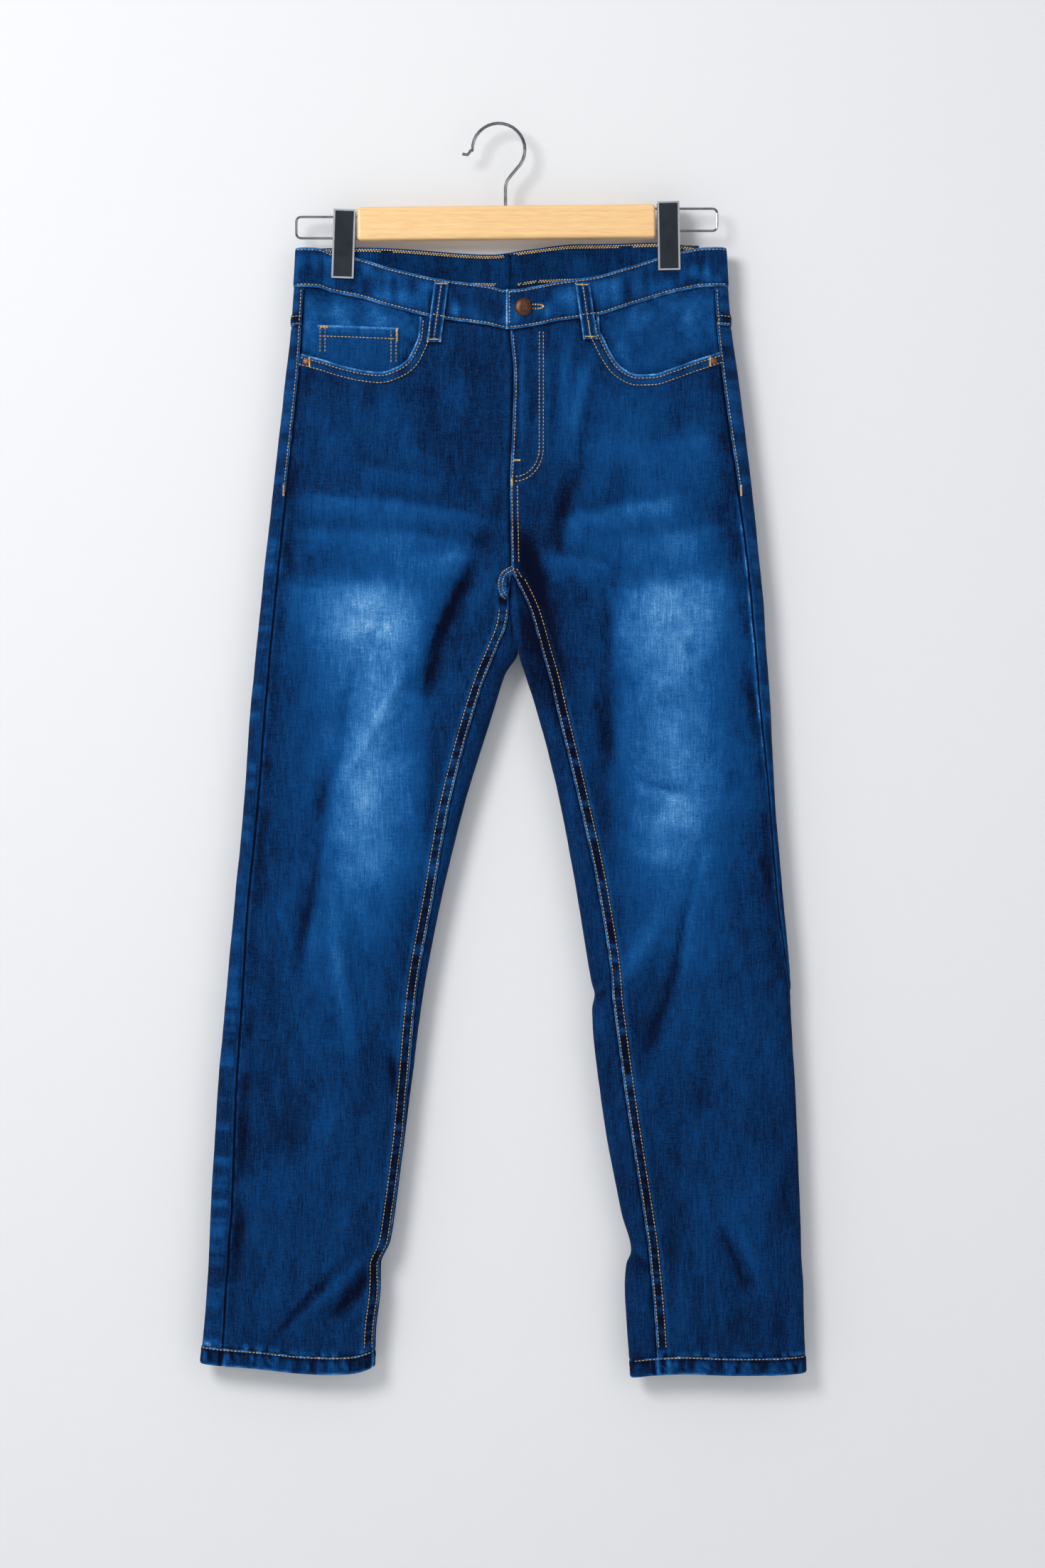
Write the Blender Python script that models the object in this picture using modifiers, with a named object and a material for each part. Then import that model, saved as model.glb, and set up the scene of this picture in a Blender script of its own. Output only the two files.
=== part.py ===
"""Slim fit jeans hanging from the two clips of a wooden bar hanger.

Lengths below are millimetres and become metres where a mesh is made. The origin is the underside
of the hook's top, X runs to the right seen from the front, the front faces -Y and Z is up.
"Left" and "right" are as seen from the front. Every cloth piece is a wall on one skin, which is
worked out from the outline, a depth table and a short table of folds.
"""

import math

import bmesh
import bpy
from mathutils import Vector

MM = 0.001

# Cloth
DENIM = 1.5
BAND_CLOTH = 2.8
HEM_CLOTH = 2.4
POCKET_CLOTH = 1.1
COIN_CLOTH = 0.9
SEAM_GAP = 0.3
EDGE_GAP = 0.8
SLOPE_STEP = 0.5
BAND_HEIGHT = 36.2
BAND_STEP = 0.7
HEM_HEIGHT = 16.3
HEM_STEP = 0.5
HEM_TURNS = 6
HEM_SPANS = 8

# Where the four leg panels meet on the front, and the top of the gap between the legs
JUNCTION_Z = -412.0
STRIP_TOP_Z = -415.0
APEX_Z = -486.0
LEG_SPLIT_X = 12.1
HIP_TO_LEG_Z = -360.0

INWARD = {"left": 1.0, "right": -1.0}
OUTWARD_Y = {"front": -1.0, "back": 1.0}

# Outline of each leg. The turn is how far the outseam lies in from the outer edge: on the front
# where it is positive, round on the back where it is negative.
LEG_COLUMNS = ("height", "outer", "turn", "inseam", "inner")
LEG_ROWS = {
    "left": (
        (-111, -186.3, 8.5, None, None),
        (-183, -190.9, 10.2, None, None),
        (-238, -196.8, 12.4, None, None),
        (-343, -208.6, 12.8, None, None),
        (-412, -216.1, 13.0, 11.9, 11.9),
        (-448, -219.7, 13.1, 6.9, 15.5),
        (-486, -223.6, 13.1, -7.5, 17.9),
        (-505, -225.4, 13.5, -15.5, 6.8),
        (-540, -228.9, 13.8, -27.1, -4.8),
        (-625, -234.8, 13.1, -49.4, -31.0),
        (-710, -242.6, 12.4, -64.5, -52.0),
        (-802, -251.1, 15.1, -80.4, -69.7),
        (-893, -259.0, 17.0, -88.7, -81.5),
        (-1001, -265.6, 19.6, -99.6, -95.5),
        (-1028, -266.8, 18.3, -104.0, -99.8),
        (-1049, -267.6, 18.2, -112.8, -108.3),
        (-1068, -268.6, 17.4, -113.7, -108.4),
        (-1110, -271.8, 18.4, -118.2, -112.9),
        (-1150, -276.0, 19.0, -119.5, -114.2),
    ),
    "right": (
        (-111, 209.3, 12.4, None, None),
        (-183, 213.9, 13.8, None, None),
        (-238, 221.5, 15.4, None, None),
        (-343, 234.2, 12.8, None, None),
        (-412, 241.4, 11.1, 11.9, 11.9),
        (-448, 244.7, 11.1, 28.9, 15.5),
        (-486, 246.6, 9.4, 39.7, 18.3),
        (-505, 248.3, 9.6, 45.4, 24.0),
        (-540, 250.6, 8.8, 53.8, 35.1),
        (-625, 254.9, 4.9, 74.1, 56.7),
        (-710, 262.1, 4.6, 92.1, 72.4),
        (-789, 268.3, 0.7, 103.6, 85.5),
        (-801, 268.7, -0.5, 104.2, 88.5),
        (-814, 269.0, -1.5, 105.8, 86.2),
        (-893, 273.5, -5.0, 116.3, 93.7),
        (-1001, 277.9, -7.5, 132.8, 113.0),
        (-1037, 278.9, -8.0, 137.9, 121.9),
        (-1049, 279.4, -8.0, 138.9, 117.6),
        (-1068, 280.6, -8.0, 140.8, 116.2),
        (-1110, 281.6, -8.0, 144.2, 118.2),
        (-1150, 283.4, -8.0, 146.4, 121.3),
    ),
}

# Centre seams: height and X
CENTRE_FRONT = ((-150, 12.0), (-194, 11.1), (-234, 14.0), (-294, 12.1), (-334, 10.4), (-374, 11.1),
                (-412, 11.9), (-448, 15.5), (-486, 18.1))
CENTRE_BACK = ((-110, 11.0), (-221, 11.0), (-420, 13.0), (-486, 18.1))

# Depth of the hanging cloth. The edges are how far front and back stand off the middle plane just
# inside a fold, the crowns are what is added half way across, and the fold is its width.
DEPTH_COLUMNS = ("height", "front", "back", "front_crown", "back_crown", "fold")
DEPTH_ROWS = (
    (-111, 8.0, 8.0, 17.0, 3.0, 9.0),
    (-190, 9.5, 9.5, 18.0, 5.0, 10.0),
    (-260, 11.0, 11.0, 12.0, 7.0, 12.0),
    (-400, 11.5, 12.0, 7.0, 7.0, 13.0),
    (-486, 11.0, 11.5, 5.0, 5.0, 13.0),
    (-650, 10.0, 10.5, 4.0, 4.0, 12.0),
    (-850, 9.0, 9.5, 3.0, 3.0, 11.0),
    (-1150, 8.0, 8.0, 2.5, 2.0, 10.0),
)

# The clips squeeze front and back together
CLIP_X = {"left": -142.5, "right": 156.5}
PINCH_HALF = 2.8
PINCH_FLAT = 12.0
PINCH_REACH = 28.0
PINCH_FROM_Z = -142.0
PINCH_TO_Z = -192.0

# Waistband edges: X and height
BAND_BOTTOM_FRONT = ((-187, -150), (-168, -150), (-153, -154.6), (-129, -159.5), (-97, -171),
                     (-57, -181.4), (-11, -188), (11, -192), (31, -189.3), (53, -184.7),
                     (91, -178.8), (116, -170.3), (144, -159.8), (167, -153.3), (190, -150),
                     (210, -150))
BAND_BOTTOM_BACK = ((-160, -150), (-100, -149), (-7, -153), (26, -150), (75, -146), (143, -146),
                    (182, -150))
BAND_TOP_BACK = ((-175, -113.8), (-104, -112.7), (-7, -117.9), (26, -113.5), (75, -108.5),
                 (143, -108.4), (192, -113.8))

# Hem's lower edge: X and height
HEM_BOTTOM = {
    "left": ((-276, -1139.4), (-257, -1141.4), (-222, -1144), (-182, -1148.2), (-155, -1149.5),
             (-135, -1148.9), (-114, -1143.2)),
    "right": ((121, -1152.8), (144, -1150.2), (171, -1148.9), (217, -1150.2), (250, -1150.2),
              (284, -1148.2)),
}

# Heights of the panel rows: at the side, half way across the front and half way across the back.
# The first three rows of the back belong to the yokes, and the last row of every panel follows
# the hem.
TOP_ROWS = (
    (-150, -192, -153),
    (-167, -206, -187),
    (-186, -221, -221),
    (-206, -238, -238),
    (-228, -255, -255),
    (-254, -274, -274),
)
LOWER_ROWS = (-290, -315, -340, -365, -390, JUNCTION_Z, STRIP_TOP_Z, -437, -461, -479, APEX_Z, -505,
              -540, -575, -610, -645, -680, -715, -752, -789, -801, -814, -850, -893, -930, -966,
              -1001, -1028, -1037, -1049, -1068, -1092, -1110)
YOKE_ROWS = 3
# Each leg panel is in three nodes, so that its collision pieces can follow the folds
STRETCHES = (("hip", 0, -540), ("thigh", -540, -814), ("shin", -814, -1150))
FACING_ROWS = 5
BACK_SPREAD = 165.0

# Largest folds: side, start, end, sideways bow, half width and height above the skin, which is
# below it where it is negative
FOLD_COLUMNS = ("side", "x0", "z0", "x1", "z1", "bow", "width", "height")
FOLD_ROWS = (
    ("front", -9, -371, -68, -528, 6, 15, -5.0),
    ("front", 2, -385, -38, -505, 4, 13, 2.6),
    ("front", -102, -447, -188, -780, -10, 17, -3.4),
    ("front", -80, -470, -150, -640, -6, 20, 2.6),
    ("front", -153, -719, -186, -900, 4, 20, 2.6),
    ("front", -118, -700, -170, -850, 5, 20, -2.0),
    ("front", -145, -1051, -203, -1110, 3, 12, 2.8),
    ("front", -112, -1040, -158, -1106, 2, 12, -2.8),
    ("front", -235, -992, -248, -1068, 0, 16, -2.0),
    ("front", 92, -402, 100, -638, 6, 24, -4.4),
    ("front", 30, -372, 44, -470, 4, 15, -4.8),
    ("front", 86, -208, 60, -322, 3, 16, 2.6),
    ("front", 66, -314, 54, -388, 0, 15, -2.6),
    ("front", 124, -602, 184, -613, 3, 16, -2.4),
    ("front", 187, -654, 132, -856, -6, 18, -3.2),
    ("front", 138, -737, 111, -790, 0, 16, 2.8),
    ("front", 202, -1012, 232, -1077, 0, 18, -1.8),
    ("back", -50, -414, -150, -462, 8, 16, -4.0),
    ("back", 76, -414, 175, -464, -8, 16, -4.0),
    ("back", -70, -500, -170, -580, 6, 20, 3.0),
    ("back", 96, -500, 190, -586, -6, 20, 3.0),
    ("back", -100, -640, -200, -690, 6, 18, -3.2),
    ("back", 120, -650, 220, -700, -6, 18, -3.2),
    ("back", -120, -760, -200, -905, 6, 20, -2.6),
    ("back", 140, -770, 225, -900, -6, 20, -2.6),
    ("back", -140, -1020, -215, -1080, 3, 16, -2.4),
    ("back", 165, -1010, 240, -1070, -3, 16, -2.4),
)

# Front pocket mouths: X and height
POCKET_MOUTH = {
    "left": ((-184, -211.5), (-159, -218.8), (-143, -224), (-123, -228.6), (-108, -230.2),
             (-93, -225.7), (-84, -219.7), (-77.6, -209), (-73, -197), (-71, -168)),
    "right": ((204, -210.5), (177, -219.8), (157, -227.3), (142, -231.9), (127, -232.5),
              (113.4, -226.6), (103, -213.7), (96.7, -201), (92.7, -192.6), (91, -165)),
}
CUTTER_SIDE = 14.0
CUTTER_OVER = 2.0
CUTTER_TOP_Z = -120.0
CUTTER_DEPTH = 90.0
CUTTER_STEPS = 20
FACING_INNER_X = {"left": -60.0, "right": 80.0}
FACING_DEPTH = {"left": 3.8, "right": 2.4}
COIN_DEPTH = 2.2
COIN_STEPS = 8
COIN_ROWS = 3
COIN_LEFT_X = -166.5
COIN_RIGHT_X = -91.5
COIN_TOP_LEFT_Z = -185.1
COIN_TOP_RIGHT_Z = -189.6
COIN_BOTTOM_Z = -236.0

# Back pockets
BACK_POCKET_X = {"left": -86.0, "right": 108.0}
BACK_POCKET_TOP_Z = -226.0
BACK_POCKET_HEIGHT = 140.0
BACK_POCKET_POINT = 24.0
BACK_POCKET_TOP_HALF = 74.0
BACK_POCKET_BOTTOM_HALF = 62.0
BACK_POCKET_LIFT = 0.7
BACK_POCKET_ROWS = 6
BACK_POCKET_STEPS = 8

# Belt loops: side, X and height of the top, X and height of the bottom
LOOP_COLUMNS = ("name", "side", "top_x", "top_z", "bottom_x", "bottom_z")
LOOP_ROWS = (
    ("belt_loop_front_left", "front", -51.5, -148.5, -59.0, -203.7),
    ("belt_loop_front_right", "front", 76.4, -149.5, 84.0, -201.1),
    ("belt_loop_back_left", "back", -104.0, -115.5, -105.0, -166.0),
    ("belt_loop_back_middle", "back", 11.0, -117.5, 11.0, -170.0),
    ("belt_loop_back_right", "back", 118.0, -111.0, 120.0, -163.0),
)
LOOP_WIDTH = 13.0
LOOP_CLOTH = 1.5
# A loop's share of the way to the waistband's lower edge, and how far it stands out there
LOOP_PROFILE = ((0.0, 0.5), (0.25, 2.7), (0.5, 2.7), (0.78, 1.8), (1.05, 1.7))
LOOP_END_OUT = 0.9
BAND_BACK_STEPS = 11
BAND_TURN_STEPS = 6
BAND_FRONT_STEPS = 12

# Fly, zip and closure
TAB_EDGE_X = 7.0
UNDERLAP_DEPTH = 3.4
UNDERLAP_STARTS = 15.0
UNDERLAP_OFFSETS = (-11.0, -6.0, -1.5, 8.0, 22.0, 37.0)
FLY_SHIELD_HALF = 19.0
FLY_TOP_Z = -196.0
FLY_BOTTOM_Z = -328.0
FLY_SHIELD_DEPTH = 5.6
ZIP_DEPTH = 2.6
ZIP_HALF = 12.0
ZIP_FROM_EDGE = 6.0
FLY_STEPS = 5
FLY_SHIELD_LONGER = 6.0
SLIDER_GAP = 1.3
ZIP_THICK = 0.9
SLIDER_Z = -205.0
SLIDER_SIZE = (6.0, 1.2, 11.0)
BUTTON_X = 23.0
BUTTON_Z = -172.0
BUTTON_RADIUS = 8.3
BUTTON_HEIGHT = 3.2
RIVET_RADIUS = 3.3
RIVET_HEIGHT = 1.5
BUTTON_LIFT = 0.4
RIVET_LIFT = 0.45
# Half section of the button and the rivets, as shares of the radius and the height
DOME_PROFILE = ((0.0, 1.0), (0.45, 0.96), (0.8, 0.72), (0.92, 0.5), (1.0, 0.3), (1.0, 0.0),
                (0.0, 0.0))
DOME_SIDES = 16
RIVET_PLACES = {"left": (-176.6, -219.6), "right": (197.6, -219.6)}

# Label inside the back waistband, beside the right clip
LABEL_X = (163.0, 184.0)
LABEL_Z = (-111.0, -128.0)
LABEL_CLOTH = 0.6
LABEL_GAP = 0.35
LABEL_STEPS = 3

# Hanger
HOOK_WIRE_RADIUS = 1.5
HOOK_RADIUS = 24.2
HOOK_STEM_X = 6.3
HOOK_STEM = ((6.3, -66.0), (6.3, -57.0), (7.7, -51.5), (11.9, -46.0))
HOOK_ARC = (-46.0, 182.0)
HOOK_STEPS = 20
HOOK_TIP = ((-25.6, -23.6), (-28.6, -27.6), (-33.4, -26.8))
BAR_LEFT_X = -130.3
BAR_RIGHT_X = 144.3
BAR_CENTRE_Z = -90.6
BAR_HEIGHT = 31.0
BAR_DEPTH = 14.0
BAR_TILT = 0.010
BAR_ROUND = 3.0
BAR_BORE_DEPTH = 14.0
RAIL_WIRE_RADIUS = 1.1
RAIL_CORNER = 4.0
RAIL_END_X = {"left": -186.3, "right": 201.3}
RAIL_TOP_Z = {"left": -84.8, "right": -77.2}
RAIL_BOTTOM_Z = {"left": -104.4, "right": -97.6}
RAIL_SEAT = 12.0
CLIP_TOP_Z = {"left": -78.6, "right": -71.4}
CLIP_BOTTOM_Z = {"left": -142.1, "right": -134.6}
CLIP_WIDTH = 20.4
CLIP_PLATE = 1.4
CLIP_LEAN = {"left": 0.035, "right": -0.018}
CLIP_BODY_WIDTH = 14.0
CLIP_BODY_HALF = 4.6
CLIP_BODY_MARGIN = 4.2
INSERT_MARGIN = 1.4
INSERT_THICK = 0.5
INSERT_RECESS = 0.4
INSERT_GAP = 0.3
INSERT_SINK = 0.15
JAW_GAP = 0.9
BODY_GAP = 0.35
BORE_CLEARANCE = 0.35

DENIM_BLUE = (0.016, 0.075, 0.24)
MATERIALS = {
    "denim": (DENIM_BLUE, 0.85, 0.0),
    "denim_inside": ((0.03, 0.08, 0.19), 0.9, 0.0),
    "copper": ((0.22, 0.09, 0.05), 0.38, 1.0),
    "zip": ((0.16, 0.09, 0.04), 0.45, 1.0),
    "label": ((0.012, 0.012, 0.013), 0.8, 0.0),
    "wood": ((0.72, 0.47, 0.22), 0.5, 0.0),
    "chrome": ((0.62, 0.63, 0.65), 0.14, 1.0),
    "insert": ((0.01, 0.011, 0.012), 0.12, 0.0),
}


def clear_scene():
    for thing in list(bpy.data.objects):
        bpy.data.objects.remove(thing, do_unlink=True)


def make_collection(name):
    group = bpy.data.collections.new(name)
    bpy.context.scene.collection.children.link(group)
    return group


def make_material(name):
    color, roughness, metallic = MATERIALS[name]
    material = bpy.data.materials.new(name)
    material.use_nodes = True
    shader = material.node_tree.nodes["Principled BSDF"]
    shader.inputs["Base Color"].default_value = (*color, 1.0)
    shader.inputs["Roughness"].default_value = roughness
    shader.inputs["Metallic"].default_value = metallic
    material.diffuse_color = (*color, 1.0)
    return material


def smooth_step(low, high, value):
    share = min(max((value - low) / (high - low), 0.0), 1.0)
    return share * share * (3.0 - 2.0 * share)


def shared_slope(before, after):
    """The slope at a point of a smooth line, zero where the line turns back."""
    if before * after <= 0.0:
        return 0.0
    return 2.0 * before * after / (before + after)


def read_line(points, at):
    """The value at one place of a smooth line through (place, value) points."""
    points = sorted(points)
    if at <= points[0][0]:
        return points[0][1]
    if at >= points[-1][0]:
        return points[-1][1]
    index = max(i for i in range(len(points) - 1) if points[i][0] <= at)
    (x0, y0), (x1, y1) = points[index], points[index + 1]
    span = x1 - x0
    slope = (y1 - y0) / span
    start = end = slope
    if index > 0:
        xb, yb = points[index - 1]
        start = shared_slope((y0 - yb) / (x0 - xb), slope)
    if index + 2 < len(points):
        xa, ya = points[index + 2]
        end = shared_slope(slope, (ya - y1) / (xa - x1))
    t = (at - x0) / span
    drop = y0 - y1
    cubic = 2.0 * drop + span * (start + end)
    square = -3.0 * drop - span * (2.0 * start + end)
    return y0 + t * (span * start + t * (square + t * cubic))


def column(rows, names, name):
    """The (first column, named column) pairs of a table, without its empty cells."""
    index = names.index(name)
    return tuple((row[0], row[index]) for row in rows if row[index] is not None)


LEG_LINES = {
    (leg, name): column(rows, LEG_COLUMNS, name)
    for leg, rows in LEG_ROWS.items()
    for name in LEG_COLUMNS[1:]
}
DEPTH_LINES = {name: column(DEPTH_ROWS, DEPTH_COLUMNS, name) for name in DEPTH_COLUMNS[1:]}
FOLDS = {
    side: [dict(zip(FOLD_COLUMNS, row)) for row in FOLD_ROWS if row[0] == side]
    for side in OUTWARD_Y
}


def leg_at(leg, name, z):
    return read_line(LEG_LINES[leg, name], z)


def depth_at(name, z):
    return read_line(DEPTH_LINES[name], z)


def edge_lift(share):
    """How much of its full depth the cloth has at a share of the way in over a folded edge."""
    return math.sqrt(1.0 - (1.0 - min(max(share, 0.0), 1.0)) ** 2)


def pinch_at(x, z):
    """How tightly the clips hold front and back together, from 0 to 1."""
    away = min(abs(x - place) for place in CLIP_X.values())
    nearest = math.exp(-((max(away - PINCH_FLAT, 0.0) / PINCH_REACH) ** 2))
    return nearest * smooth_step(PINCH_TO_Z, PINCH_FROM_Z, z)


def fold_height(side, x, z):
    """The sum of the folds at one place of the front or the back."""
    total = 0.0
    for fold in FOLDS[side]:
        along_x, along_z = fold["x1"] - fold["x0"], fold["z1"] - fold["z0"]
        from_x, from_z = x - fold["x0"], z - fold["z0"]
        length = math.hypot(along_x, along_z)
        t = (from_x * along_x + from_z * along_z) / length**2
        if not 0.0 < t < 1.0:
            continue
        arch = 4.0 * t * (1.0 - t)
        across = (from_z * along_x - from_x * along_z) / length - fold["bow"] * arch
        total += fold["height"] * math.sqrt(arch) * math.exp(-((across / fold["width"]) ** 2))
    return total


def skin_parts(leg, side, x, z, grow):
    """(full depth, swell, share of the way in over the nearer fold) at X and Z of one leg."""
    inward = INWARD[leg]
    outer = leg_at(leg, "outer", z) - inward * grow
    inner = leg_at(leg, "inner", min(z, APEX_Z)) + inward * grow
    climb = max(z - APEX_Z, 0.0)
    past_inner = (inner - x) * inward
    if climb:
        past_inner = math.hypot(past_inner, climb)
    share = min((x - outer) * inward, past_inner) / depth_at("fold", z)
    left, right = leg_at("left", "outer", z), leg_at("right", "outer", z)
    hip_share = (2.0 * x - left - right) / (right - left)
    leg_share = (2.0 * x - outer - inner) / (inner - outer)
    leg_part = 1.0 - smooth_step(APEX_Z, HIP_TO_LEG_Z, z)
    crown = (1.0 - leg_part) * max(1.0 - hip_share**2, 0.0)
    crown += leg_part * max(1.0 - leg_share**2, 0.0)
    pinch = pinch_at(x, z)
    full = (depth_at(side, z) + grow) * (1.0 - pinch) + (PINCH_HALF + grow) * pinch
    swell = crown * depth_at(side + "_crown", z) * (1.0 - pinch)
    return full + fold_height(side, x, z), swell, share


def skin_y(leg, side, x, z, grow=0.0):
    """The outer skin's Y at X and Z, on the front or the back of one leg or its half of the hips."""
    full, swell, share = skin_parts(leg, side, x, z, grow)
    return OUTWARD_Y[side] * (full * edge_lift(share) + swell)


def skin_normal(leg, side, x, z, grow=0.0):
    """The skin's outward normal. The slopes are scaled by the lift, so a folded edge has one too."""
    full, swell, share = skin_parts(leg, side, x, z, grow)
    lift = edge_lift(share)
    slopes = []
    for step_x, step_z in ((SLOPE_STEP, 0.0), (0.0, SLOPE_STEP)):
        after = skin_parts(leg, side, x + step_x, z + step_z, grow)
        before = skin_parts(leg, side, x - step_x, z - step_z, grow)
        rise = [(a - b) / (2.0 * SLOPE_STEP) for a, b in zip(after, before)]
        bend = full * (1.0 - share) * rise[2] if share < 1.0 else 0.0
        slopes.append(lift * lift * rise[0] + lift * rise[1] + bend)
    return Vector((-slopes[0], OUTWARD_Y[side] * lift, -slopes[1])).normalized()


def skin_point(leg, side, x, z, out=0.0, grow=0.0):
    """A point of the skin, moved outwards along its normal."""
    point = Vector((x, skin_y(leg, side, x, z, grow), z))
    return point + out * skin_normal(leg, side, x, z, grow) if out else point


def leg_of(x):
    return "left" if x < LEG_SPLIT_X else "right"


def arc_of(inset, fold):
    """The length round a fold to a point this far in from it, with the inset's sign."""
    reach = abs(inset)
    quarter = fold * math.pi / 2.0
    arc = fold * math.acos(1.0 - reach / fold) if reach < fold else quarter + reach - fold
    return math.copysign(arc, inset)


def inset_of(arc, fold):
    reach = abs(arc)
    quarter = fold * math.pi / 2.0
    return fold * (1.0 - math.cos(reach / fold)) if reach < quarter else fold + reach - quarter


def from_outer(leg, z, arc, grow=0.0):
    """(side, X) at a length round the outer fold, positive on the front."""
    edge = leg_at(leg, "outer", z) - INWARD[leg] * grow
    side = "front" if arc >= 0.0 else "back"
    return side, edge + INWARD[leg] * inset_of(arc, depth_at("fold", z))


def hem_top(leg, x):
    return read_line(HEM_BOTTOM[leg], x) + HEM_HEIGHT


def row_height(leg, side, row, x):
    """The height of a panel row at X. Rows are level at the sides, so the panels match there."""
    if row >= len(TOP_ROWS) + len(LOWER_ROWS):
        return hem_top(leg, x) + EDGE_GAP
    if row >= len(TOP_ROWS):
        return LOWER_ROWS[row - len(TOP_ROWS)]
    at_side, front_middle, back_middle = TOP_ROWS[row]
    if side == "front":
        first_side, first_middle = TOP_ROWS[0][:2]
        share = (read_line(BAND_BOTTOM_FRONT, x) - first_side) / (first_middle - first_side)
        return at_side + (front_middle - at_side) * share - (0.0 if row else EDGE_GAP)
    if row == 0:
        return read_line(BAND_BOTTOM_BACK, x) - EDGE_GAP
    share = max(1.0 - abs(x - CENTRE_BACK[0][1]) / BACK_SPREAD, 0.0)
    return at_side + (back_middle - at_side) * share


ROW_COUNT = len(TOP_ROWS) + len(LOWER_ROWS) + 1
STRIP_ROW = len(TOP_ROWS) + LOWER_ROWS.index(STRIP_TOP_Z)
APEX_ROW = len(TOP_ROWS) + LOWER_ROWS.index(APEX_Z)


def side_height(row, leg):
    """The height of a row at the outseam."""
    if row < len(TOP_ROWS):
        return float(TOP_ROWS[row][0])
    if row < ROW_COUNT - 1:
        return float(LOWER_ROWS[row - len(TOP_ROWS)])
    return hem_top(leg, leg_at(leg, "outer", HEM_BOTTOM[leg][0][1]))


def settle(leg, row, place):
    """(side, X, Z) of a point whose X depends on its height and whose height depends on X."""
    z = side_height(row, leg)
    for _ in range(4):
        side, x = place(z)
        z = row_height(leg, side, row, x)
    return side, x, z


def front_panel_x(leg, z, share):
    """(side, X) at a share of the way from the outseam to the centre seam or the inseam."""
    fold = depth_at("fold", z)
    inward = INWARD[leg]
    start = arc_of(leg_at(leg, "turn", z), fold) + SEAM_GAP / 2.0
    line = read_line(CENTRE_FRONT, z) if z >= JUNCTION_Z else leg_at(leg, "inseam", z)
    end_inset = (line - leg_at(leg, "outer", z)) * inward - SEAM_GAP / 2.0
    return from_outer(leg, z, start + (arc_of(end_inset, fold) - start) * share)


FRONT_SHARES = (0.0, 0.035, 0.08, 0.15, 0.24, 0.34, 0.45, 0.56, 0.67, 0.78, 0.88, 0.95, 1.0)
OUTER_STEPS = 5
BACK_STEPS = 7
INNER_STEPS = 3
STRIP_STEPS = 3


def back_panel_columns():
    """(stretch, share) of each column: round the outer fold, across, then up to the inner fold."""
    columns = [("outer", step / OUTER_STEPS) for step in range(OUTER_STEPS)]
    columns += [("across", step / BACK_STEPS) for step in range(BACK_STEPS)]
    columns += [("inner", step / INNER_STEPS) for step in range(INNER_STEPS + 1)]
    return columns


def back_panel_x(leg, z, stretch, share, grow=0.0):
    fold = depth_at("fold", z)
    inward = INWARD[leg]
    quarter = fold * math.pi / 2.0
    start = arc_of(leg_at(leg, "turn", z), fold) - SEAM_GAP / 2.0
    if stretch == "outer":
        return from_outer(leg, z, start + (-quarter - 1.0 - start) * share, grow)
    if z >= APEX_Z:
        line = read_line(CENTRE_BACK, z) - inward * SEAM_GAP / 2.0
    else:
        line = leg_at(leg, "inner", z) + inward * grow
    inner_start = line - inward * fold
    if stretch == "across":
        x0 = from_outer(leg, z, -quarter - 1.0, grow)[1]
        return "back", x0 + (inner_start - x0) * share
    angle = math.pi / 2.0 * (1.0 - share)
    return "back", line - inward * fold * (1.0 - math.cos(angle))


def strip_x(leg, z, share):
    """The back panel's strip that shows on the front, from the inner fold to the inseam."""
    fold = depth_at("fold", z)
    inward = INWARD[leg]
    end = leg_at(leg, "inseam", z) + inward * SEAM_GAP / 2.0
    if z >= APEX_Z:
        start = read_line(CENTRE_FRONT, z) - inward * SEAM_GAP / 2.0
        return "front", start + (end - start) * share
    line = leg_at(leg, "inner", z)
    reach = arc_of((line - end) * inward, fold)
    return "front", line - inward * inset_of(reach * share, fold)


def wall_object(name, spots, faces, thickness, material, group, flip=False):
    """A closed wall on the skin. Each spot is (leg, side, X, Z, out, grow) of its outer face."""
    count = len(spots)
    points = [skin_point(*spot) for spot in spots]
    points += [
        skin_point(leg, side, x, z, out - thickness, grow) for leg, side, x, z, out, grow in spots
    ]
    if flip:
        faces = [face[::-1] for face in faces]
    edges = {pair for face in faces for pair in zip(face, face[1:] + face[:1])}
    rims = [
        (b, a, a + count, b + count) for a, b in sorted(edges) if (b, a) not in edges
    ]
    inside = [tuple(corner + count for corner in face[::-1]) for face in faces]
    mesh = bpy.data.meshes.new(name)
    mesh.from_pydata([tuple(point * MM) for point in points], [], faces + inside + rims)
    mesh.update()
    mesh.shade_smooth()
    mesh.set_sharp_from_angle(angle=math.radians(50.0))
    mesh.materials.append(material)
    made = bpy.data.objects.new(name, mesh)
    group.objects.link(made)
    return made


def grid_object(name, rows, thickness, material, group, flip=False):
    """A wall through rows of spots, each row of the same length."""
    width = len(rows[0])
    faces = [
        (r * width + c, (r + 1) * width + c, (r + 1) * width + c + 1, r * width + c + 1)
        for r in range(len(rows) - 1)
        for c in range(width - 1)
    ]
    spots = [spot for row in rows for spot in row]
    return wall_object(name, spots, faces, thickness, material, group, flip)


def stretch_rows(top, bottom, first_row):
    """The rows of one stretch of a leg panel."""
    first = len(TOP_ROWS) + LOWER_ROWS.index(top) if top else first_row
    last = len(TOP_ROWS) + LOWER_ROWS.index(bottom) if bottom in LOWER_ROWS else ROW_COUNT - 1
    return range(first, last + 1)


def end_gap(row, rows, first_row):
    """How far a point of an end row is moved, so that the next node is a seam's gap away."""
    if row == rows[0] and row > first_row:
        return -SEAM_GAP / 2.0
    return SEAM_GAP / 2.0 if row == rows[-1] and row < ROW_COUNT - 1 else 0.0


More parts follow.
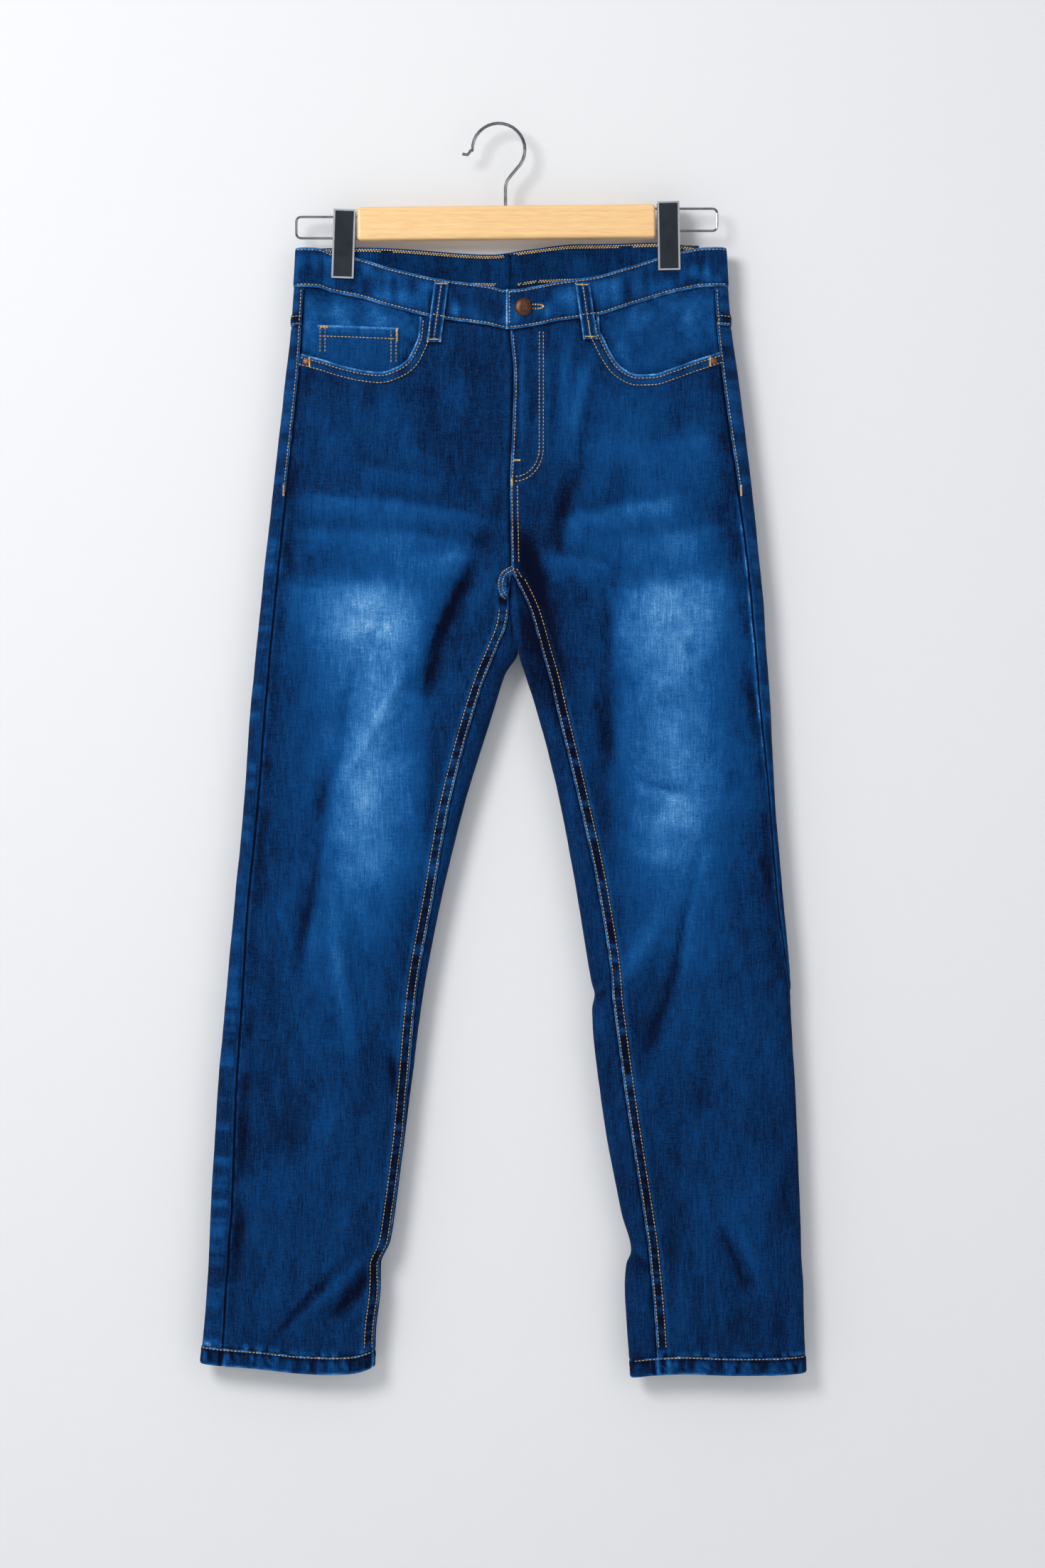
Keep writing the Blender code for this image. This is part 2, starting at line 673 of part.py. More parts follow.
def front_panel(leg, stretch, material, group):
    name, top, bottom = stretch
    lines = stretch_rows(top, bottom, 0)
    rows = []
    for row in lines:
        places = [
            settle(leg, row, lambda z, share=share: front_panel_x(leg, z, share))
            for share in FRONT_SHARES
        ]
        lift = end_gap(row, lines, 0)
        rows.append([(leg, side, x, z + lift, 0.0, 0.0) for side, x, z in places])
    return grid_object(f"front_{leg}_{name}", rows, DENIM, material, group, leg == "right")


def back_panel(leg, stretch, material, group):
    """The back of one leg. Above the gap its two edges part along the seat seam."""
    name, top, bottom = stretch
    first_row = YOKE_ROWS - 1
    lines = stretch_rows(top, bottom, first_row)
    spots = []
    index = {}

    def keep(key, side, x, z):
        index[key] = len(spots)
        spots.append((leg, side, x, z, 0.0, 0.0))

    columns = back_panel_columns()
    last = len(columns) - 1
    for row in lines:
        lift = -SEAM_GAP / 2.0 if row == first_row else end_gap(row, lines, first_row)
        for number, (part, share) in enumerate(columns):
            side, x, z = settle(leg, row, lambda z: back_panel_x(leg, z, part, share))
            keep(("back", row, number), side, x, z + lift)
        for number in range(STRIP_STEPS + 1 if row >= STRIP_ROW else 0):
            if number == 0 and row >= APEX_ROW:
                index["strip", row, 0] = index["back", row, last]
                continue
            share = number / STRIP_STEPS
            side, x, z = settle(leg, row, lambda z: strip_x(leg, z, share))
            keep(("strip", row, number), side, x, z + lift)
    faces = []
    for part, top_row, width in (("back", first_row, last), ("strip", STRIP_ROW, STRIP_STEPS)):
        for row in lines[:-1]:
            for number in range(width if row >= top_row else 0):
                corners = ((row, number), (row + 1, number), (row + 1, number + 1), (row, number + 1))
                faces.append(tuple(index[(part, *corner)] for corner in corners))
    return wall_object(f"back_{leg}_{name}", spots, faces, DENIM, material, group, leg == "left")


def yoke(leg, material, group):
    rows = []
    for row in range(YOKE_ROWS):
        lift = SEAM_GAP / 2.0 if row == YOKE_ROWS - 1 else 0.0
        places = [
            settle(leg, row, lambda z, stretch=stretch, share=share:
                   back_panel_x(leg, z, stretch, share))
            for stretch, share in back_panel_columns()
        ]
        rows.append([(leg, side, x, z + lift, 0.0, 0.0) for side, x, z in places])
    return grid_object(f"yoke_{leg}", rows, DENIM, material, group, leg == "left")


def band_edges(side, x):
    """(top, bottom) of the waistband."""
    if side == "front":
        bottom = read_line(BAND_BOTTOM_FRONT, x)
        return bottom + BAND_HEIGHT, bottom
    return read_line(BAND_TOP_BACK, x), read_line(BAND_BOTTOM_BACK, x)


def band_columns(leg):
    """(side, X, inset) along the waistband from the centre back round the outer fold to the
    front. The inset counts in from the outer fold and holds where X is None."""
    inward = INWARD[leg]
    fold = depth_at("fold", TOP_ROWS[0][0])
    near = leg_at(leg, "outer", TOP_ROWS[0][0]) + inward * fold
    across = CENTRE_BACK[0][1] - inward * SEAM_GAP / 2.0
    columns = [
        ("back", across + (near - across) * step / BAND_BACK_STEPS, None)
        for step in range(BAND_BACK_STEPS)
    ]
    for step in range(BAND_TURN_STEPS + 1):
        angle = math.pi * step / BAND_TURN_STEPS
        side = "back" if angle < math.pi / 2.0 else "front"
        columns.append((side, None, fold * (1.0 - math.sin(angle))))
    front_end = TAB_EDGE_X - inward * UNDERLAP_STARTS if leg == "left" else TAB_EDGE_X
    spots = [
        near + (front_end - near) * step / BAND_FRONT_STEPS
        for step in range(1, BAND_FRONT_STEPS + 1)
    ]
    if leg == "left":
        spots += [TAB_EDGE_X + offset for offset in UNDERLAP_OFFSETS]
    return columns + [("front", x, None) for x in spots]


def band_out(leg, side, x):
    """How far the waistband stands out: the end of the left half goes under the tab."""
    if leg == "right" or side == "back":
        return 0.0
    return -UNDERLAP_DEPTH * smooth_step(TAB_EDGE_X - UNDERLAP_STARTS, TAB_EDGE_X - 1.5, x)


def waistband(leg, material, group):
    rows = []
    for share in (0.0, 0.5, 1.0):
        row = []
        for side, x, inset in band_columns(leg):
            z = TOP_ROWS[0][0]
            for _ in range(3):
                if inset is not None:
                    x = leg_at(leg, "outer", z) - INWARD[leg] * (BAND_STEP - inset)
                top, bottom = band_edges(side, x)
                z = top + (bottom - top) * share
            row.append((leg_of(x), side, x, z, band_out(leg, side, x), BAND_STEP))
        rows.append(row)
    return grid_object(f"waistband_{leg}", rows, BAND_CLOTH, material, group, leg == "right")


def hem(leg, material, group):
    """The turned hem, a closed ring."""
    inward = INWARD[leg]
    rows = []
    for drop in (0.0, HEM_HEIGHT):
        ring = []
        z_nominal = read_line(HEM_BOTTOM[leg], leg_at(leg, "outer", HEM_BOTTOM[leg][0][1]))
        fold = depth_at("fold", z_nominal)
        outer = leg_at(leg, "outer", z_nominal) - inward * HEM_STEP
        inner = leg_at(leg, "inner", z_nominal) + inward * HEM_STEP
        for step in range(HEM_TURNS + 1):
            angle = math.pi * (step / HEM_TURNS - 0.5)
            side = "front" if angle < 0.0 else "back"
            ring.append((side, outer + inward * fold * (1.0 - math.cos(angle))))
        start, stop = outer + inward * fold, inner - inward * fold
        across = [(stop - start) * step / HEM_SPANS for step in range(1, HEM_SPANS)]
        ring += [("back", start + length) for length in across]
        for step in range(HEM_TURNS + 1):
            angle = math.pi * (step / HEM_TURNS - 0.5)
            side = "back" if angle < 0.0 else "front"
            ring.append((side, inner - inward * fold * (1.0 - math.cos(angle))))
        ring += [("front", stop - length) for length in across]
        rows.append([hem_spot(leg, side, x, drop, outer, inner) for side, x in ring])
    count = len(rows[0])
    faces = [(c, count + c, count + (c + 1) % count, (c + 1) % count) for c in range(count)]
    return wall_object(f"hem_{leg}", rows[0] + rows[1], faces, HEM_CLOTH, material, group,
                       leg == "left")


def hem_spot(leg, side, x, drop, outer, inner):
    """A spot of the hem ring, whose X is moved with the outline at its own height."""
    z = hem_top(leg, x) - drop
    share = (x - outer) / (inner - outer)
    grow = HEM_STEP * INWARD[leg]
    low, high = leg_at(leg, "outer", z) - grow, leg_at(leg, "inner", z) + grow
    return leg, side, low + (high - low) * share, z, 0.0, HEM_STEP


def pocket_cutter(leg, material, cutters):
    """A prism over the part of the front panel that the pocket mouth leaves out."""
    inward = INWARD[leg]
    line = POCKET_MOUTH[leg]
    outline = [Vector(spot) for spot in smooth_outline(line, CUTTER_STEPS)]
    side_x = line[0][0] - inward * CUTTER_SIDE
    outline.append(Vector((outline[-1].x, CUTTER_TOP_Z)))
    outline.append(Vector((side_x, CUTTER_TOP_Z)))
    outline.append(Vector((side_x, line[0][1] + CUTTER_OVER)))
    mesh = bmesh.new()
    corners = [mesh.verts.new((MM * spot.x, -MM * CUTTER_DEPTH, MM * spot.y)) for spot in outline]
    cap = mesh.faces.new(corners)
    grown = bmesh.ops.extrude_face_region(mesh, geom=[cap])
    moved = [item for item in grown["geom"] if isinstance(item, bmesh.types.BMVert)]
    bmesh.ops.translate(mesh, verts=moved, vec=(0.0, MM * CUTTER_DEPTH, 0.0))
    bmesh.ops.recalc_face_normals(mesh, faces=mesh.faces)
    data = bpy.data.meshes.new(f"pocket_cutter_{leg}")
    mesh.to_mesh(data)
    mesh.free()
    data.materials.append(material)
    made = bpy.data.objects.new(f"pocket_cutter_{leg}", data)
    made.hide_render = True
    made.display_type = "WIRE"
    cutters.objects.link(made)
    return made


def smooth_outline(points, steps):
    """A smooth planar line through (X, Z) points, read along its own length."""
    lengths = [0.0]
    for before, after in zip(points, points[1:]):
        lengths.append(lengths[-1] + math.hypot(after[0] - before[0], after[1] - before[1]))
    xs = [(length, point[0]) for length, point in zip(lengths, points)]
    zs = [(length, point[1]) for length, point in zip(lengths, points)]
    spots = [lengths[-1] * step / steps for step in range(steps + 1)]
    return [(read_line(xs, spot), read_line(zs, spot)) for spot in spots]


def cut_with(made, cutter):
    cut = made.modifiers.new("mouth", "BOOLEAN")
    cut.operation = "DIFFERENCE"
    cut.solver = "EXACT"
    cut.object = cutter


def pocket_facing(leg, material, group):
    """The cloth behind the pocket mouth, on the front panel's own points moved in."""
    rows = []
    for row in range(FACING_ROWS):
        places = []
        for share in FRONT_SHARES:
            side, x, z = settle(leg, row, lambda z, share=share: front_panel_x(leg, z, share))
            if (FACING_INNER_X[leg] - x) * INWARD[leg] < 0.0:
                break
            places.append((leg, side, x, z, -FACING_DEPTH[leg], 0.0))
        rows.append(places)
    width = min(len(row) for row in rows)
    rows = [row[:width] for row in rows]
    return grid_object(f"pocket_facing_{leg}", rows, POCKET_CLOTH, material, group, leg == "right")


def coin_pocket(material, group):
    rows = []
    for row in range(COIN_ROWS + 1):
        drop = row / COIN_ROWS
        spots = []
        for step in range(COIN_STEPS + 1):
            share = step / COIN_STEPS
            x = COIN_LEFT_X + (COIN_RIGHT_X - COIN_LEFT_X) * share
            top = COIN_TOP_LEFT_Z + (COIN_TOP_RIGHT_Z - COIN_TOP_LEFT_Z) * share
            z = top + (COIN_BOTTOM_Z - top) * drop
            spots.append(("left", "front", x, z, -COIN_DEPTH, 0.0))
        rows.append(spots)
    return grid_object("coin_pocket", rows, COIN_CLOTH, material, group)


def back_pocket(leg, material, group):
    rows = []
    for row in range(BACK_POCKET_ROWS + 1):
        drop = row / BACK_POCKET_ROWS
        half = BACK_POCKET_TOP_HALF + (BACK_POCKET_BOTTOM_HALF - BACK_POCKET_TOP_HALF) * drop
        spots = []
        for step in range(BACK_POCKET_STEPS + 1):
            share = 2.0 * step / BACK_POCKET_STEPS - 1.0
            length = BACK_POCKET_HEIGHT + BACK_POCKET_POINT * (1.0 - abs(share)) * drop
            z = BACK_POCKET_TOP_Z - length * drop
            x = BACK_POCKET_X[leg] + half * share
            spots.append((leg, "back", x, z, BACK_POCKET_LIFT + POCKET_CLOTH, 0.0))
        rows.append(spots)
    return grid_object(f"back_pocket_{leg}", rows, POCKET_CLOTH, material, group, True)


def belt_loop(row, material, group):
    """A strip over the waistband, held at its ends and bowed out between them."""
    loop = dict(zip(LOOP_COLUMNS, row))
    side = loop["side"]
    along_x = loop["bottom_x"] - loop["top_x"]
    along_z = loop["bottom_z"] - loop["top_z"]
    crossing = (band_edges(side, loop["bottom_x"])[1] - loop["top_z"]) / along_z
    profile = [(share * crossing, out) for share, out in LOOP_PROFILE] + [(1.0, LOOP_END_OUT)]
    rows = []
    for share, out in profile:
        x = loop["top_x"] + along_x * share
        z = loop["top_z"] + along_z * share
        grow = BAND_STEP if share <= crossing else 0.0
        half = LOOP_WIDTH / 2.0
        rows.append([
            (leg_of(x + offset), side, x + offset, z, out + LOOP_CLOTH, grow)
            for offset in (-half, 0.0, half)
        ])
    return grid_object(loop["name"], rows, LOOP_CLOTH, material, group, side == "back")


def fly_strip(name, half, depth, thickness, top, bottom, material, group):
    """A strip behind the fly."""
    rows = []
    for row in range(FLY_STEPS + 1):
        z = top + (bottom - top) * row / FLY_STEPS
        middle = read_line(CENTRE_FRONT, z) + ZIP_FROM_EDGE
        rows.append([
            (leg_of(middle + offset), "front", middle + offset, z, -depth, 0.0)
            for offset in (-half, -half / 3.0, half / 3.0, half)
        ])
    return grid_object(name, rows, thickness, material, group)


def primitive_object(name, builder, material, group):
    mesh = bmesh.new()
    builder(mesh)
    data = bpy.data.meshes.new(name)
    mesh.to_mesh(data)
    mesh.free()
    data.materials.append(material)
    made = bpy.data.objects.new(name, data)
    group.objects.link(made)
    return made


def box_object(name, size, centre, material, group):
    """A box of this size about a centre, in millimetres."""

    def builder(mesh):
        bmesh.ops.create_cube(mesh, size=1.0)
        bmesh.ops.scale(mesh, vec=Vector(size) * MM, verts=mesh.verts)

    made = primitive_object(name, builder, material, group)
    made.location = Vector(centre) * MM
    return made


def zip_slider(material, group):
    middle = read_line(CENTRE_FRONT, SLIDER_Z) + ZIP_FROM_EDGE
    y = skin_y("right", "front", middle, SLIDER_Z) + ZIP_DEPTH + ZIP_THICK + SLIDER_GAP
    return box_object("zip_slider", SLIDER_SIZE, (middle, y, SLIDER_Z), material, group)


def dome(name, radius, height, place, normal, material, group):
    """A round metal piece: a profile turned about its own axis, then faced along the normal."""
    mesh = bmesh.new()
    spots = [
        mesh.verts.new((MM * radius * across, 0.0, MM * height * up)) for across, up in DOME_PROFILE
    ]
    edges = [mesh.edges.new(pair) for pair in zip(spots, spots[1:])]
    bmesh.ops.spin(mesh, geom=spots + edges, cent=(0, 0, 0), axis=(0, 0, 1),
                   angle=math.tau, steps=DOME_SIDES, use_merge=True)
    bmesh.ops.remove_doubles(mesh, verts=mesh.verts, dist=1e-6)
    bmesh.ops.recalc_face_normals(mesh, faces=mesh.faces)
    data = bpy.data.meshes.new(name)
    mesh.to_mesh(data)
    mesh.free()
    data.materials.append(material)
    made = bpy.data.objects.new(name, data)
    made.rotation_mode = "QUATERNION"
    made.rotation_quaternion = normal.to_track_quat("Z", "Y")
    made.location = place * MM
    group.objects.link(made)
    return made


def button(material, group):
    place = skin_point("right", "front", BUTTON_X, BUTTON_Z, BAND_STEP + BUTTON_LIFT)
    normal = skin_normal("right", "front", BUTTON_X, BUTTON_Z)
    return dome("button", BUTTON_RADIUS, BUTTON_HEIGHT, place, normal, material, group)


def rivets(material, group):
    for leg, (x, z) in RIVET_PLACES.items():
        place = skin_point(leg, "front", x, z, RIVET_LIFT)
        normal = skin_normal(leg, "front", x, z)
        dome(f"rivet_{leg}", RIVET_RADIUS, RIVET_HEIGHT, place, normal, material, group)


def inner_label(material, group):
    """A blank label on the inside of the back waistband."""
    rows = []
    for z in LABEL_Z:
        rows.append([
            ("right", "back", LABEL_X[0] + (LABEL_X[1] - LABEL_X[0]) * step / LABEL_STEPS, z,
             -BAND_CLOTH - LABEL_GAP, BAND_STEP)
            for step in range(LABEL_STEPS + 1)
        ])
    return grid_object("inner_label", rows, LABEL_CLOTH, material, group, True)


def wire_object(name, points, radius, material, group):
    """A round wire through points, with filled ends."""
    curve = bpy.data.curves.new(name, "CURVE")
    curve.dimensions = "3D"
    curve.bevel_depth = radius * MM
    curve.bevel_resolution = 2
    curve.use_fill_caps = True
    spline = curve.splines.new("POLY")
    spline.points.add(len(points) - 1)
    for spot, point in zip(spline.points, points):
        spot.co = (MM * point[0], MM * point[1], MM * point[2], 1.0)
    curve.materials.append(material)
    made = bpy.data.objects.new(name, curve)
    group.objects.link(made)
    return made


def hook(material, group):
    """The hook's wire: up from the bar, round the open ring and out to its short tip."""
    centre_z = HOOK_WIRE_RADIUS - HOOK_RADIUS
    stem_foot = BAR_CENTRE_Z + BAR_HEIGHT / 2.0 - RAIL_SEAT
    path = [(HOOK_STEM_X, 0.0, stem_foot)] + [(x, 0.0, z) for x, z in HOOK_STEM]
    first, last = HOOK_ARC
    for step in range(HOOK_STEPS + 1):
        angle = math.radians(first + (last - first) * step / HOOK_STEPS)
        across, up = HOOK_RADIUS * math.cos(angle), HOOK_RADIUS * math.sin(angle)
        path.append((across, 0.0, centre_z + up))
    path += [(x, 0.0, z) for x, z in HOOK_TIP]
    return wire_object("hook", path, HOOK_WIRE_RADIUS, material, group)


def rail(leg, material, group):
    """One end of the wire rail: a flat loop whose two legs are seated in the bar."""
    inward = INWARD[leg]
    end = RAIL_END_X[leg]
    top, bottom = RAIL_TOP_Z[leg], RAIL_BOTTOM_Z[leg]
    foot = (BAR_LEFT_X if leg == "left" else BAR_RIGHT_X) + inward * RAIL_SEAT
    path = [(foot, 0.0, top)]
    for centre_z, first in ((top - RAIL_CORNER, 90.0), (bottom + RAIL_CORNER, 180.0)):
        for step in range(4):
            angle = math.radians(first + 30.0 * step)
            across = RAIL_CORNER * (1.0 + math.cos(angle))
            path.append((end + inward * across, 0.0, centre_z + RAIL_CORNER * math.sin(angle)))
    path.append((foot, 0.0, bottom))
    return wire_object(f"rail_{leg}", path, RAIL_WIRE_RADIUS, material, group)


def bore_cutter(name, radius, length, centre, axis, material, cutters):
    def builder(mesh):
        bmesh.ops.create_cone(mesh, cap_ends=True, segments=12, radius1=radius * MM,
                              radius2=radius * MM, depth=length * MM)

    made = primitive_object(name, builder, material, cutters)
    made.rotation_mode = "QUATERNION"
    made.rotation_quaternion = Vector(axis).to_track_quat("Z", "Y")
    made.location = Vector(centre) * MM
    made.hide_render = True
    made.display_type = "WIRE"
    return made


def hanger_bar(material, group, cutters):
    middle = (BAR_LEFT_X + BAR_RIGHT_X) / 2.0
    size = (BAR_RIGHT_X - BAR_LEFT_X, BAR_DEPTH, BAR_HEIGHT)
    bar = box_object("hanger_bar", size, (middle, 0.0, BAR_CENTRE_Z), material, group)
    bar.rotation_euler = (0.0, -BAR_TILT, 0.0)
    rounding = bar.modifiers.new("rounding", "BEVEL")
    rounding.width = BAR_ROUND * MM
    rounding.segments = 3
    spots = {"hook_bore": (HOOK_WIRE_RADIUS, (HOOK_STEM_X, 0.0, BAR_CENTRE_Z + BAR_HEIGHT / 2.0),
                           (0.0, 0.0, 1.0))}
    for leg, end in (("left", BAR_LEFT_X), ("right", BAR_RIGHT_X)):
        for level, z in (("top", RAIL_TOP_Z[leg]), ("bottom", RAIL_BOTTOM_Z[leg])):
            spots[f"rail_bore_{leg}_{level}"] = (RAIL_WIRE_RADIUS, (end, 0.0, z), (1.0, 0.0, 0.0))
    for name, (radius, centre, axis) in spots.items():
        cutter = bore_cutter(name, radius + BORE_CLEARANCE, 2.0 * BAR_BORE_DEPTH, centre, axis,
                             material, cutters)
        cut = bar.modifiers.new(name, "BOOLEAN")
        cut.operation = "DIFFERENCE"
        cut.solver = "EXACT"
        cut.object = cutter
    return bar


def clip(leg, chrome, black, group, cutters):
    """A sliding clip: two jaw plates either side of a body that rides on the rail's wires."""
    top, bottom = CLIP_TOP_Z[leg], CLIP_BOTTOM_Z[leg]
    x = CLIP_X[leg]
    height = top - bottom
    middle_z = (top + bottom) / 2.0
    body_top = RAIL_TOP_Z[leg] + CLIP_BODY_MARGIN
    body_bottom = RAIL_BOTTOM_Z[leg] - CLIP_BODY_MARGIN
    jaw_y = PINCH_HALF + BAND_STEP + JAW_GAP
    spread = (CLIP_BODY_HALF + BODY_GAP - jaw_y) / (body_bottom - bottom)
    for side, facing in OUTWARD_Y.items():
        middle_y = facing * (jaw_y + spread * height / 2.0 + CLIP_PLATE / 2.0)
        size = (CLIP_WIDTH, CLIP_PLATE, height)
        plate = box_object(f"clip_{leg}_{side}", size, (x, middle_y, middle_z), chrome, group)
        plate.rotation_euler = (-facing * math.atan(spread), CLIP_LEAN[leg], 0.0)
        if side == "back":
            continue
        recess = (CLIP_WIDTH - 2.0 * INSERT_MARGIN, 2.0 * INSERT_RECESS,
                  height - 2.0 * INSERT_MARGIN)
        shift = Vector((0.0, -CLIP_PLATE / 2.0, 0.0)) * MM
        turn = plate.rotation_euler.to_matrix()
        cutter = box_object(f"insert_recess_{leg}", recess, (0.0, 0.0, 0.0), chrome, cutters)
        cutter.location = plate.location + turn @ shift
        cutter.rotation_euler = plate.rotation_euler
        cutter.hide_render = True
        cutter.display_type = "WIRE"
        cut = plate.modifiers.new("recess", "BOOLEAN")
        cut.operation = "DIFFERENCE"
        cut.solver = "EXACT"
        cut.object = cutter
        inset = (recess[0] - 2.0 * INSERT_GAP, INSERT_THICK, recess[2] - 2.0 * INSERT_GAP)
        insert = box_object(f"clip_{leg}_insert", inset, (0.0, 0.0, 0.0), black, group)
        lift = Vector((0.0, -CLIP_PLATE / 2.0 - INSERT_SINK, 0.0)) * MM
        insert.location = plate.location + turn @ lift
        insert.rotation_euler = plate.rotation_euler
    size = (CLIP_BODY_WIDTH, 2.0 * CLIP_BODY_HALF, body_top - body_bottom)
    centre = (x, 0.0, (body_top + body_bottom) / 2.0)
    body = box_object(f"clip_{leg}_body", size, centre, chrome, group)
    for level, z in (("top", RAIL_TOP_Z[leg]), ("bottom", RAIL_BOTTOM_Z[leg])):
        cutter = bore_cutter(f"clip_bore_{leg}_{level}", RAIL_WIRE_RADIUS + BORE_CLEARANCE,
                             3.0 * CLIP_BODY_WIDTH,
                             (x, 0.0, z), (1.0, 0.0, 0.0), chrome, cutters)
        cut = body.modifiers.new(f"bore_{level}", "BOOLEAN")
        cut.operation = "DIFFERENCE"
        cut.solver = "EXACT"
        cut.object = cutter


def main():
    clear_scene()
    jeans = make_collection("jeans_on_clip_hanger")
    cutters = make_collection("cutters")
    cutters.hide_render = True
    paint = {name: make_material(name) for name in MATERIALS}
    for leg in INWARD:
        for stretch in STRETCHES:
            panel = front_panel(leg, stretch, paint["denim"], jeans)
            if stretch is STRETCHES[0]:
                cut_with(panel, pocket_cutter(leg, paint["denim"], cutters))
            back_panel(leg, stretch, paint["denim"], jeans)
        yoke(leg, paint["denim"], jeans)
        waistband(leg, paint["denim"], jeans)
        hem(leg, paint["denim"], jeans)
        pocket_facing(leg, paint["denim"], jeans)
        back_pocket(leg, paint["denim"], jeans)
        rail(leg, paint["chrome"], jeans)
        clip(leg, paint["chrome"], paint["insert"], jeans, cutters)
    coin_pocket(paint["denim"], jeans)
    for row in LOOP_ROWS:
        belt_loop(row, paint["denim"], jeans)
    fly_strip("zip_tape", ZIP_HALF, ZIP_DEPTH, ZIP_THICK, FLY_TOP_Z, FLY_BOTTOM_Z, paint["zip"],
              jeans)
    fly_strip("fly_shield", FLY_SHIELD_HALF, FLY_SHIELD_DEPTH, POCKET_CLOTH, FLY_TOP_Z,
              FLY_BOTTOM_Z - FLY_SHIELD_LONGER, paint["denim_inside"], jeans)
    zip_slider(paint["zip"], jeans)
    button(paint["copper"], jeans)
    rivets(paint["copper"], jeans)
    inner_label(paint["label"], jeans)
    hook(paint["chrome"], jeans)
    hanger_bar(paint["wood"], jeans, cutters)


main()
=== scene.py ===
import math

import bpy
import numpy as np
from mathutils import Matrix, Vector
from mathutils.bvhtree import BVHTree


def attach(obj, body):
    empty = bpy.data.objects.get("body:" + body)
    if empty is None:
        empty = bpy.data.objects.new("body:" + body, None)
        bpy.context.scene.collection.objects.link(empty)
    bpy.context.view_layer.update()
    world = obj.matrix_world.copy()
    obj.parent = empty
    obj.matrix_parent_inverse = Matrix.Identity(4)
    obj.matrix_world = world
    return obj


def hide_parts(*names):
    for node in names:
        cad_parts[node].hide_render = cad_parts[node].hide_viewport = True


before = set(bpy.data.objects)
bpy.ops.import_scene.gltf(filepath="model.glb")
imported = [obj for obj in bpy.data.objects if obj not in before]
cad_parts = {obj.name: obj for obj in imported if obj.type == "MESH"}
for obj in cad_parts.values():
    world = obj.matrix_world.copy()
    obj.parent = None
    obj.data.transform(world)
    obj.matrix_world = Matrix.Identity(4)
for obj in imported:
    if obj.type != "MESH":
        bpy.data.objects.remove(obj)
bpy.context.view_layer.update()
mm = 0.001

# The leg outlines in mm: height, outer edge, turn of the outseam, inseam and inner edge
legColumns = ("height", "outer", "turn", "inseam", "inner")
legRows = {
    "left": (
        (-111, -186.3, 8.5, None, None),
        (-183, -190.9, 10.2, None, None),
        (-238, -196.8, 12.4, None, None),
        (-343, -208.6, 12.8, None, None),
        (-412, -216.1, 13.0, 11.9, 11.9),
        (-448, -219.7, 13.1, 6.9, 15.5),
        (-486, -223.6, 13.1, -7.5, 17.9),
        (-505, -225.4, 13.5, -15.5, 6.8),
        (-540, -228.9, 13.8, -27.1, -4.8),
        (-625, -234.8, 13.1, -49.4, -31.0),
        (-710, -242.6, 12.4, -64.5, -52.0),
        (-802, -251.1, 15.1, -80.4, -69.7),
        (-893, -259.0, 17.0, -88.7, -81.5),
        (-1001, -265.6, 19.6, -99.6, -95.5),
        (-1028, -266.8, 18.3, -104.0, -99.8),
        (-1049, -267.6, 18.2, -112.8, -108.3),
        (-1068, -268.6, 17.4, -113.7, -108.4),
        (-1110, -271.8, 18.4, -118.2, -112.9),
        (-1150, -276.0, 19.0, -119.5, -114.2),
    ),
    "right": (
        (-111, 209.3, 12.4, None, None),
        (-183, 213.9, 13.8, None, None),
        (-238, 221.5, 15.4, None, None),
        (-343, 234.2, 12.8, None, None),
        (-412, 241.4, 11.1, 11.9, 11.9),
        (-448, 244.7, 11.1, 28.9, 15.5),
        (-486, 246.6, 9.4, 39.7, 18.3),
        (-505, 248.3, 9.6, 45.4, 24.0),
        (-540, 250.6, 8.8, 53.8, 35.1),
        (-625, 254.9, 4.9, 74.1, 56.7),
        (-710, 262.1, 4.6, 92.1, 72.4),
        (-789, 268.3, 0.7, 103.6, 85.5),
        (-801, 268.7, -0.5, 104.2, 88.5),
        (-814, 269.0, -1.5, 105.8, 86.2),
        (-893, 273.5, -5.0, 116.3, 93.7),
        (-1001, 277.9, -7.5, 132.8, 113.0),
        (-1037, 278.9, -8.0, 137.9, 121.9),
        (-1049, 279.4, -8.0, 138.9, 117.6),
        (-1068, 280.6, -8.0, 140.8, 116.2),
        (-1110, 281.6, -8.0, 144.2, 118.2),
        (-1150, 283.4, -8.0, 146.4, 121.3),
    ),
}

# Centre seams: height and X
centreFront = ((-150, 12.0), (-194, 11.1), (-234, 14.0), (-294, 12.1), (-334, 10.4), (-374, 11.1),
                (-412, 11.9), (-448, 15.5), (-486, 18.1))
centreBack = ((-110, 11.0), (-221, 11.0), (-420, 13.0), (-486, 18.1))

# How far front and back stand off the middle, the crowns between the edges and the width of a fold
depthColumns = ("height", "front", "back", "front_crown", "back_crown", "fold")
depthRows = (
    (-111, 8.0, 8.0, 17.0, 3.0, 9.0),
    (-190, 9.5, 9.5, 18.0, 5.0, 10.0),
    (-260, 11.0, 11.0, 12.0, 7.0, 12.0),
    (-400, 11.5, 12.0, 7.0, 7.0, 13.0),
    (-486, 11.0, 11.5, 5.0, 5.0, 13.0),
    (-650, 10.0, 10.5, 4.0, 4.0, 12.0),
    (-850, 9.0, 9.5, 3.0, 3.0, 11.0),
    (-1150, 8.0, 8.0, 2.5, 2.0, 10.0),
)

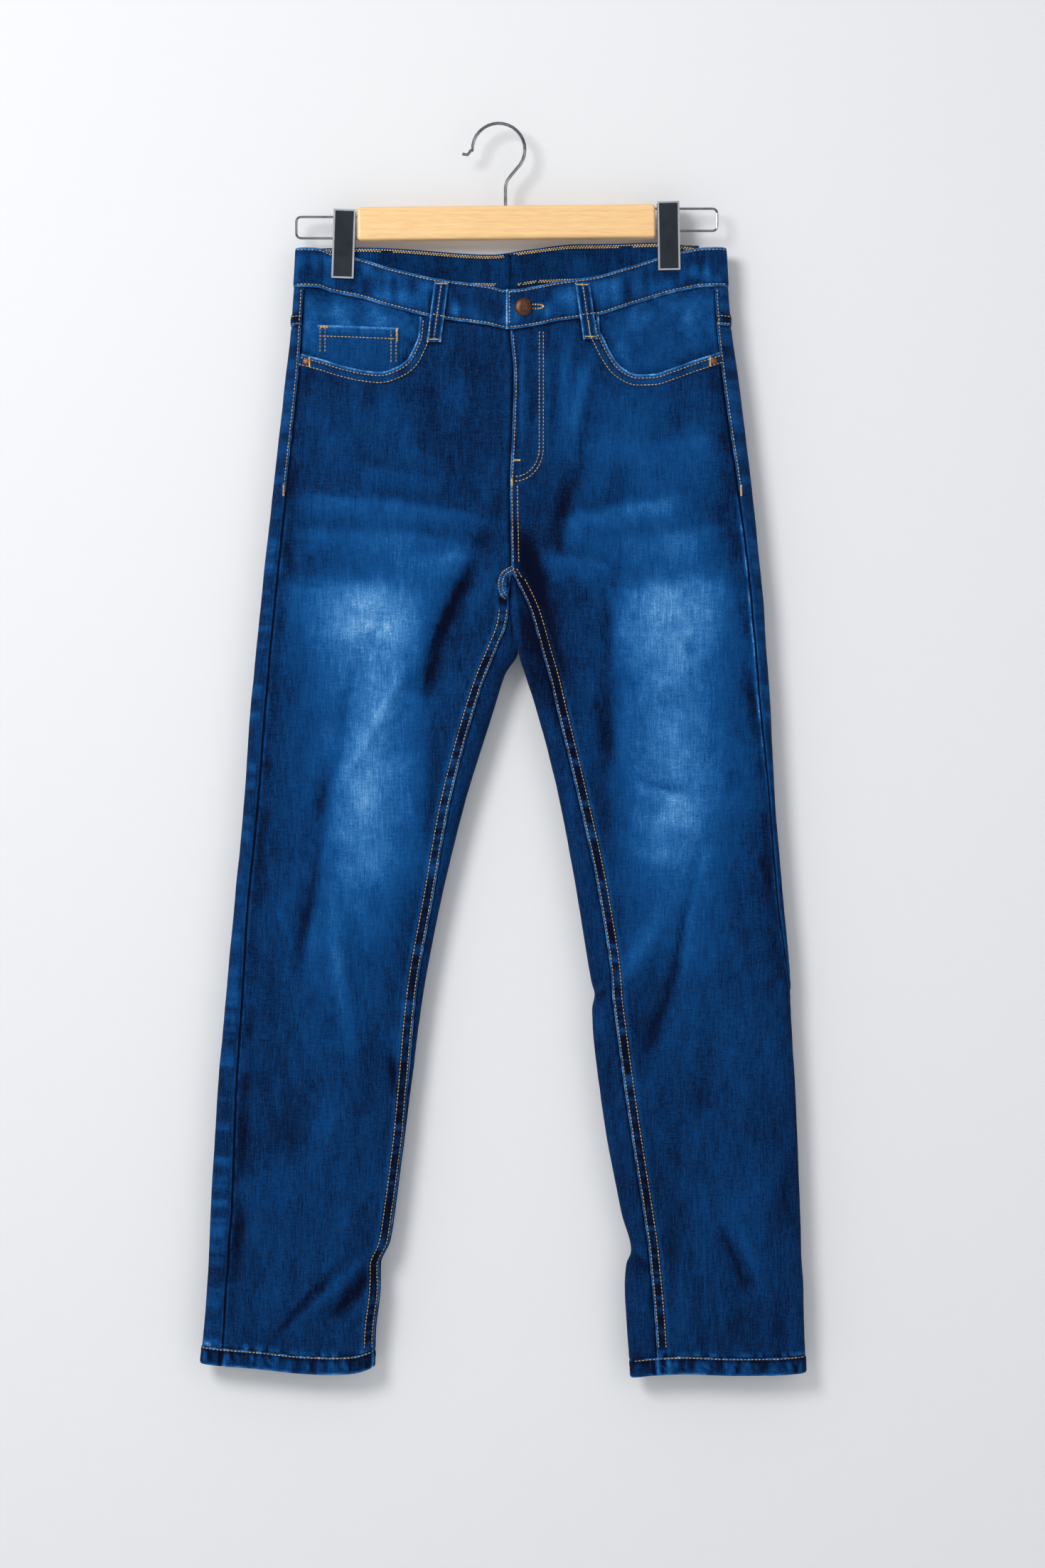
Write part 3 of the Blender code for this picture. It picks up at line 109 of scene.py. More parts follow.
# Waistband and hem edges: X and height
bandBottomFront = ((-187, -150), (-168, -150), (-153, -154.6), (-129, -159.5), (-97, -171),
                     (-57, -181.4), (-11, -188), (11, -192), (31, -189.3), (53, -184.7),
                     (91, -178.8), (116, -170.3), (144, -159.8), (167, -153.3), (190, -150),
                     (210, -150))
bandBottomBack = ((-160, -150), (-100, -149), (-7, -153), (26, -150), (75, -146), (143, -146),
                    (182, -150))
bandTopBack = ((-175, -113.8), (-104, -112.7), (-7, -117.9), (26, -113.5), (75, -108.5),
                 (143, -108.4), (192, -113.8))
hemBottom = {
    "left": ((-276, -1139.4), (-257, -1141.4), (-222, -1144), (-182, -1148.2), (-155, -1149.5),
             (-135, -1148.9), (-114, -1143.2)),
    "right": ((121, -1152.8), (144, -1150.2), (171, -1148.9), (217, -1150.2), (250, -1150.2),
              (284, -1148.2)),
}

# Heights of the panel rows at the side, half way across the front and half way across the back
topRows = (
    (-150, -192, -153),
    (-167, -206, -187),
    (-186, -221, -221),
    (-206, -238, -238),
    (-228, -255, -255),
    (-254, -274, -274),
)
lowerRows = (-290, -315, -340, -365, -390, -412.0, -415.0, -437, -461, -479, -486.0, -505,
              -540, -575, -610, -645, -680, -715, -752, -789, -801, -814, -850, -893, -930, -966,
              -1001, -1028, -1037, -1049, -1068, -1092, -1110)

# The large folds: start, end, sideways bow, half width and height
bigFoldsFront = (
    (-9, -371, -68, -528, 6, 15, -5.0), (2, -385, -38, -505, 4, 13, 2.6),
    (-102, -447, -188, -780, -10, 17, -3.4), (-80, -470, -150, -640, -6, 20, 2.6),
    (-153, -719, -186, -900, 4, 20, 2.6), (-118, -700, -170, -850, 5, 20, -2.0),
    (-145, -1051, -203, -1110, 3, 12, 2.8), (-112, -1040, -158, -1106, 2, 12, -2.8),
    (-235, -992, -248, -1068, 0, 16, -2.0), (92, -402, 100, -638, 6, 24, -4.4),
    (30, -372, 44, -470, 4, 15, -4.8), (86, -208, 60, -322, 3, 16, 2.6),
    (66, -314, 54, -388, 0, 15, -2.6), (124, -602, 184, -613, 3, 16, -2.4),
    (187, -654, 132, -856, -6, 18, -3.2), (138, -737, 111, -790, 0, 16, 2.8),
    (202, -1012, 232, -1077, 0, 18, -1.8),
)
bigFoldsBack = (
    (-50, -414, -150, -462, 8, 16, -4.0), (76, -414, 175, -464, -8, 16, -4.0),
    (-70, -500, -170, -580, 6, 20, 3.0), (96, -500, 190, -586, -6, 20, 3.0),
    (-100, -640, -200, -690, 6, 18, -3.2), (120, -650, 220, -700, -6, 18, -3.2),
    (-120, -760, -200, -905, 6, 20, -2.6), (140, -770, 225, -900, -6, 20, -2.6),
    (-140, -1020, -215, -1080, 3, 16, -2.4), (165, -1010, 240, -1070, -3, 16, -2.4),
)

# The fine creases on the front, placed one by one from the photograph, in the same columns
creasesFront = (
    (9.0, -416.5, 1.5, -421.0, 0, 2.0, 2.2), (2.0, -419.5, 0.5, -431.0, -1, 2.0, 2.4),
    (0.0, -429.5, 6.5, -435.5, 0, 2.0, 2.0), (5.5, -422.0, 5.0, -432.0, 0, 2.4, -1.6),
    (-7.5, -366.1, -58.6, -477.5, 3, 5, -2.6), (-58.6, -461.1, -66.4, -529.9, 0, 7, -1.6),
    (3.0, -385.8, -40.2, -477.5, 2, 8, 1.3), (-25.8, -374.7, -67.7, -464.4, 0, 9, 1.0),
    (-102.4, -447.4, -131.3, -501.1, 0, 4, -1.0), (-130.0, -497.1, -154.2, -587.5, -2, 5, -1.5),
    (-150.3, -573.8, -181.0, -704.8, -3, 7, -2.3), (-177.8, -687.1, -188.2, -782.1, 0, 6, -1.8),
    (-82.8, -495.2, -113.6, -552.8, 0, 5, 1.4), (-112.3, -547.6, -146.3, -610.5, 0, 6, 1.5),
    (-159.4, -608.5, -173.8, -729.7, -2, 8, 1.3), (-166.0, -716.6, -173.8, -788.6, 0, 6, 0.9),
    (-152.9, -711.3, -141.1, -838.4, 0, 7, 0.9), (-131.9, -703.5, -102.4, -818.1, 0, 6, 0.6),
    (-145.0, -729.7, -156.8, -827.9, 0, 5, 0.6), (-136.5, -741.5, -133.2, -837.1, 0, 6, -0.6),
    (-102.4, -847.6, -92.6, -906.5, 0, 7, -1.3), (-92.6, -841.0, -100.5, -893.4, 0, 5, 0.7),
    (-142.4, -1049.3, -204.6, -1111.5, 2, 3.5, -2.0), (-108.3, -1041.5, -155.5, -1098.4, 3, 4, -2.6),
    (-121.4, -1036.2, -179.1, -1097.8, 2, 5, 1.4), (-109.6, -1063.7, -142.4, -1108.3, 0, 5, 0.9),
    (-234.1, -990.4, -248.5, -1070.3, 0, 8, -1.8), (-228.9, -906.5, -239.3, -985.1, 0, 9, -0.8),
    (-220.3, -958.9, -228.9, -1037.5, 0, 8, 0.8), (-73.0, -238.4, -64.5, -317.0, 0, 10, -0.9),
    (-46.8, -225.3, -32.4, -284.3, 0, 12, 0.8), (-92.6, -310.5, -76.2, -356.3, 0, 12, -0.6),
    (-30.4, -251.5, -27.1, -330.1, 0, 10, -0.6), (-151.6, -251.5, -156.8, -336.7, 0, 12, 0.7),
    (-128.6, -271.2, -124.1, -343.2, 0, 12, -0.6), (6.9, -336.7, -7.5, -372.7, 0, 6, -1.4),
    (-7.5, -277.7, -4.8, -356.3, 0, 8, 0.6), (-40.2, -382.5, -52.0, -421.8, 0, 7, 0.7),
    (-92.6, -474.2, -76.2, -513.5, 0, 8, -0.7), (-58.6, -546.3, -62.5, -657.6, 0, 10, -1.1),
    (-73.0, -539.7, -82.8, -657.6, 0, 12, 0.7), (-73.0, -690.4, -92.6, -814.8, 0, 10, -0.8),
    (-118.8, -821.4, -128.6, -932.7, 0, 14, -0.8), (-151.6, -867.2, -161.4, -985.1, 0, 14, 0.7),
    (-184.3, -867.2, -196.1, -972.0, 0, 14, -0.8), (-128.6, -958.9, -145.0, -1037.5, 0, 10, 0.8),
    (-171.2, -991.7, -190.9, -1063.7, 0, 12, -0.7), (-197.4, -1044.1, -223.6, -1116.1, 0, 10, 0.7),
    (81.6, -215.5, 65.2, -309.2, -2, 4.5, 1.6), (83.6, -238.4, 68.5, -311.8, 0, 3.5, -2.0),
    (64.6, -324.9, 51.5, -394.3, 0, 6, -2.2), (72.4, -336.7, 64.6, -402.2, 0, 8, 1.2),
    (54.8, -199.8, 52.1, -277.7, 0, 4, -0.9), (48.9, -197.8, 48.2, -271.2, 0, 4, 0.6),
    (61.3, -197.8, 58.0, -251.5, 0, 4, 0.7), (26.6, -212.2, 25.9, -277.7, 0, 3, -0.8),
    (22.0, -212.2, 21.4, -303.9, 0, 3, 0.9), (31.2, -205.7, 31.8, -303.9, 0, 4, 0.6),
    (36.4, -212.2, 36.4, -310.5, 0, 2.5, -0.5), (179.2, -251.5, 126.2, -315.7, 0, 14, -1.6),
    (126.2, -310.5, 96.0, -366.1, 0, 12, -1.3), (184.4, -271.2, 189.0, -343.2, 0, 11, 1.2),
    (133.4, -271.2, 130.1, -343.2, 0, 12, 0.8), (103.9, -277.7, 97.3, -336.7, 0, 9, 0.8),
    (203.4, -241.7, 212.0, -317.0, 0, 6, -1.0), (195.6, -336.7, 215.2, -408.7, 0, 12, -0.9),
    (166.1, -369.4, 156.3, -421.8, 0, 14, 0.6), (22.7, -370.7, 43.6, -436.2, -2, 6, -2.4),
    (41.0, -431.6, 64.6, -529.9, 0, 7, -1.5), (64.6, -356.3, 72.4, -408.7, 0, 8, 0.7),
    (13.5, -420.5, 19.4, -486.0, 0, 3, 1.8), (9.6, -423.1, 14.8, -482.1, 0, 2.2, -2.0),
    (101.3, -408.7, 98.6, -510.2, 0, 6, -1.8), (98.6, -500.4, 100.6, -605.2, 0, 10, -2.0),
    (92.7, -408.7, 89.5, -474.2, 0, 7, 0.9), (109.1, -408.7, 113.1, -513.5, 0, 8, 1.0),
    (117.0, -507.0, 119.6, -605.2, 0, 12, 1.0), (81.6, -474.2, 85.5, -579.0, 0, 9, 0.8),
    (102.6, -598.7, 107.8, -690.4, 0, 12, -1.2), (122.9, -601.3, 184.4, -613.7, -3, 3.2, -1.3),
    (125.5, -607.8, 179.2, -622.2, -3, 6, 0.8), (213.9, -592.1, 211.3, -620.9, 0, 5, -1.5),
    (202.1, -579.0, 200.8, -631.4, 0, 8, 0.7), (225.7, -507.0, 240.1, -546.3, 0, 8, -1.4),
    (228.3, -552.8, 236.2, -644.5, 0, 10, 0.8), (244.7, -657.6, 251.3, -755.9, 0, 10, -0.8),
    (187.7, -651.1, 172.7, -713.3, 0, 4, -1.7), (173.3, -706.7, 151.0, -814.8, 2, 5, -2.4),
    (152.4, -801.7, 133.4, -862.0, 0, 6, -1.8), (179.9, -711.3, 167.4, -801.7, 0, 5, 1.6),
    (193.6, -657.6, 183.8, -711.3, 0, 5, 1.1), (157.6, -716.6, 111.7, -798.4, 2, 7, 1.8),
    (139.9, -736.2, 109.1, -789.9, 0, 5, 1.0), (170.7, -801.7, 149.7, -867.2, 0, 7, 0.9),
    (88.2, -808.9, 100.0, -793.9, 0, 3, -1.8), (90.8, -799.1, 101.3, -785.3, 0, 3.5, 1.0),
    (89.5, -818.1, 97.3, -834.5, 0, 5, 0.8), (259.1, -820.1, 240.8, -870.5, 0, 9, 0.9),
    (225.1, -801.7, 215.2, -906.5, 0, 14, 0.7), (195.6, -814.8, 185.8, -906.5, 0, 14, -0.8),
    (162.8, -893.4, 202.1, -906.5, 4, 16, -0.9), (201.5, -1008.0, 233.6, -1078.1, 0, 6, -1.4),
    (210.0, -1001.5, 242.7, -1071.6, 0, 8, 0.8), (120.9, -1036.9, 143.2, -1057.2, 0, 4, -1.3),
    (119.6, -1029.7, 139.9, -1044.1, 0, 4, 0.8), (149.7, -958.9, 159.6, -1063.7, 0, 14, -0.7),
    (261.1, -932.7, 264.4, -1037.5, 0, 12, -0.9), (182.5, -958.9, 195.6, -1037.5, 0, 14, 0.6),
    (234.9, -932.7, 241.4, -1011.3, 0, 14, 0.5), (169.4, -1063.7, 162.8, -1122.7, 0, 10, 0.8),
    (251.3, -1076.8, 254.5, -1129.2, 0, 9, -0.7), (215.2, -1083.4, 212.0, -1129.2, 0, 10, -0.6),
    (-194.1, -277.7, -182.4, -279.7, 0, 2.2, 0.9), (-194.8, -287.5, -183.0, -289.5, 0, 2, -0.8),
    (-196.1, -298.7, -184.3, -300.0, 0, 2.4, 0.9), (-196.1, -307.9, -185.0, -310.5, 0, 2, -0.9),
    (-197.4, -318.3, -185.6, -319.6, 0, 2.2, 0.8), (-198.7, -327.5, -186.9, -330.1, 0, 2, -0.7),
    (208.7, -277.7, 221.8, -275.1, 0, 2.4, 0.7), (211.3, -292.1, 224.4, -289.5, 0, 2.2, -0.7),
    (213.9, -307.2, 226.4, -304.6, 0, 2.4, 0.8), (216.5, -322.3, 228.3, -319.6, 0, 2.2, -0.7),
    (-194.8, -436.2, -200.0, -436.2, 0, 3, 0.6),
)
pocketMouth = {
    "left": ((-184, -211.5), (-159, -218.8), (-143, -224), (-123, -228.6), (-108, -230.2),
             (-93, -225.7), (-84, -219.7), (-77.6, -209), (-73, -197), (-71, -168)),
    "right": ((204, -210.5), (177, -219.8), (157, -227.3), (142, -231.9), (127, -232.5),
              (113.4, -226.6), (103, -213.7), (96.7, -201), (92.7, -192.6), (91, -165)),
}

# Creases on the unseen back, of the same kind and as uneven
creasesBack = (
    (-40, -395, -128, -446, 8, 6, -1.8), (-30, -425, -120, -482, 8, 7, 1.2),
    (60, -398, 150, -448, -8, 6, -1.6), (52, -428, 142, -486, -8, 7, 1.1),
    (-60, -520, -150, -585, 5, 7, -1.3), (110, -512, 196, -574, -5, 7, -1.4),
    (-90, -600, -185, -640, 6, 6, -1.6), (-84, -622, -180, -668, 6, 7, 1.1),
    (112, -606, 212, -648, -6, 6, -1.7), (118, -632, 216, -676, -6, 7, 1.2),
    (-98, -655, -168, -690, 4, 5, -1.2), (128, -668, 206, -700, -4, 5, -1.1),
    (-160, -700, -196, -860, 3, 7, 1.1), (-135, -715, -160, -905, 2, 8, -1.0),
    (196, -700, 238, -868, -3, 7, 1.1), (168, -722, 186, -900, -2, 8, -1.0),
    (-140, -1000, -214, -1062, 3, 5, -1.7), (-130, -1022, -200, -1090, 3, 6, 1.2),
    (166, -1008, 244, -1072, -3, 5, -1.6), (160, -1034, 232, -1100, -3, 6, 1.1),
    (-176, -1060, -240, -1112, 2, 5, -1.0), (-60, -240, -70, -330, 0, 12, 0.7),
    (-140, -250, -150, -340, 0, 12, -0.7), (84, -240, 92, -330, 0, 12, 0.7),
    (168, -250, 180, -340, 0, 12, -0.7), (-210, -480, -222, -620, 0, 9, -0.9),
    (240, -480, 248, -620, 0, 9, -0.9), (-8, -300, -30, -380, 0, 8, -0.8),
    (30, -300, 50, -380, 0, 8, -0.8), (-190, -860, -214, -990, 0, 10, 0.8),
    (226, -860, 252, -990, 0, 10, 0.8), (-120, -860, -130, -960, 0, 10, -0.7),
    (150, -860, 158, -960, 0, 10, -0.7),
)

# The skin that all the cloth lies on, worked out for whole arrays of points at once
skin = {
    "apexZ": -486.0, "junctionZ": -412.0, "stripTopZ": -415.0, "hipToLegZ": -360.0,
    "legSplitX": 12.1, "clipX": (-142.5, 156.5), "pinchHalf": 2.8, "pinchFlat": 12.0,
    "pinchReach": 28.0, "pinchFromZ": -142.0, "pinchToZ": -192.0, "slopeStep": 0.5,
    "bandHeight": 36.2, "bandStep": 0.7, "hemHeight": 16.3, "hemStep": 0.5, "seamGap": 0.3,
    "edgeGap": 0.8, "backSpread": 165.0, "inseamShift": 4.9, "hemTopZ": -1125.0,
    "meetFromZ": -506.0, "meetToZ": -385.0, "meetStep": 0.5,
}
inwardOf = {"left": 1.0, "right": -1.0}

def readLine(points, at):
    points = sorted(points)
    xs = np.array([point[0] for point in points], float)
    ys = np.array([point[1] for point in points], float)
    slopes = np.diff(ys) / np.diff(xs)
    before, after = slopes[:-1], slopes[1:]
    total = np.where(before * after > 0.0, before + after, 1.0)
    shared = np.where(before * after > 0.0, 2.0 * before * after / total, 0.0)
    knots = np.concatenate((slopes[:1], shared, slopes[-1:]))
    at = np.clip(np.asarray(at, float), xs[0], xs[-1])
    i = np.clip(np.searchsorted(xs, at, side="right") - 1, 0, len(xs) - 2)
    span = xs[i + 1] - xs[i]
    t = (at - xs[i]) / span
    drop = ys[i] - ys[i + 1]
    cubic = 2.0 * drop + span * (knots[i] + knots[i + 1])
    square = -3.0 * drop - span * (2.0 * knots[i] + knots[i + 1])
    return ys[i] + t * (span * knots[i] + t * (square + t * cubic))

legLines = {
    (leg, name): [(row[0], row[n + 1]) for row in rows if row[n + 1] is not None]
    for leg, rows in legRows.items() for n, name in enumerate(legColumns[1:])
}
depthLines = {name: [(row[0], row[n + 1]) for row in depthRows]
              for n, name in enumerate(depthColumns[1:])}

def legAt(leg, name, z):
    return readLine(legLines[leg, name], z)

def depthAt(name, z):
    return readLine(depthLines[name], z)

def smoothStep(low, high, value):
    share = np.clip((value - low) / (high - low), 0.0, 1.0)
    return share * share * (3.0 - 2.0 * share)

def hump(value, middle, width):
    return np.exp(-((value - middle) / width) ** 2)

def pinchAt(x, z):
    away = np.minimum(abs(x - skin["clipX"][0]), abs(x - skin["clipX"][1]))
    nearest = np.exp(-((np.maximum(away - skin["pinchFlat"], 0.0) / skin["pinchReach"]) ** 2))
    return nearest * smoothStep(skin["pinchToZ"], skin["pinchFromZ"], z)

# How a fold rises and falls along its line, and how far to its side each point is
def besideFold(x0, z0, x1, z1, x, z):
    alongX, alongZ = x1 - x0, z1 - z0
    length = math.hypot(alongX, alongZ)
    t = ((x - x0) * alongX + (z - z0) * alongZ) / length ** 2
    arch = np.where((t > 0.0) & (t < 1.0), 4.0 * t * (1.0 - t), 0.0)
    return arch, ((z - z0) * alongX - (x - x0) * alongZ) / length

def foldSum(folds, x, z, taper=0.5):
    total = np.zeros(np.shape(x))
    for *ends, bow, width, height in folds:
        arch, side = besideFold(*ends, x, z)
        total += height * arch ** taper * hump(side, bow * arch, width)
    return total

def largeFolds(isFront, x, z):
    return np.where(isFront, foldSum(bigFoldsFront, x, z), foldSum(bigFoldsBack, x, z))

def skinParts(isLeft, isFront, x, z, grow):
    inward = np.where(isLeft, 1.0, -1.0)
    left, right = legAt("left", "outer", z), legAt("right", "outer", z)
    low = np.minimum(z, skin["apexZ"])
    outer = np.where(isLeft, left, right) - inward * grow
    inner = np.where(isLeft, legAt("left", "inner", low), legAt("right", "inner", low)) + inward * grow
    climb = np.maximum(z - skin["apexZ"], 0.0)
    past = (inner - x) * inward
    past = np.where(climb > 0.0, np.hypot(past, climb), past)
    share = np.minimum((x - outer) * inward, past) / depthAt("fold", z)
    hipShare = (2.0 * x - left - right) / (right - left)
    legShare = (2.0 * x - outer - inner) / (inner - outer)
    legPart = 1.0 - smoothStep(skin["apexZ"], skin["hipToLegZ"], z)
    crown = (1.0 - legPart) * np.maximum(1.0 - hipShare ** 2, 0.0)
    crown = crown + legPart * np.maximum(1.0 - legShare ** 2, 0.0)
    pinch = pinchAt(x, z)
    depth = np.where(isFront, depthAt("front", z), depthAt("back", z))
    swell = np.where(isFront, depthAt("front_crown", z), depthAt("back_crown", z))
    full = (depth + grow) * (1.0 - pinch) + (skin["pinchHalf"] + grow) * pinch
    return full + largeFolds(isFront, x, z), crown * swell * (1.0 - pinch), share

def edgeLift(share):
    return np.sqrt(1.0 - (1.0 - np.clip(share, 0.0, 1.0)) ** 2)

# Where the skin is and which way it faces, in mm
def skinAt(isLeft, isFront, x, z, grow=0.0):
    shape = np.shape(x)
    isLeft, isFront = np.broadcast_to(isLeft, shape), np.broadcast_to(isFront, shape)
    grow = np.broadcast_to(grow, shape)
    facing = np.where(isFront, -1.0, 1.0)
    full, swell, share = skinParts(isLeft, isFront, x, z, grow)
    lift = edgeLift(share)
    step = skin["slopeStep"]
    slopes = []
    for dx, dz in ((step, 0.0), (0.0, step)):
        after = skinParts(isLeft, isFront, x + dx, z + dz, grow)
        before = skinParts(isLeft, isFront, x - dx, z - dz, grow)
        rise = [(a - b) / (2.0 * step) for a, b in zip(after, before)]
        bend = np.where(share < 1.0, full * (1.0 - share) * rise[2], 0.0)
        slopes.append(lift * lift * rise[0] + lift * rise[1] + bend)
    normal = np.stack((-slopes[0], facing * lift, -slopes[1]), axis=-1)
    normal /= np.linalg.norm(normal, axis=-1, keepdims=True) + 1e-9
    point = np.stack((x, facing * (full * lift + swell), z), axis=-1)
    return point, normal

noise = {"points": 4096, "middle": 2000.0, "grid": 256, "gridMiddle": 128.0}

# A smooth seeded wobble along one length, about 1 at its highest
def wobble(at, spacing, seed):
    values = np.random.default_rng(seed).uniform(-1.0, 1.0, noise["points"])
    place = np.asarray(at, float) / spacing + noise["middle"]
    low = np.floor(place).astype(int)
    t = place - low
    t = t * t * (3.0 - 2.0 * t)
    return values[low % noise["points"]] * (1.0 - t) + values[(low + 1) % noise["points"]] * t

# The same over X and height
def mottle(x, z, spacing, seed):
    size = noise["grid"]
    table = np.random.default_rng(seed).uniform(-1.0, 1.0, (size, size))
    a, b = x / spacing + noise["gridMiddle"], z / spacing + noise["gridMiddle"]
    i, j = np.floor(a).astype(int), np.floor(b).astype(int)
    s, t = a - i, b - j
    s, t = s * s * (3.0 - 2.0 * s), t * t * (3.0 - 2.0 * t)
    i, j, k, m = i % size, j % size, (i + 1) % size, (j + 1) % size
    return ((table[i, j] * (1 - s) + table[k, j] * s) * (1 - t)
            + (table[i, m] * (1 - s) + table[k, m] * s) * t)

def arcOf(inset, fold):
    reach = np.abs(inset)
    bent = fold * np.arccos(np.clip(1.0 - reach / fold, -1.0, 1.0))
    return np.sign(inset) * np.where(reach < fold, bent, fold * math.pi / 2.0 + reach - fold)

def insetOf(arc, fold):
    reach = np.abs(arc)
    quarter = fold * math.pi / 2.0
    return np.where(reach < quarter, fold * (1.0 - np.cos(reach / fold)), fold + reach - quarter)

def fromOuter(leg, z, arc, grow=0.0):
    edge = legAt(leg, "outer", z) - inwardOf[leg] * grow
    return arc >= 0.0, edge + inwardOf[leg] * insetOf(arc, depthAt("fold", z))

rowCount = len(topRows) + len(lowerRows) + 1
rowNumber = {z: len(topRows) + n for n, z in enumerate(lowerRows)}

def hemTop(leg, x):
    return readLine(hemBottom[leg], x) + skin["hemHeight"]

def wholeRow(leg, isFront, row, x):
    if row >= rowCount - 1:
        return hemTop(leg, x) + skin["edgeGap"]
    if row >= len(topRows):
        return np.full(np.shape(x), float(lowerRows[row - len(topRows)]))
    atSide, frontMiddle, backMiddle = topRows[row]
    firstSide, firstMiddle = topRows[0][:2]
    share = (readLine(bandBottomFront, x) - firstSide) / (firstMiddle - firstSide)
    front = atSide + (frontMiddle - atSide) * share - (0.0 if row else skin["edgeGap"])
    if row == 0:
        back = readLine(bandBottomBack, x) - skin["edgeGap"]
    else:
        spread = np.maximum(1.0 - abs(x - centreBack[0][1]) / skin["backSpread"], 0.0)
        back = atSide + (backMiddle - atSide) * spread
    return np.where(isFront, front, back)

def rowHeight(leg, isFront, rows, x):
    low = np.minimum(np.floor(rows).astype(int), rowCount - 2)
    z = np.empty(np.shape(x))
    for row in np.unique(low):
        at = low == row
        part = rows[at] - row
        side = np.broadcast_to(isFront, np.shape(x))[at]
        z[at] = (1.0 - part) * wholeRow(leg, side, row, x[at]) + part * wholeRow(leg, side, row + 1, x[at])
    return z

def sideHeight(row):
    if row < len(topRows):
        return float(topRows[row][0])
    return float(lowerRows[row - len(topRows)]) if row < rowCount - 1 else skin["hemTopZ"]

# Row numbers with parts of rows between them, about this far apart, closer where the legs meet
def spreadRows(first, last, step):
    rows = []
    for row in range(first, last):
        near = skin["meetStep"] if skin["meetFromZ"] < sideHeight(row) < skin["meetToZ"] else 1.0
        parts = max(1, math.ceil(abs(sideHeight(row + 1) - sideHeight(row)) / (step * near)))
        rows += [row + part / parts for part in range(parts)]
    return np.array(rows + [last], float)

# The sides, X and heights of a grid whose X depends on its height and the other way round
def settle(leg, rows, columns, place):
    spread = np.broadcast_to(np.asarray(rows)[:, None], (len(rows), columns)).copy()
    z = np.vectorize(lambda row: sideHeight(int(row)))(spread)
    for _ in range(5):
        isFront, x = place(z)
        z = rowHeight(leg, isFront, spread, x)
    return isFront, x, z

seamNear = np.array([0.0, 0.7, 1.5, 2.5, 3.7, 5.1, 6.7, 8.5, 10.7, 13.5, 17.0])

# Arcs across a panel of this width, close together beside its two seams
def seamSpread(width, middle):
    near, edge = seamNear, seamNear[-1]
    inner = np.linspace(0.0, 1.0, middle + 2)[1:-1]
    fixed = np.concatenate((near, edge - 2.0 * edge * inner, -near[::-1]))
    share = np.concatenate((0.0 * near, inner, 1.0 + 0.0 * near))
    return fixed + share * width

def patchSum(patches, x, z):
    return sum(strength * hump(x, atX, wide) * hump(z, atZ, tall)
               for atX, atZ, wide, tall, strength in patches)

# How pale the cloth is washed, by patches and whiskers, with painted highlight and shade on the two sides of
# sharp folds
def washAndFoldShadingAt(isFront, x, z):
    front = patchSum(wearAndShading["frontPatches"], x, z)
    whiskerRag, foldRag = 2.5 * mottle(x, z, 7.0, 11), 0.8 * mottle(x, z, 9.0, 12)
    for *ends, bow, wide, strength in wearAndShading["whiskers"]:
        arch, side = besideFold(*ends, x, z)
        ragged = bow * arch - side + whiskerRag
        reach = np.where(ragged > 0.0, wide, 0.3 * wide)
        front = front + strength * np.sqrt(arch) * hump(ragged, 0.0, reach)
    for *ends, bow, leftReach, rightReach, strength in wearAndShading["folds"]:
        arch, side = besideFold(*ends, x, z)
        across = side + bow * arch + foldRag
        reach = np.where(across > 0.0, rightReach, leftReach)
        front = front + strength * arch ** 1.3 * hump(across, 0.0, reach)
    back = wearAndShading["backBase"] + patchSum(wearAndShading["backPatches"], x, z)
    mottled = 1.0 + 0.16 * mottle(x, z, 16.0, 5) + 0.1 * mottle(x, z, 5.0, 6)
    return np.where(isFront, front, back) * mottled

# How fine creases taper, how much deeper than listed they are pressed, and two sizes of loose relief
creaseLook = {"taper": 1.1, "depth": 1.3, "loose": (0.22, 15.0), "fine": (0.12, 6.5)}

# Low soft relief of the cloth itself, beyond the large folds
def creaseAt(isFront, x, z):
    front, back = (foldSum(creases, x, z, creaseLook["taper"]) for creases in (creasesFront, creasesBack))
    calm = 1.0 - pinchAt(x, z)
    (looseHigh, looseWide), (fineHigh, fineWide) = creaseLook["loose"], creaseLook["fine"]
    loose = looseHigh * mottle(x, z * 0.45, looseWide, 21) + fineHigh * mottle(x, z * 0.6, fineWide, 22)
    return (creaseLook["depth"] * np.where(isFront, front, back) + loose) * calm

# A shadow painted on the cloth beside the front belt loops, which stand off it
def loopShade(x, z):
    total = np.zeros(x.shape)
    for _, isFront, topX, topZ, bottomX, bottomZ in loops["rows"]:
        if isFront:
            lean = (bottomX - topX) * (z - topZ) / (bottomZ - topZ)
            beside = np.maximum(abs(x - topX - lean) - loops["shadeFrom"], 0.0)
            within = smoothStep(bottomZ - 4.0, bottomZ, z) * (1.0 - smoothStep(topZ, topZ + 2.0, z))
            total += within * hump(beside, 0.0, loops["shadeReach"])
    return total

outerFaces = []  # every outer face, so that the sewing can be laid on the cloth

# A mesh, from lists in metres, that rides the part's one body
def addPiece(name, verts, faces, materials):
    mesh = bpy.data.meshes.new(name)
    mesh.from_pydata(verts, [], faces)
    mesh.update()
    mesh.shade_smooth()
    for material in materials:
        mesh.materials.append(material)
    piece = bpy.data.objects.new(name, mesh)
    bpy.context.collection.objects.link(piece)
    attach(piece, "root")
    return piece

# Values at a piece's points, which its material reads
def paintPoints(piece, layers):
    for label, values in layers.items():
        layer = piece.data.attributes.new(label, "FLOAT", "POINT")
        layer.data.foreach_set("value", values.astype(np.float32))
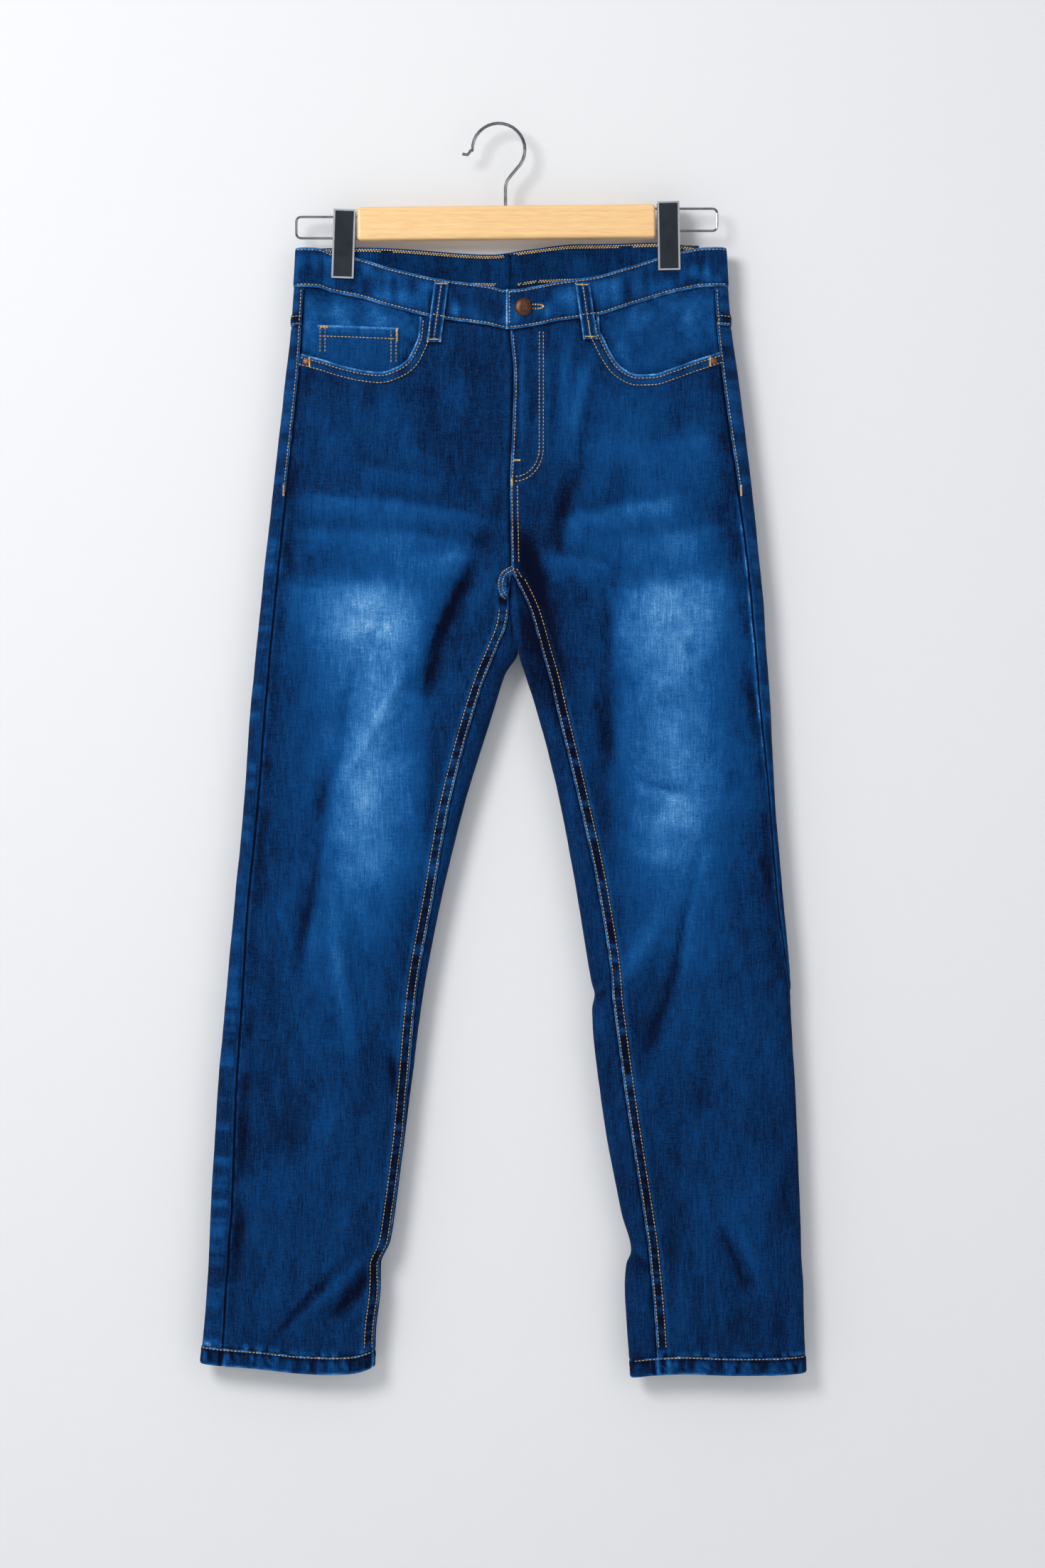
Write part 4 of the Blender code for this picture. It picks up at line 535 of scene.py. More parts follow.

# A closed thin wall through spots, from flat arrays: which leg, which side, X, height, how far out, how far
# the wall has grown, how pale it is worn, and how dark it is painted, mostly as shade
def makeCloth(name, spots, faces, thick, flip, replaced, materials=None):
    isFront, x, z = spots["isFront"], spots["x"], spots["z"]
    count = len(x)
    point, normal = skinAt(spots["isLeft"], isFront, x, z, spots["grow"])
    crease = creaseAt(isFront, x, z)
    out = spots["out"] + crease
    outside = point + normal * out[:, None]
    inside = point + normal * (out - thick)[:, None]
    faces = np.asarray(faces)
    if flip:
        faces = faces[:, ::-1]
    # An edge that only one face has is on the rim
    following = np.roll(faces, -1, axis=1)
    edges = (faces.astype(np.int64) * count + following).ravel()
    lone = ~np.isin(edges, (following.astype(np.int64) * count + faces).ravel())
    a, b = faces.ravel()[lone], following.ravel()[lone]
    rims = np.stack((b, a, a + count, b + count), axis=1)
    every = np.concatenate((faces, faces[:, ::-1] + count, rims))
    used = np.zeros(2 * count, bool)
    used[every.ravel()] = True
    place = np.cumsum(used) - 1
    verts = np.concatenate((outside, inside))[used] * mm
    piece = addPiece(name, verts.tolist(), place[every].tolist(), materials or (denim, denimInside))
    index = np.zeros(len(every), np.int32)
    index[len(faces):2 * len(faces)] = len(piece.data.materials) > 1
    piece.data.polygons.foreach_set("material_index", index)
    # The cloth is paler on raised creases and folds and darker in their hollows: partly real wear, partly
    # painted highlight and shade
    fadeAndShading = washAndFoldShadingAt(isFront, x, z) + wearAndShading["creaseWearAndShade"] * np.clip(crease, *wearAndShading["creaseLimits"])
    fadeAndShading = fadeAndShading + wearAndShading["foldWearAndShade"] * np.clip(largeFolds(isFront, x, z), *wearAndShading["foldLimits"])
    isLoop = replaced[0].startswith("belt_loop")
    shade = 0.0 if isLoop else loops["shade"] * loopShade(x, z)
    layers = {"fadeAndShading": fadeAndShading, "worn": spots["worn"], "dark": spots["dark"] + np.where(isFront, shade, 0.0)}
    paintPoints(piece, {label: np.tile(values, 2)[used] for label, values in layers.items()})
    outerFaces.append((outside * mm, faces))
    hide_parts(*replaced)
    return piece

def gridFaces(rows, columns, closed=False):
    r = np.arange(rows - 1)[:, None]
    c = np.arange(columns if closed else columns - 1)[None, :]
    after = (c + 1) % columns
    corners = (r * columns + c, (r + 1) * columns + c, (r + 1) * columns + after, r * columns + after)
    return np.stack([corner.ravel() for corner in np.broadcast_arrays(*corners)], axis=1)

def flatSpots(shape, **values):
    ready = {"grow": 0.0, "out": 0.0, "worn": 0.0, "dark": 0.0}
    ready.update(values)
    return {key: np.broadcast_to(value, shape).ravel().copy() for key, value in ready.items()}

def joinSpots(*parts):
    return {key: np.concatenate([part[key] for part in parts]) for key in parts[0]}

# The flat size of a cut: its widest and longest measure and its area, from the outer face in mm
def cutSize(spots, rows, columns):
    point, _ = skinAt(spots["isLeft"], spots["isFront"], spots["x"], spots["z"], spots["grow"])
    grid = point[:rows * columns].reshape(rows, columns, 3)
    wide = np.linalg.norm(np.diff(grid, axis=1), axis=2).sum(axis=1)
    long = np.linalg.norm(np.diff(grid, axis=0), axis=2).sum(axis=0)
    area = float((wide[:-1] + wide[1:]).mean() / 2.0 * long.mean())
    return float(wide.max()), float(long.max()), area

# A piece that is one grid of spots, and its flat size
def gridCut(name, spots, shape, thick, flip, replaced, materials=None, closed=False):
    faces = gridFaces(*shape, closed)
    return makeCloth(name, spots, faces, thick, flip, replaced, materials), cutSize(spots, *shape)

# Where the cloth is worn pale, and where shade and highlight are painted along folds, in mm. Patches: X,
# height, half width, half height and strength
wearAndShading = {
    "frontPatches": (
        (-119, -545, 50, 120, 0.44), (-124, -655, 42, 62, 0.28), (-100, -450, 44, 50, 0.14),
        (160, -540, 52, 120, 0.435), (160, -648, 42, 60, 0.26), (170, -440, 48, 50, 0.12),
        (135, -300, 62, 60, 0.16), (60, -250, 26, 50, 0.10), (-110, -290, 60, 40, 0.06),
        (-150, -850, 50, 110, 0.04), (190, -840, 50, 100, 0.05), (-185, -735, 26, 60, 0.08),
        (-132, -745, 44, 62, 0.11), (165, -735, 44, 62, 0.11), (215, -1010, 45, 60, 0.05),
        (-190, -1010, 45, 60, 0.05),
    ),
    "backPatches": (
        (-95, -350, 60, 80, 0.32), (115, -350, 60, 80, 0.32), (-140, -560, 55, 110, 0.20),
        (160, -560, 55, 110, 0.20), (-165, -760, 45, 60, 0.14), (185, -760, 45, 60, 0.14),
        (-190, -1100, 40, 40, 0.08), (210, -1100, 40, 40, 0.08),
    ),
    # Start, end, bow, half width and strength of each whisker line
    "whiskers": (
        (-129, -319, -49, -333, 2, 14, 0.08), (-192, -345, -8, -368, 5, 17, 0.21),
        (-192, -377, -8, -393, 4, 18, 0.17), (-96, -405, -12, -397, 0, 24, 0.17),
        (-200, -430, -66, -437, 0, 40, 0.27), (-180, -470, -60, -462, 3, 30, 0.08),
        (52, -368, 178, -345, 0, 18, 0.21), (78, -390, 212, -375, 0, 22, 0.17),
        (34, -399, 106, -410, 2, 18, 0.17), (98, -438, 216, -427, 0, 40, 0.25),
        (80, -470, 200, -464, -3, 30, 0.08), (110, -300, 200, -288, -3, 16, 0.06),
    ),
    # Painted shade and highlight along sharp folds, dark for a negative strength and pale for a positive one:
    # start, end, bow, reach to the left and right of a line going down, and strength
    "folds": (
        (-14, -366, -61, -494, 3, 2, 9, -0.09), (-20, -398, -60, -484, 2, 2, 3, -0.07),
        (-50, -440, -72, -552, 1, 3, 8, -0.20), (-83, -486, -149, -618, -2, 3, 3, 0.13),
        (-76, -508, -108, -584, 0, 3, 7, -0.07), (-129, -488, -143, -580, 2, 2, 2, -0.12),
        (-136, -540, -169, -640, -2, 3, 3, -0.12), (-156, -585, -189, -800, -4, 7, 4, -0.22),
        (-98, -440, -125, -488, 0, 3, 4, -0.06), (-60, -515, -66, -690, 0, 5, 12, -0.08),
        (6, -340, 50, -470, 5, 6, 11, -0.13), (28, -390, 62, -570, 6, 8, 12, -0.14),
        (14, -405, 46, -560, 4, 5, 8, -0.08), (10, -414, 10, -440, 0, 2, 2, -0.22),
        (9, -422, 16, -484, 0, 1.2, 3, 0.12), (88, -202, 66, -324, 2, 4, 5, 0.10),
        (94, -208, 68, -345, 2, 2, 5, -0.10), (73, -296, 49, -412, 0, 3, 7, -0.06),
        (100, -396, 114, -460, 0, 3, 5, -0.08), (112, -432, 98, -580, 3, 10, 4, -0.06),
        (102, -520, 86, -730, -2, 8, 6, -0.05), (182, -690, 132, -862, -3, 4, 7, -0.08),
        (166, -700, 106, -796, 3, 6, 8, 0.10), (186, -690, 164, -772, 0, 3, 4, 0.09),
        (118, -598, 190, -618, 3, 2, 5, -0.09), (-138, -1038, -212, -1122, 2, 2, 3, -0.13),
        (-132, -1046, -206, -1126, 2, 3, 3, 0.05), (-106, -1026, -160, -1110, 3, 2, 6, -0.06),
        (-112, -1028, -166, -1104, 3, 3, 2, 0.05), (196, -990, 238, -1096, 0, 4, 2, -0.06),
        (214, -1000, 250, -1092, 0, 2, 4, 0.04), (21, -192, 22, -306, 0, 2, 3, 0.11),
        (30, -194, 31, -312, 0, 2, 2, -0.10), (14, -200, 14, -306, 0, 2, 2, -0.07),
        (52, -194, 50, -310, 0, 3, 4, -0.09), (62, -198, 58, -290, 0, 3, 3, 0.06),
        (72, -198, 66, -270, 0, 3, 3, -0.09), (-84, -192, -88, -240, 0, 6, 5, -0.12),
        (-20, -195, -24, -315, 0, 6, 4, -0.04), (-60, -215, -56, -335, 0, 5, 6, -0.04),
        (-155, -695, -128, -905, 2, 5, 7, 0.11), (-144, -708, -111, -800, 0, 5, 9, -0.06),
        (-98, -850, -95, -900, 0, 3, 5, -0.10), (-94, -818, -92, -872, 0, 3, 3, 0.08),
        (219, -470, 240, -575, 0, 2, 4, -0.04), (226, -470, 246, -560, 0, 2, 3, 0.05),
    ),
    "backBase": 0.035, "creaseWearAndShade": 0.042, "foldWearAndShade": 0.008,
    "creaseLimits": (-2.5, 2.0), "foldLimits": (-6.0, 3.0),
}

denimLook = {
    "tones": ((0.0, (0.0011, 0.0030, 0.014)), (0.1, (0.0016, 0.013, 0.050)), (0.22, (0.0022, 0.033, 0.120)),
              (0.4, (0.0050, 0.060, 0.195)), (0.6, (0.024, 0.125, 0.325)), (0.8, (0.090, 0.250, 0.475)),
              (1.0, (0.38, 0.50, 0.60))),
    "base": 0.124, "slub": 0.44, "speckle": 0.46, "cloud": 0.22, "fadeSpeckle": 0.7, "wornEdge": 1.55,
    "twillPitch": 0.9, "bump": 0.42, "bumpDepth": 0.0004, "rough": 1.0, "sheen": 0.015, "gloss": 0.04,
    "insideShadedBase": 0.13, "pocketBase": 0.23, "insideWorn": 0.3,
    "slubNoise": (900.0, 3.0, 0.65), "weftNoise": (1100.0, 2.0, 0.6), "speckleNoise": (950.0, 2.0, 0.7),
    "cloudNoise": (70.0, 5.0, 0.65),
}

def freshMaterial(name):
    material = bpy.data.materials.new(name)
    material.use_nodes = True
    tree = material.node_tree
    return material, tree, tree.nodes["Principled BSDF"]

def addNode(tree, kind, **settings):
    node = tree.nodes.new(kind)
    for key, value in settings.items():
        setattr(node, key, value)
    return node

def maths(tree, operation, first, second=None, clamp=False):
    node = addNode(tree, "ShaderNodeMath", operation=operation, use_clamp=clamp)
    for socket, value in zip(node.inputs, (first, second)):
        if value is None:
            continue
        if isinstance(value, (int, float)):
            socket.default_value = value
        else:
            tree.links.new(value, socket)
    return node.outputs[0]

# A value that swings about nought by this much in all
def swing(tree, value, reach):
    return maths(tree, "MULTIPLY", maths(tree, "SUBTRACT", value, 0.5), reach)

def setInputs(shader, values):
    for label, value in values.items():
        shader.inputs[label].default_value = value

def scaledCoords(tree, scale):
    coords = addNode(tree, "ShaderNodeTexCoord")
    mapping = addNode(tree, "ShaderNodeMapping")
    mapping.inputs["Scale"].default_value = scale
    tree.links.new(coords.outputs["Object"], mapping.inputs["Vector"])
    return mapping.outputs["Vector"]

def noiseValue(tree, coords, scale, detail, roughness):
    texture = addNode(tree, "ShaderNodeTexNoise")
    setInputs(texture, {"Scale": scale, "Detail": detail, "Roughness": roughness})
    tree.links.new(coords, texture.inputs["Vector"])
    return texture.outputs["Fac"]

def toneRamp(tree, value, stops):
    ramp = addNode(tree, "ShaderNodeValToRGB")
    band = ramp.color_ramp
    while len(band.elements) < len(stops):
        band.elements.new(0.5)
    for element, (place, colour) in zip(band.elements, stops):
        element.position = place
        element.color = (*colour, 1.0)
    tree.links.new(value, ramp.inputs["Fac"])
    return ramp.outputs["Color"]

def bumpFrom(tree, shader, height, strength, distance):
    bump = addNode(tree, "ShaderNodeBump")
    setInputs(bump, {"Strength": strength, "Distance": distance})
    tree.links.new(height, bump.inputs["Height"])
    tree.links.new(bump.outputs["Normal"], shader.inputs["Normal"])

# Washed indigo denim: a tone worked out from the cloth's own wear and from painted shade and highlight, read
# off a run of blues
def makeDenim(name, base, inside=False):
    look = denimLook
    material, tree, shader = freshMaterial(name)
    even = scaledCoords(tree, (1.0, 1.0, 1.0))
    slub = noiseValue(tree, scaledCoords(tree, (1.0, 1.0, 0.07)), *look["slubNoise"])
    weft = noiseValue(tree, scaledCoords(tree, (0.10, 0.10, 1.0)), *look["weftNoise"])
    speckle = noiseValue(tree, even, *look["speckleNoise"])
    cloudScale = (0.3, 0.3, 1.0) if inside else (1.0, 1.0, 0.35)
    cloud = noiseValue(tree, scaledCoords(tree, cloudScale), *look["cloudNoise"])
    fadeAndShading, worn, dark = (addNode(tree, "ShaderNodeAttribute", attribute_name=label).outputs["Fac"]
                        for label in ("fadeAndShading", "worn", "dark"))
    grain = swing(tree, slub, look["slub"])
    for value, reach in ((speckle, look["speckle"]), (weft, 0.5 * look["speckle"])):
        grain = maths(tree, "ADD", grain, swing(tree, value, reach))
    # Pale cloth shows its white weft more than dark cloth does
    contrast = maths(tree, "ADD", maths(tree, "MULTIPLY", fadeAndShading, look["fadeSpeckle"]), 0.75)
    tone = maths(tree, "ADD", maths(tree, "MULTIPLY", grain, contrast), base)
    if not inside:
        tone = maths(tree, "ADD", tone, fadeAndShading)
    tone = maths(tree, "ADD", tone, swing(tree, cloud, look["cloud"]))
    frayed = maths(tree, "ADD", maths(tree, "MULTIPLY", speckle, 1.5), 0.2)
    frayed = maths(tree, "MULTIPLY", maths(tree, "MULTIPLY", worn, frayed),
                   look["wornEdge"] * (look["insideWorn"] if inside else 1.0))
    tone = maths(tree, "SUBTRACT", maths(tree, "ADD", tone, frayed), dark, clamp=True)
    tree.links.new(toneRamp(tree, tone, look["tones"]), shader.inputs["Base Color"])
    twill = addNode(tree, "ShaderNodeTexWave", wave_type="BANDS", bands_direction="DIAGONAL")
    setInputs(twill, {"Scale": 0.5 / (look["twillPitch"] * mm) / 3.0, "Distortion": 1.5})
    tree.links.new(even, twill.inputs["Vector"])
    height = maths(tree, "ADD", maths(tree, "MULTIPLY", twill.outputs["Fac"], 0.35),
                   maths(tree, "ADD", slub, maths(tree, "MULTIPLY", weft, 0.6)))
    bumpFrom(tree, shader, height, look["bump"], look["bumpDepth"])
    setInputs(shader, {"Roughness": look["rough"], "Sheen Weight": look["sheen"], "Sheen Roughness": 0.5,
                       "Specular IOR Level": look["gloss"]})
    return material

denim = makeDenim("washed_denim", denimLook["base"])
# The wrong side's tone is set darker than its own, as painted shade inside the garment
denimInside = makeDenim("shaded_denim_wrong_side", denimLook["insideShadedBase"], inside=True)
pocketDenim = makeDenim("pocket_denim", denimLook["pocketBase"])

# A finish of two tones mixed by a fine noise, which its bump and roughness may follow too
def makePlain(name, dark, pale, scale, rough, metal=0.0, bump=0.0, coat=0.0, gloss=0.5, roughSpread=0.0,
              ends=(0.3, 0.7)):
    material, tree, shader = freshMaterial(name)
    value = noiseValue(tree, scaledCoords(tree, (1.0, 1.0, 1.0)), scale, 4.0, 0.6)
    tree.links.new(toneRamp(tree, value, ((ends[0], dark), (ends[1], pale))), shader.inputs["Base Color"])
    if bump:
        bumpFrom(tree, shader, value, bump, 0.0003)
    setInputs(shader, {"Roughness": rough, "Metallic": metal, "Coat Weight": coat, "Coat Roughness": 0.15,
                       "Specular IOR Level": gloss})
    if roughSpread:
        spread = swing(tree, value, roughSpread)
        tree.links.new(maths(tree, "ADD", spread, rough), shader.inputs["Roughness"])
    return material

thread = makePlain("tan_thread", (0.20, 0.110, 0.030), (0.70, 0.48, 0.18), 420.0, 0.7, bump=0.3,
                   ends=(0.35, 0.65))
brightThread = makePlain("bright_thread", (0.40, 0.24, 0.10), (0.82, 0.60, 0.34), 420.0, 0.7, bump=0.3,
                         ends=(0.35, 0.65))
darkCopper = makePlain("dark_copper", (0.055, 0.024, 0.017), (0.11, 0.054, 0.038), 260.0, 0.46, 1.0)
copper = makePlain("brown_copper", (0.12, 0.048, 0.028), (0.20, 0.092, 0.056), 260.0, 0.5, 1.0, 0.15,
                   roughSpread=0.2)
# Two copies of one chrome: the clip fronts painted brighter as lit, and the hook, rails and clip bodies
# painted darker as shaded, with dark reflections
litChrome = makePlain("lit_chrome", (0.62, 0.63, 0.65), (0.80, 0.81, 0.83), 90.0, 0.14, 1.0, roughSpread=0.06)
shadedChrome = makePlain("shaded_chrome", (0.09, 0.092, 0.10), (0.24, 0.245, 0.26), 90.0, 0.12, 1.0, roughSpread=0.06)
blackGloss = makePlain("black_insert", (0.006, 0.009, 0.013), (0.012, 0.018, 0.025), 60.0, 0.16, coat=0.15,
                       gloss=0.3, roughSpread=0.1)
zipBrass = makePlain("zip_brass", (0.12, 0.06, 0.03), (0.32, 0.2, 0.09), 400.0, 0.4, 1.0, 0.2)
labelCloth = makePlain("label_cloth", (0.006, 0.006, 0.007), (0.02, 0.02, 0.022), 900.0, 0.9, bump=0.4)

def makeWood():
    material, tree, shader = freshMaterial("pale_beech")
    grainCoords = scaledCoords(tree, (0.06, 1.0, 1.0))
    wave = addNode(tree, "ShaderNodeTexWave", wave_type="BANDS", bands_direction="Z")
    setInputs(wave, {"Scale": 55.0, "Distortion": 5.0, "Detail": 3.0})
    tree.links.new(grainCoords, wave.inputs["Vector"])
    pores = noiseValue(tree, grainCoords, 900.0, 2.0, 0.6)
    value = maths(tree, "ADD", maths(tree, "MULTIPLY", wave.outputs["Fac"], 0.10),
                  maths(tree, "MULTIPLY", pores, 0.68))
    stops = ((0.15, (0.62, 0.36, 0.14)), (0.5, (0.73, 0.475, 0.215)), (0.85, (0.80, 0.56, 0.29)))
    tree.links.new(toneRamp(tree, value, stops), shader.inputs["Base Color"])
    bumpFrom(tree, shader, pores, 0.12, 0.0002)
    setInputs(shader, {"Roughness": 0.42, "Coat Weight": 0.25, "Coat Roughness": 0.3})
    return material

wood = makeWood()
print("materials are ready")

# Leg panels. Distances in mm: seam rows from the seam's edge, their depth, and the raised band
panels = {
    "thick": 1.2, "rowStep": 3.6, "yokeRowStep": 2.6, "frontMiddle": 32, "backMiddle": 30,
    "bandRise": 0.75, "bandWidth": 10.2, "rowPlaces": (1.9, 8.6), "rowDip": 0.4, "pucker": 0.42,
    "groove": 0.7, "flyWidth": 29.0, "sewnFromZ": -342.0, "sewnToZ": -334.0, "stripWidth": 15.0,
    "stripShare": 0.7,
}

def inseamLine(leg, z):
    line = legAt(leg, "inseam", z)
    if leg == "left":
        line = np.minimum(line + skin["inseamShift"] * smoothStep(-425.0, -470.0, z),
                          legAt(leg, "inner", z) - 1.0)
    return line

def frontEnds(leg, z):
    fold = depthAt("fold", z)
    start = arcOf(legAt(leg, "turn", z), fold) + skin["seamGap"] / 2.0
    line = np.where(z >= skin["junctionZ"], readLine(centreFront, z), inseamLine(leg, z))
    inset = (line - legAt(leg, "outer", z)) * inwardOf[leg] - skin["seamGap"] / 2.0
    return start, arcOf(inset, fold)

# The raised band of a lapped seam and its two rows of sewing, by the distance from the lapped edge
def lappedSeam(away, along, seed):
    look = panels
    raised = look["bandRise"] * (1.0 - smoothStep(look["bandWidth"] - 0.6, look["bandWidth"] + 1.6, away))
    raised = raised * (0.35 + 0.65 * smoothStep(0.0, 1.1, away))
    rows = sum(hump(away, place, 0.9) for place in look["rowPlaces"])
    between = smoothStep(0.6, 2.6, away) * (1.0 - smoothStep(7.6, 11.5, away))
    ladder = wobble(along, 2.6, seed) + 0.6 * wobble(along, 6.0, seed + 1)
    relief = raised - look["rowDip"] * rows + look["pucker"] * between * ladder
    worn = 0.40 * hump(away, 0.3, 1.2) * (0.65 + 0.45 * wobble(along, 5.0, seed + 2))
    worn = worn + 0.07 * between * np.clip(ladder, 0.0, 1.0) + 0.08 * hump(away, 10.6, 0.8)
    # The pucker hollows and the sunk rows of sewing are painted darker as shade
    dark = 0.13 * between * np.clip(0.9 - 0.6 * ladder, 0.0, 1.1) + 0.03 * rows
    return relief, np.clip(worn, 0.0, 1.0), dark

# Puckers and wear of a panel just above the turned hem
def hemEdge(above, x, seed):
    ripple = 0.45 * wobble(x, 4.2, seed) * hump(above, 1.0, 6.0)
    return ripple, 0.50 * hump(above, 2.0, 1.8) * np.clip(0.35 + 0.9 * wobble(x, 3.5, seed + 1), 0.0, 1.2)

def frontPanel(leg):
    look = panels
    rows = spreadRows(0, rowCount - 1, look["rowStep"])
    columns = look["frontMiddle"] + 2 * len(seamNear)

    def place(z):
        start, end = frontEnds(leg, z)
        return fromOuter(leg, z, start + seamSpread(end - start, look["frontMiddle"]))

    isFront, x, z = settle(leg, rows, columns, place)
    start, end = frontEnds(leg, z)
    arc = arcOf((x - legAt(leg, "outer", z)) * inwardOf[leg], depthAt("fold", z))
    arc = np.where(isFront, arc, -np.abs(arc))
    fromOutseam, fromInner = np.maximum(arc - start, 0.0), np.maximum(end - arc, 0.0)
    belowCrotch = smoothStep(skin["junctionZ"] + 2.0, skin["junctionZ"] - 4.0, z)
    relief, worn, dark = lappedSeam(fromInner, z, 31 if leg == "left" else 41)
    upper = 1.0 - belowCrotch
    if leg == "right":
        # The fly laps over the other front, with a pale hard edge
        lapped = 0.75 * (1.0 - smoothStep(look["flyWidth"] - 1.0, look["flyWidth"] + 3.0, fromInner))
        lapped = lapped * (0.3 + 0.7 * smoothStep(0.0, 1.0, fromInner)) - 0.3 * hump(fromInner, 2.4, 0.9)
        lapped = lapped + 0.22 * wobble(z, 5.0, 51) * hump(fromInner, 3.0, 5.0)
        flyWorn = 0.36 * hump(fromInner, 0.3, 1.5) * (0.75 + 0.35 * wobble(z, 7.0, 52))
        # A painted shade line beside the lap's sunk row of sewing
        flyDark = 0.05 * hump(fromInner, 3.4, 1.6)
    else:
        lapped = -0.9 * (1.0 - smoothStep(0.5, 4.0, fromInner))
        lapped = lapped + 0.15 * wobble(z, 6.0, 53) * hump(fromInner, 3.0, 5.0)
        flyWorn = 0.03 * hump(fromInner, 5.0, 2.0)
        # The edge under the fly's lap is painted dark as the lap's shade
        flyDark = 0.13 * hump(fromInner, 0.0, 1.6)
    relief = relief * belowCrotch + lapped * upper
    worn, dark = worn * belowCrotch + flyWorn * upper, dark * belowCrotch + flyDark * upper
    # The outseam runs under the back panel's edge, and its groove is painted dark as shade
    relief = relief - 1.2 * look["groove"] * hump(fromOutseam, 0.0, 1.3)
    relief = relief + 0.22 * wobble(z, 5.5, 61) * hump(fromOutseam, 3.0, 4.5)
    dark = dark + 0.30 * hump(fromOutseam, 0.2, 1.5)
    lineWorn = 0.36 * smoothStep(-640.0, -520.0, z) if leg == "right" else 0.0 * z
    lineWorn = (0.14 + lineWorn) * (0.65 + 0.45 * wobble(z, 6.0, 62)) * smoothStep(-330.0, -380.0, z)
    worn = worn + lineWorn * hump(fromOutseam, 2.6, 1.0)
    dark = dark + 0.05 * hump(fromOutseam, 8.0, 6.0) * np.clip(0.6 + wobble(z, 16.0, 66), 0.0, 1.4)
    # Under the waistband and above the hem, with a painted shade line along each of the two edges
    underBand = rowHeight(leg, isFront, np.zeros(len(rows))[:, None] + 0.0 * x, x) - z
    relief = relief + 0.3 * wobble(x, 5.0, 63) * hump(underBand, 2.0, 5.0)
    dark = dark + 0.12 * hump(underBand, 0.0, 1.2)
    aboveHem = z - hemTop(leg, x)
    ripple, frayed = hemEdge(aboveHem, x, 64)
    relief, worn = relief + ripple, worn + frayed
    dark = dark + 0.12 * hump(aboveHem, 0.0, 1.0)
    spots = flatSpots(x.shape, isLeft=leg == "left", isFront=isFront, x=x, z=z, out=relief,
                      worn=np.clip(worn, 0.0, 1.0), dark=dark)
    size = cutSize(spots, len(rows), columns)
    faces = gridFaces(len(rows), columns)
    faces, spots, mouthSpots, mouthFaces = openPocket(leg, spots, faces)
    spots = joinSpots(spots, mouthSpots)
    faces = np.concatenate((faces, mouthFaces))
    piece = makeCloth(f"{leg}_front", spots, faces, look["thick"], leg == "right",
                      [f"front_{leg}_{stretch}" for stretch in ("hip", "thigh", "shin")])
    return piece, size

# The pocket mouth: the cloth above the line goes, and a turned edge is laid along it
mouth = {"steps": 90, "coverWidth": 20.0, "coverTopZ": -120.0, "edgeWidth": 12.0, "rise": 0.55,
         "rowPlaces": (3.4, 9.8)}

def lengthsAlong(path):
    return np.concatenate(([0.0], np.cumsum(np.linalg.norm(np.diff(path, axis=0), axis=1))))

def smoothPath(points, steps):
    points = np.array(points, float)
    lengths = lengthsAlong(points)
    at = np.linspace(0.0, lengths[-1], steps + 1)
    return np.stack([readLine(list(zip(lengths, points[:, n])), at) for n in range(2)], axis=1)

def pathOffset(path, away):
    along = np.gradient(path, axis=0)
    along /= np.linalg.norm(along, axis=1, keepdims=True)
    return path + np.stack((along[:, 1], -along[:, 0]), axis=1) * away

def mouthPath(leg):
    path = smoothPath(pocketMouth[leg], mouth["steps"])
    top = readLine(bandBottomFront, path[:, 0]) - 1.0
    outer = (path[:, 0] - legAt(leg, "outer", path[:, 1])) * inwardOf[leg]
    keep = (path[:, 1] < top) & (outer > legAt(leg, "turn", path[:, 1]) + 0.4)
    return path[keep]

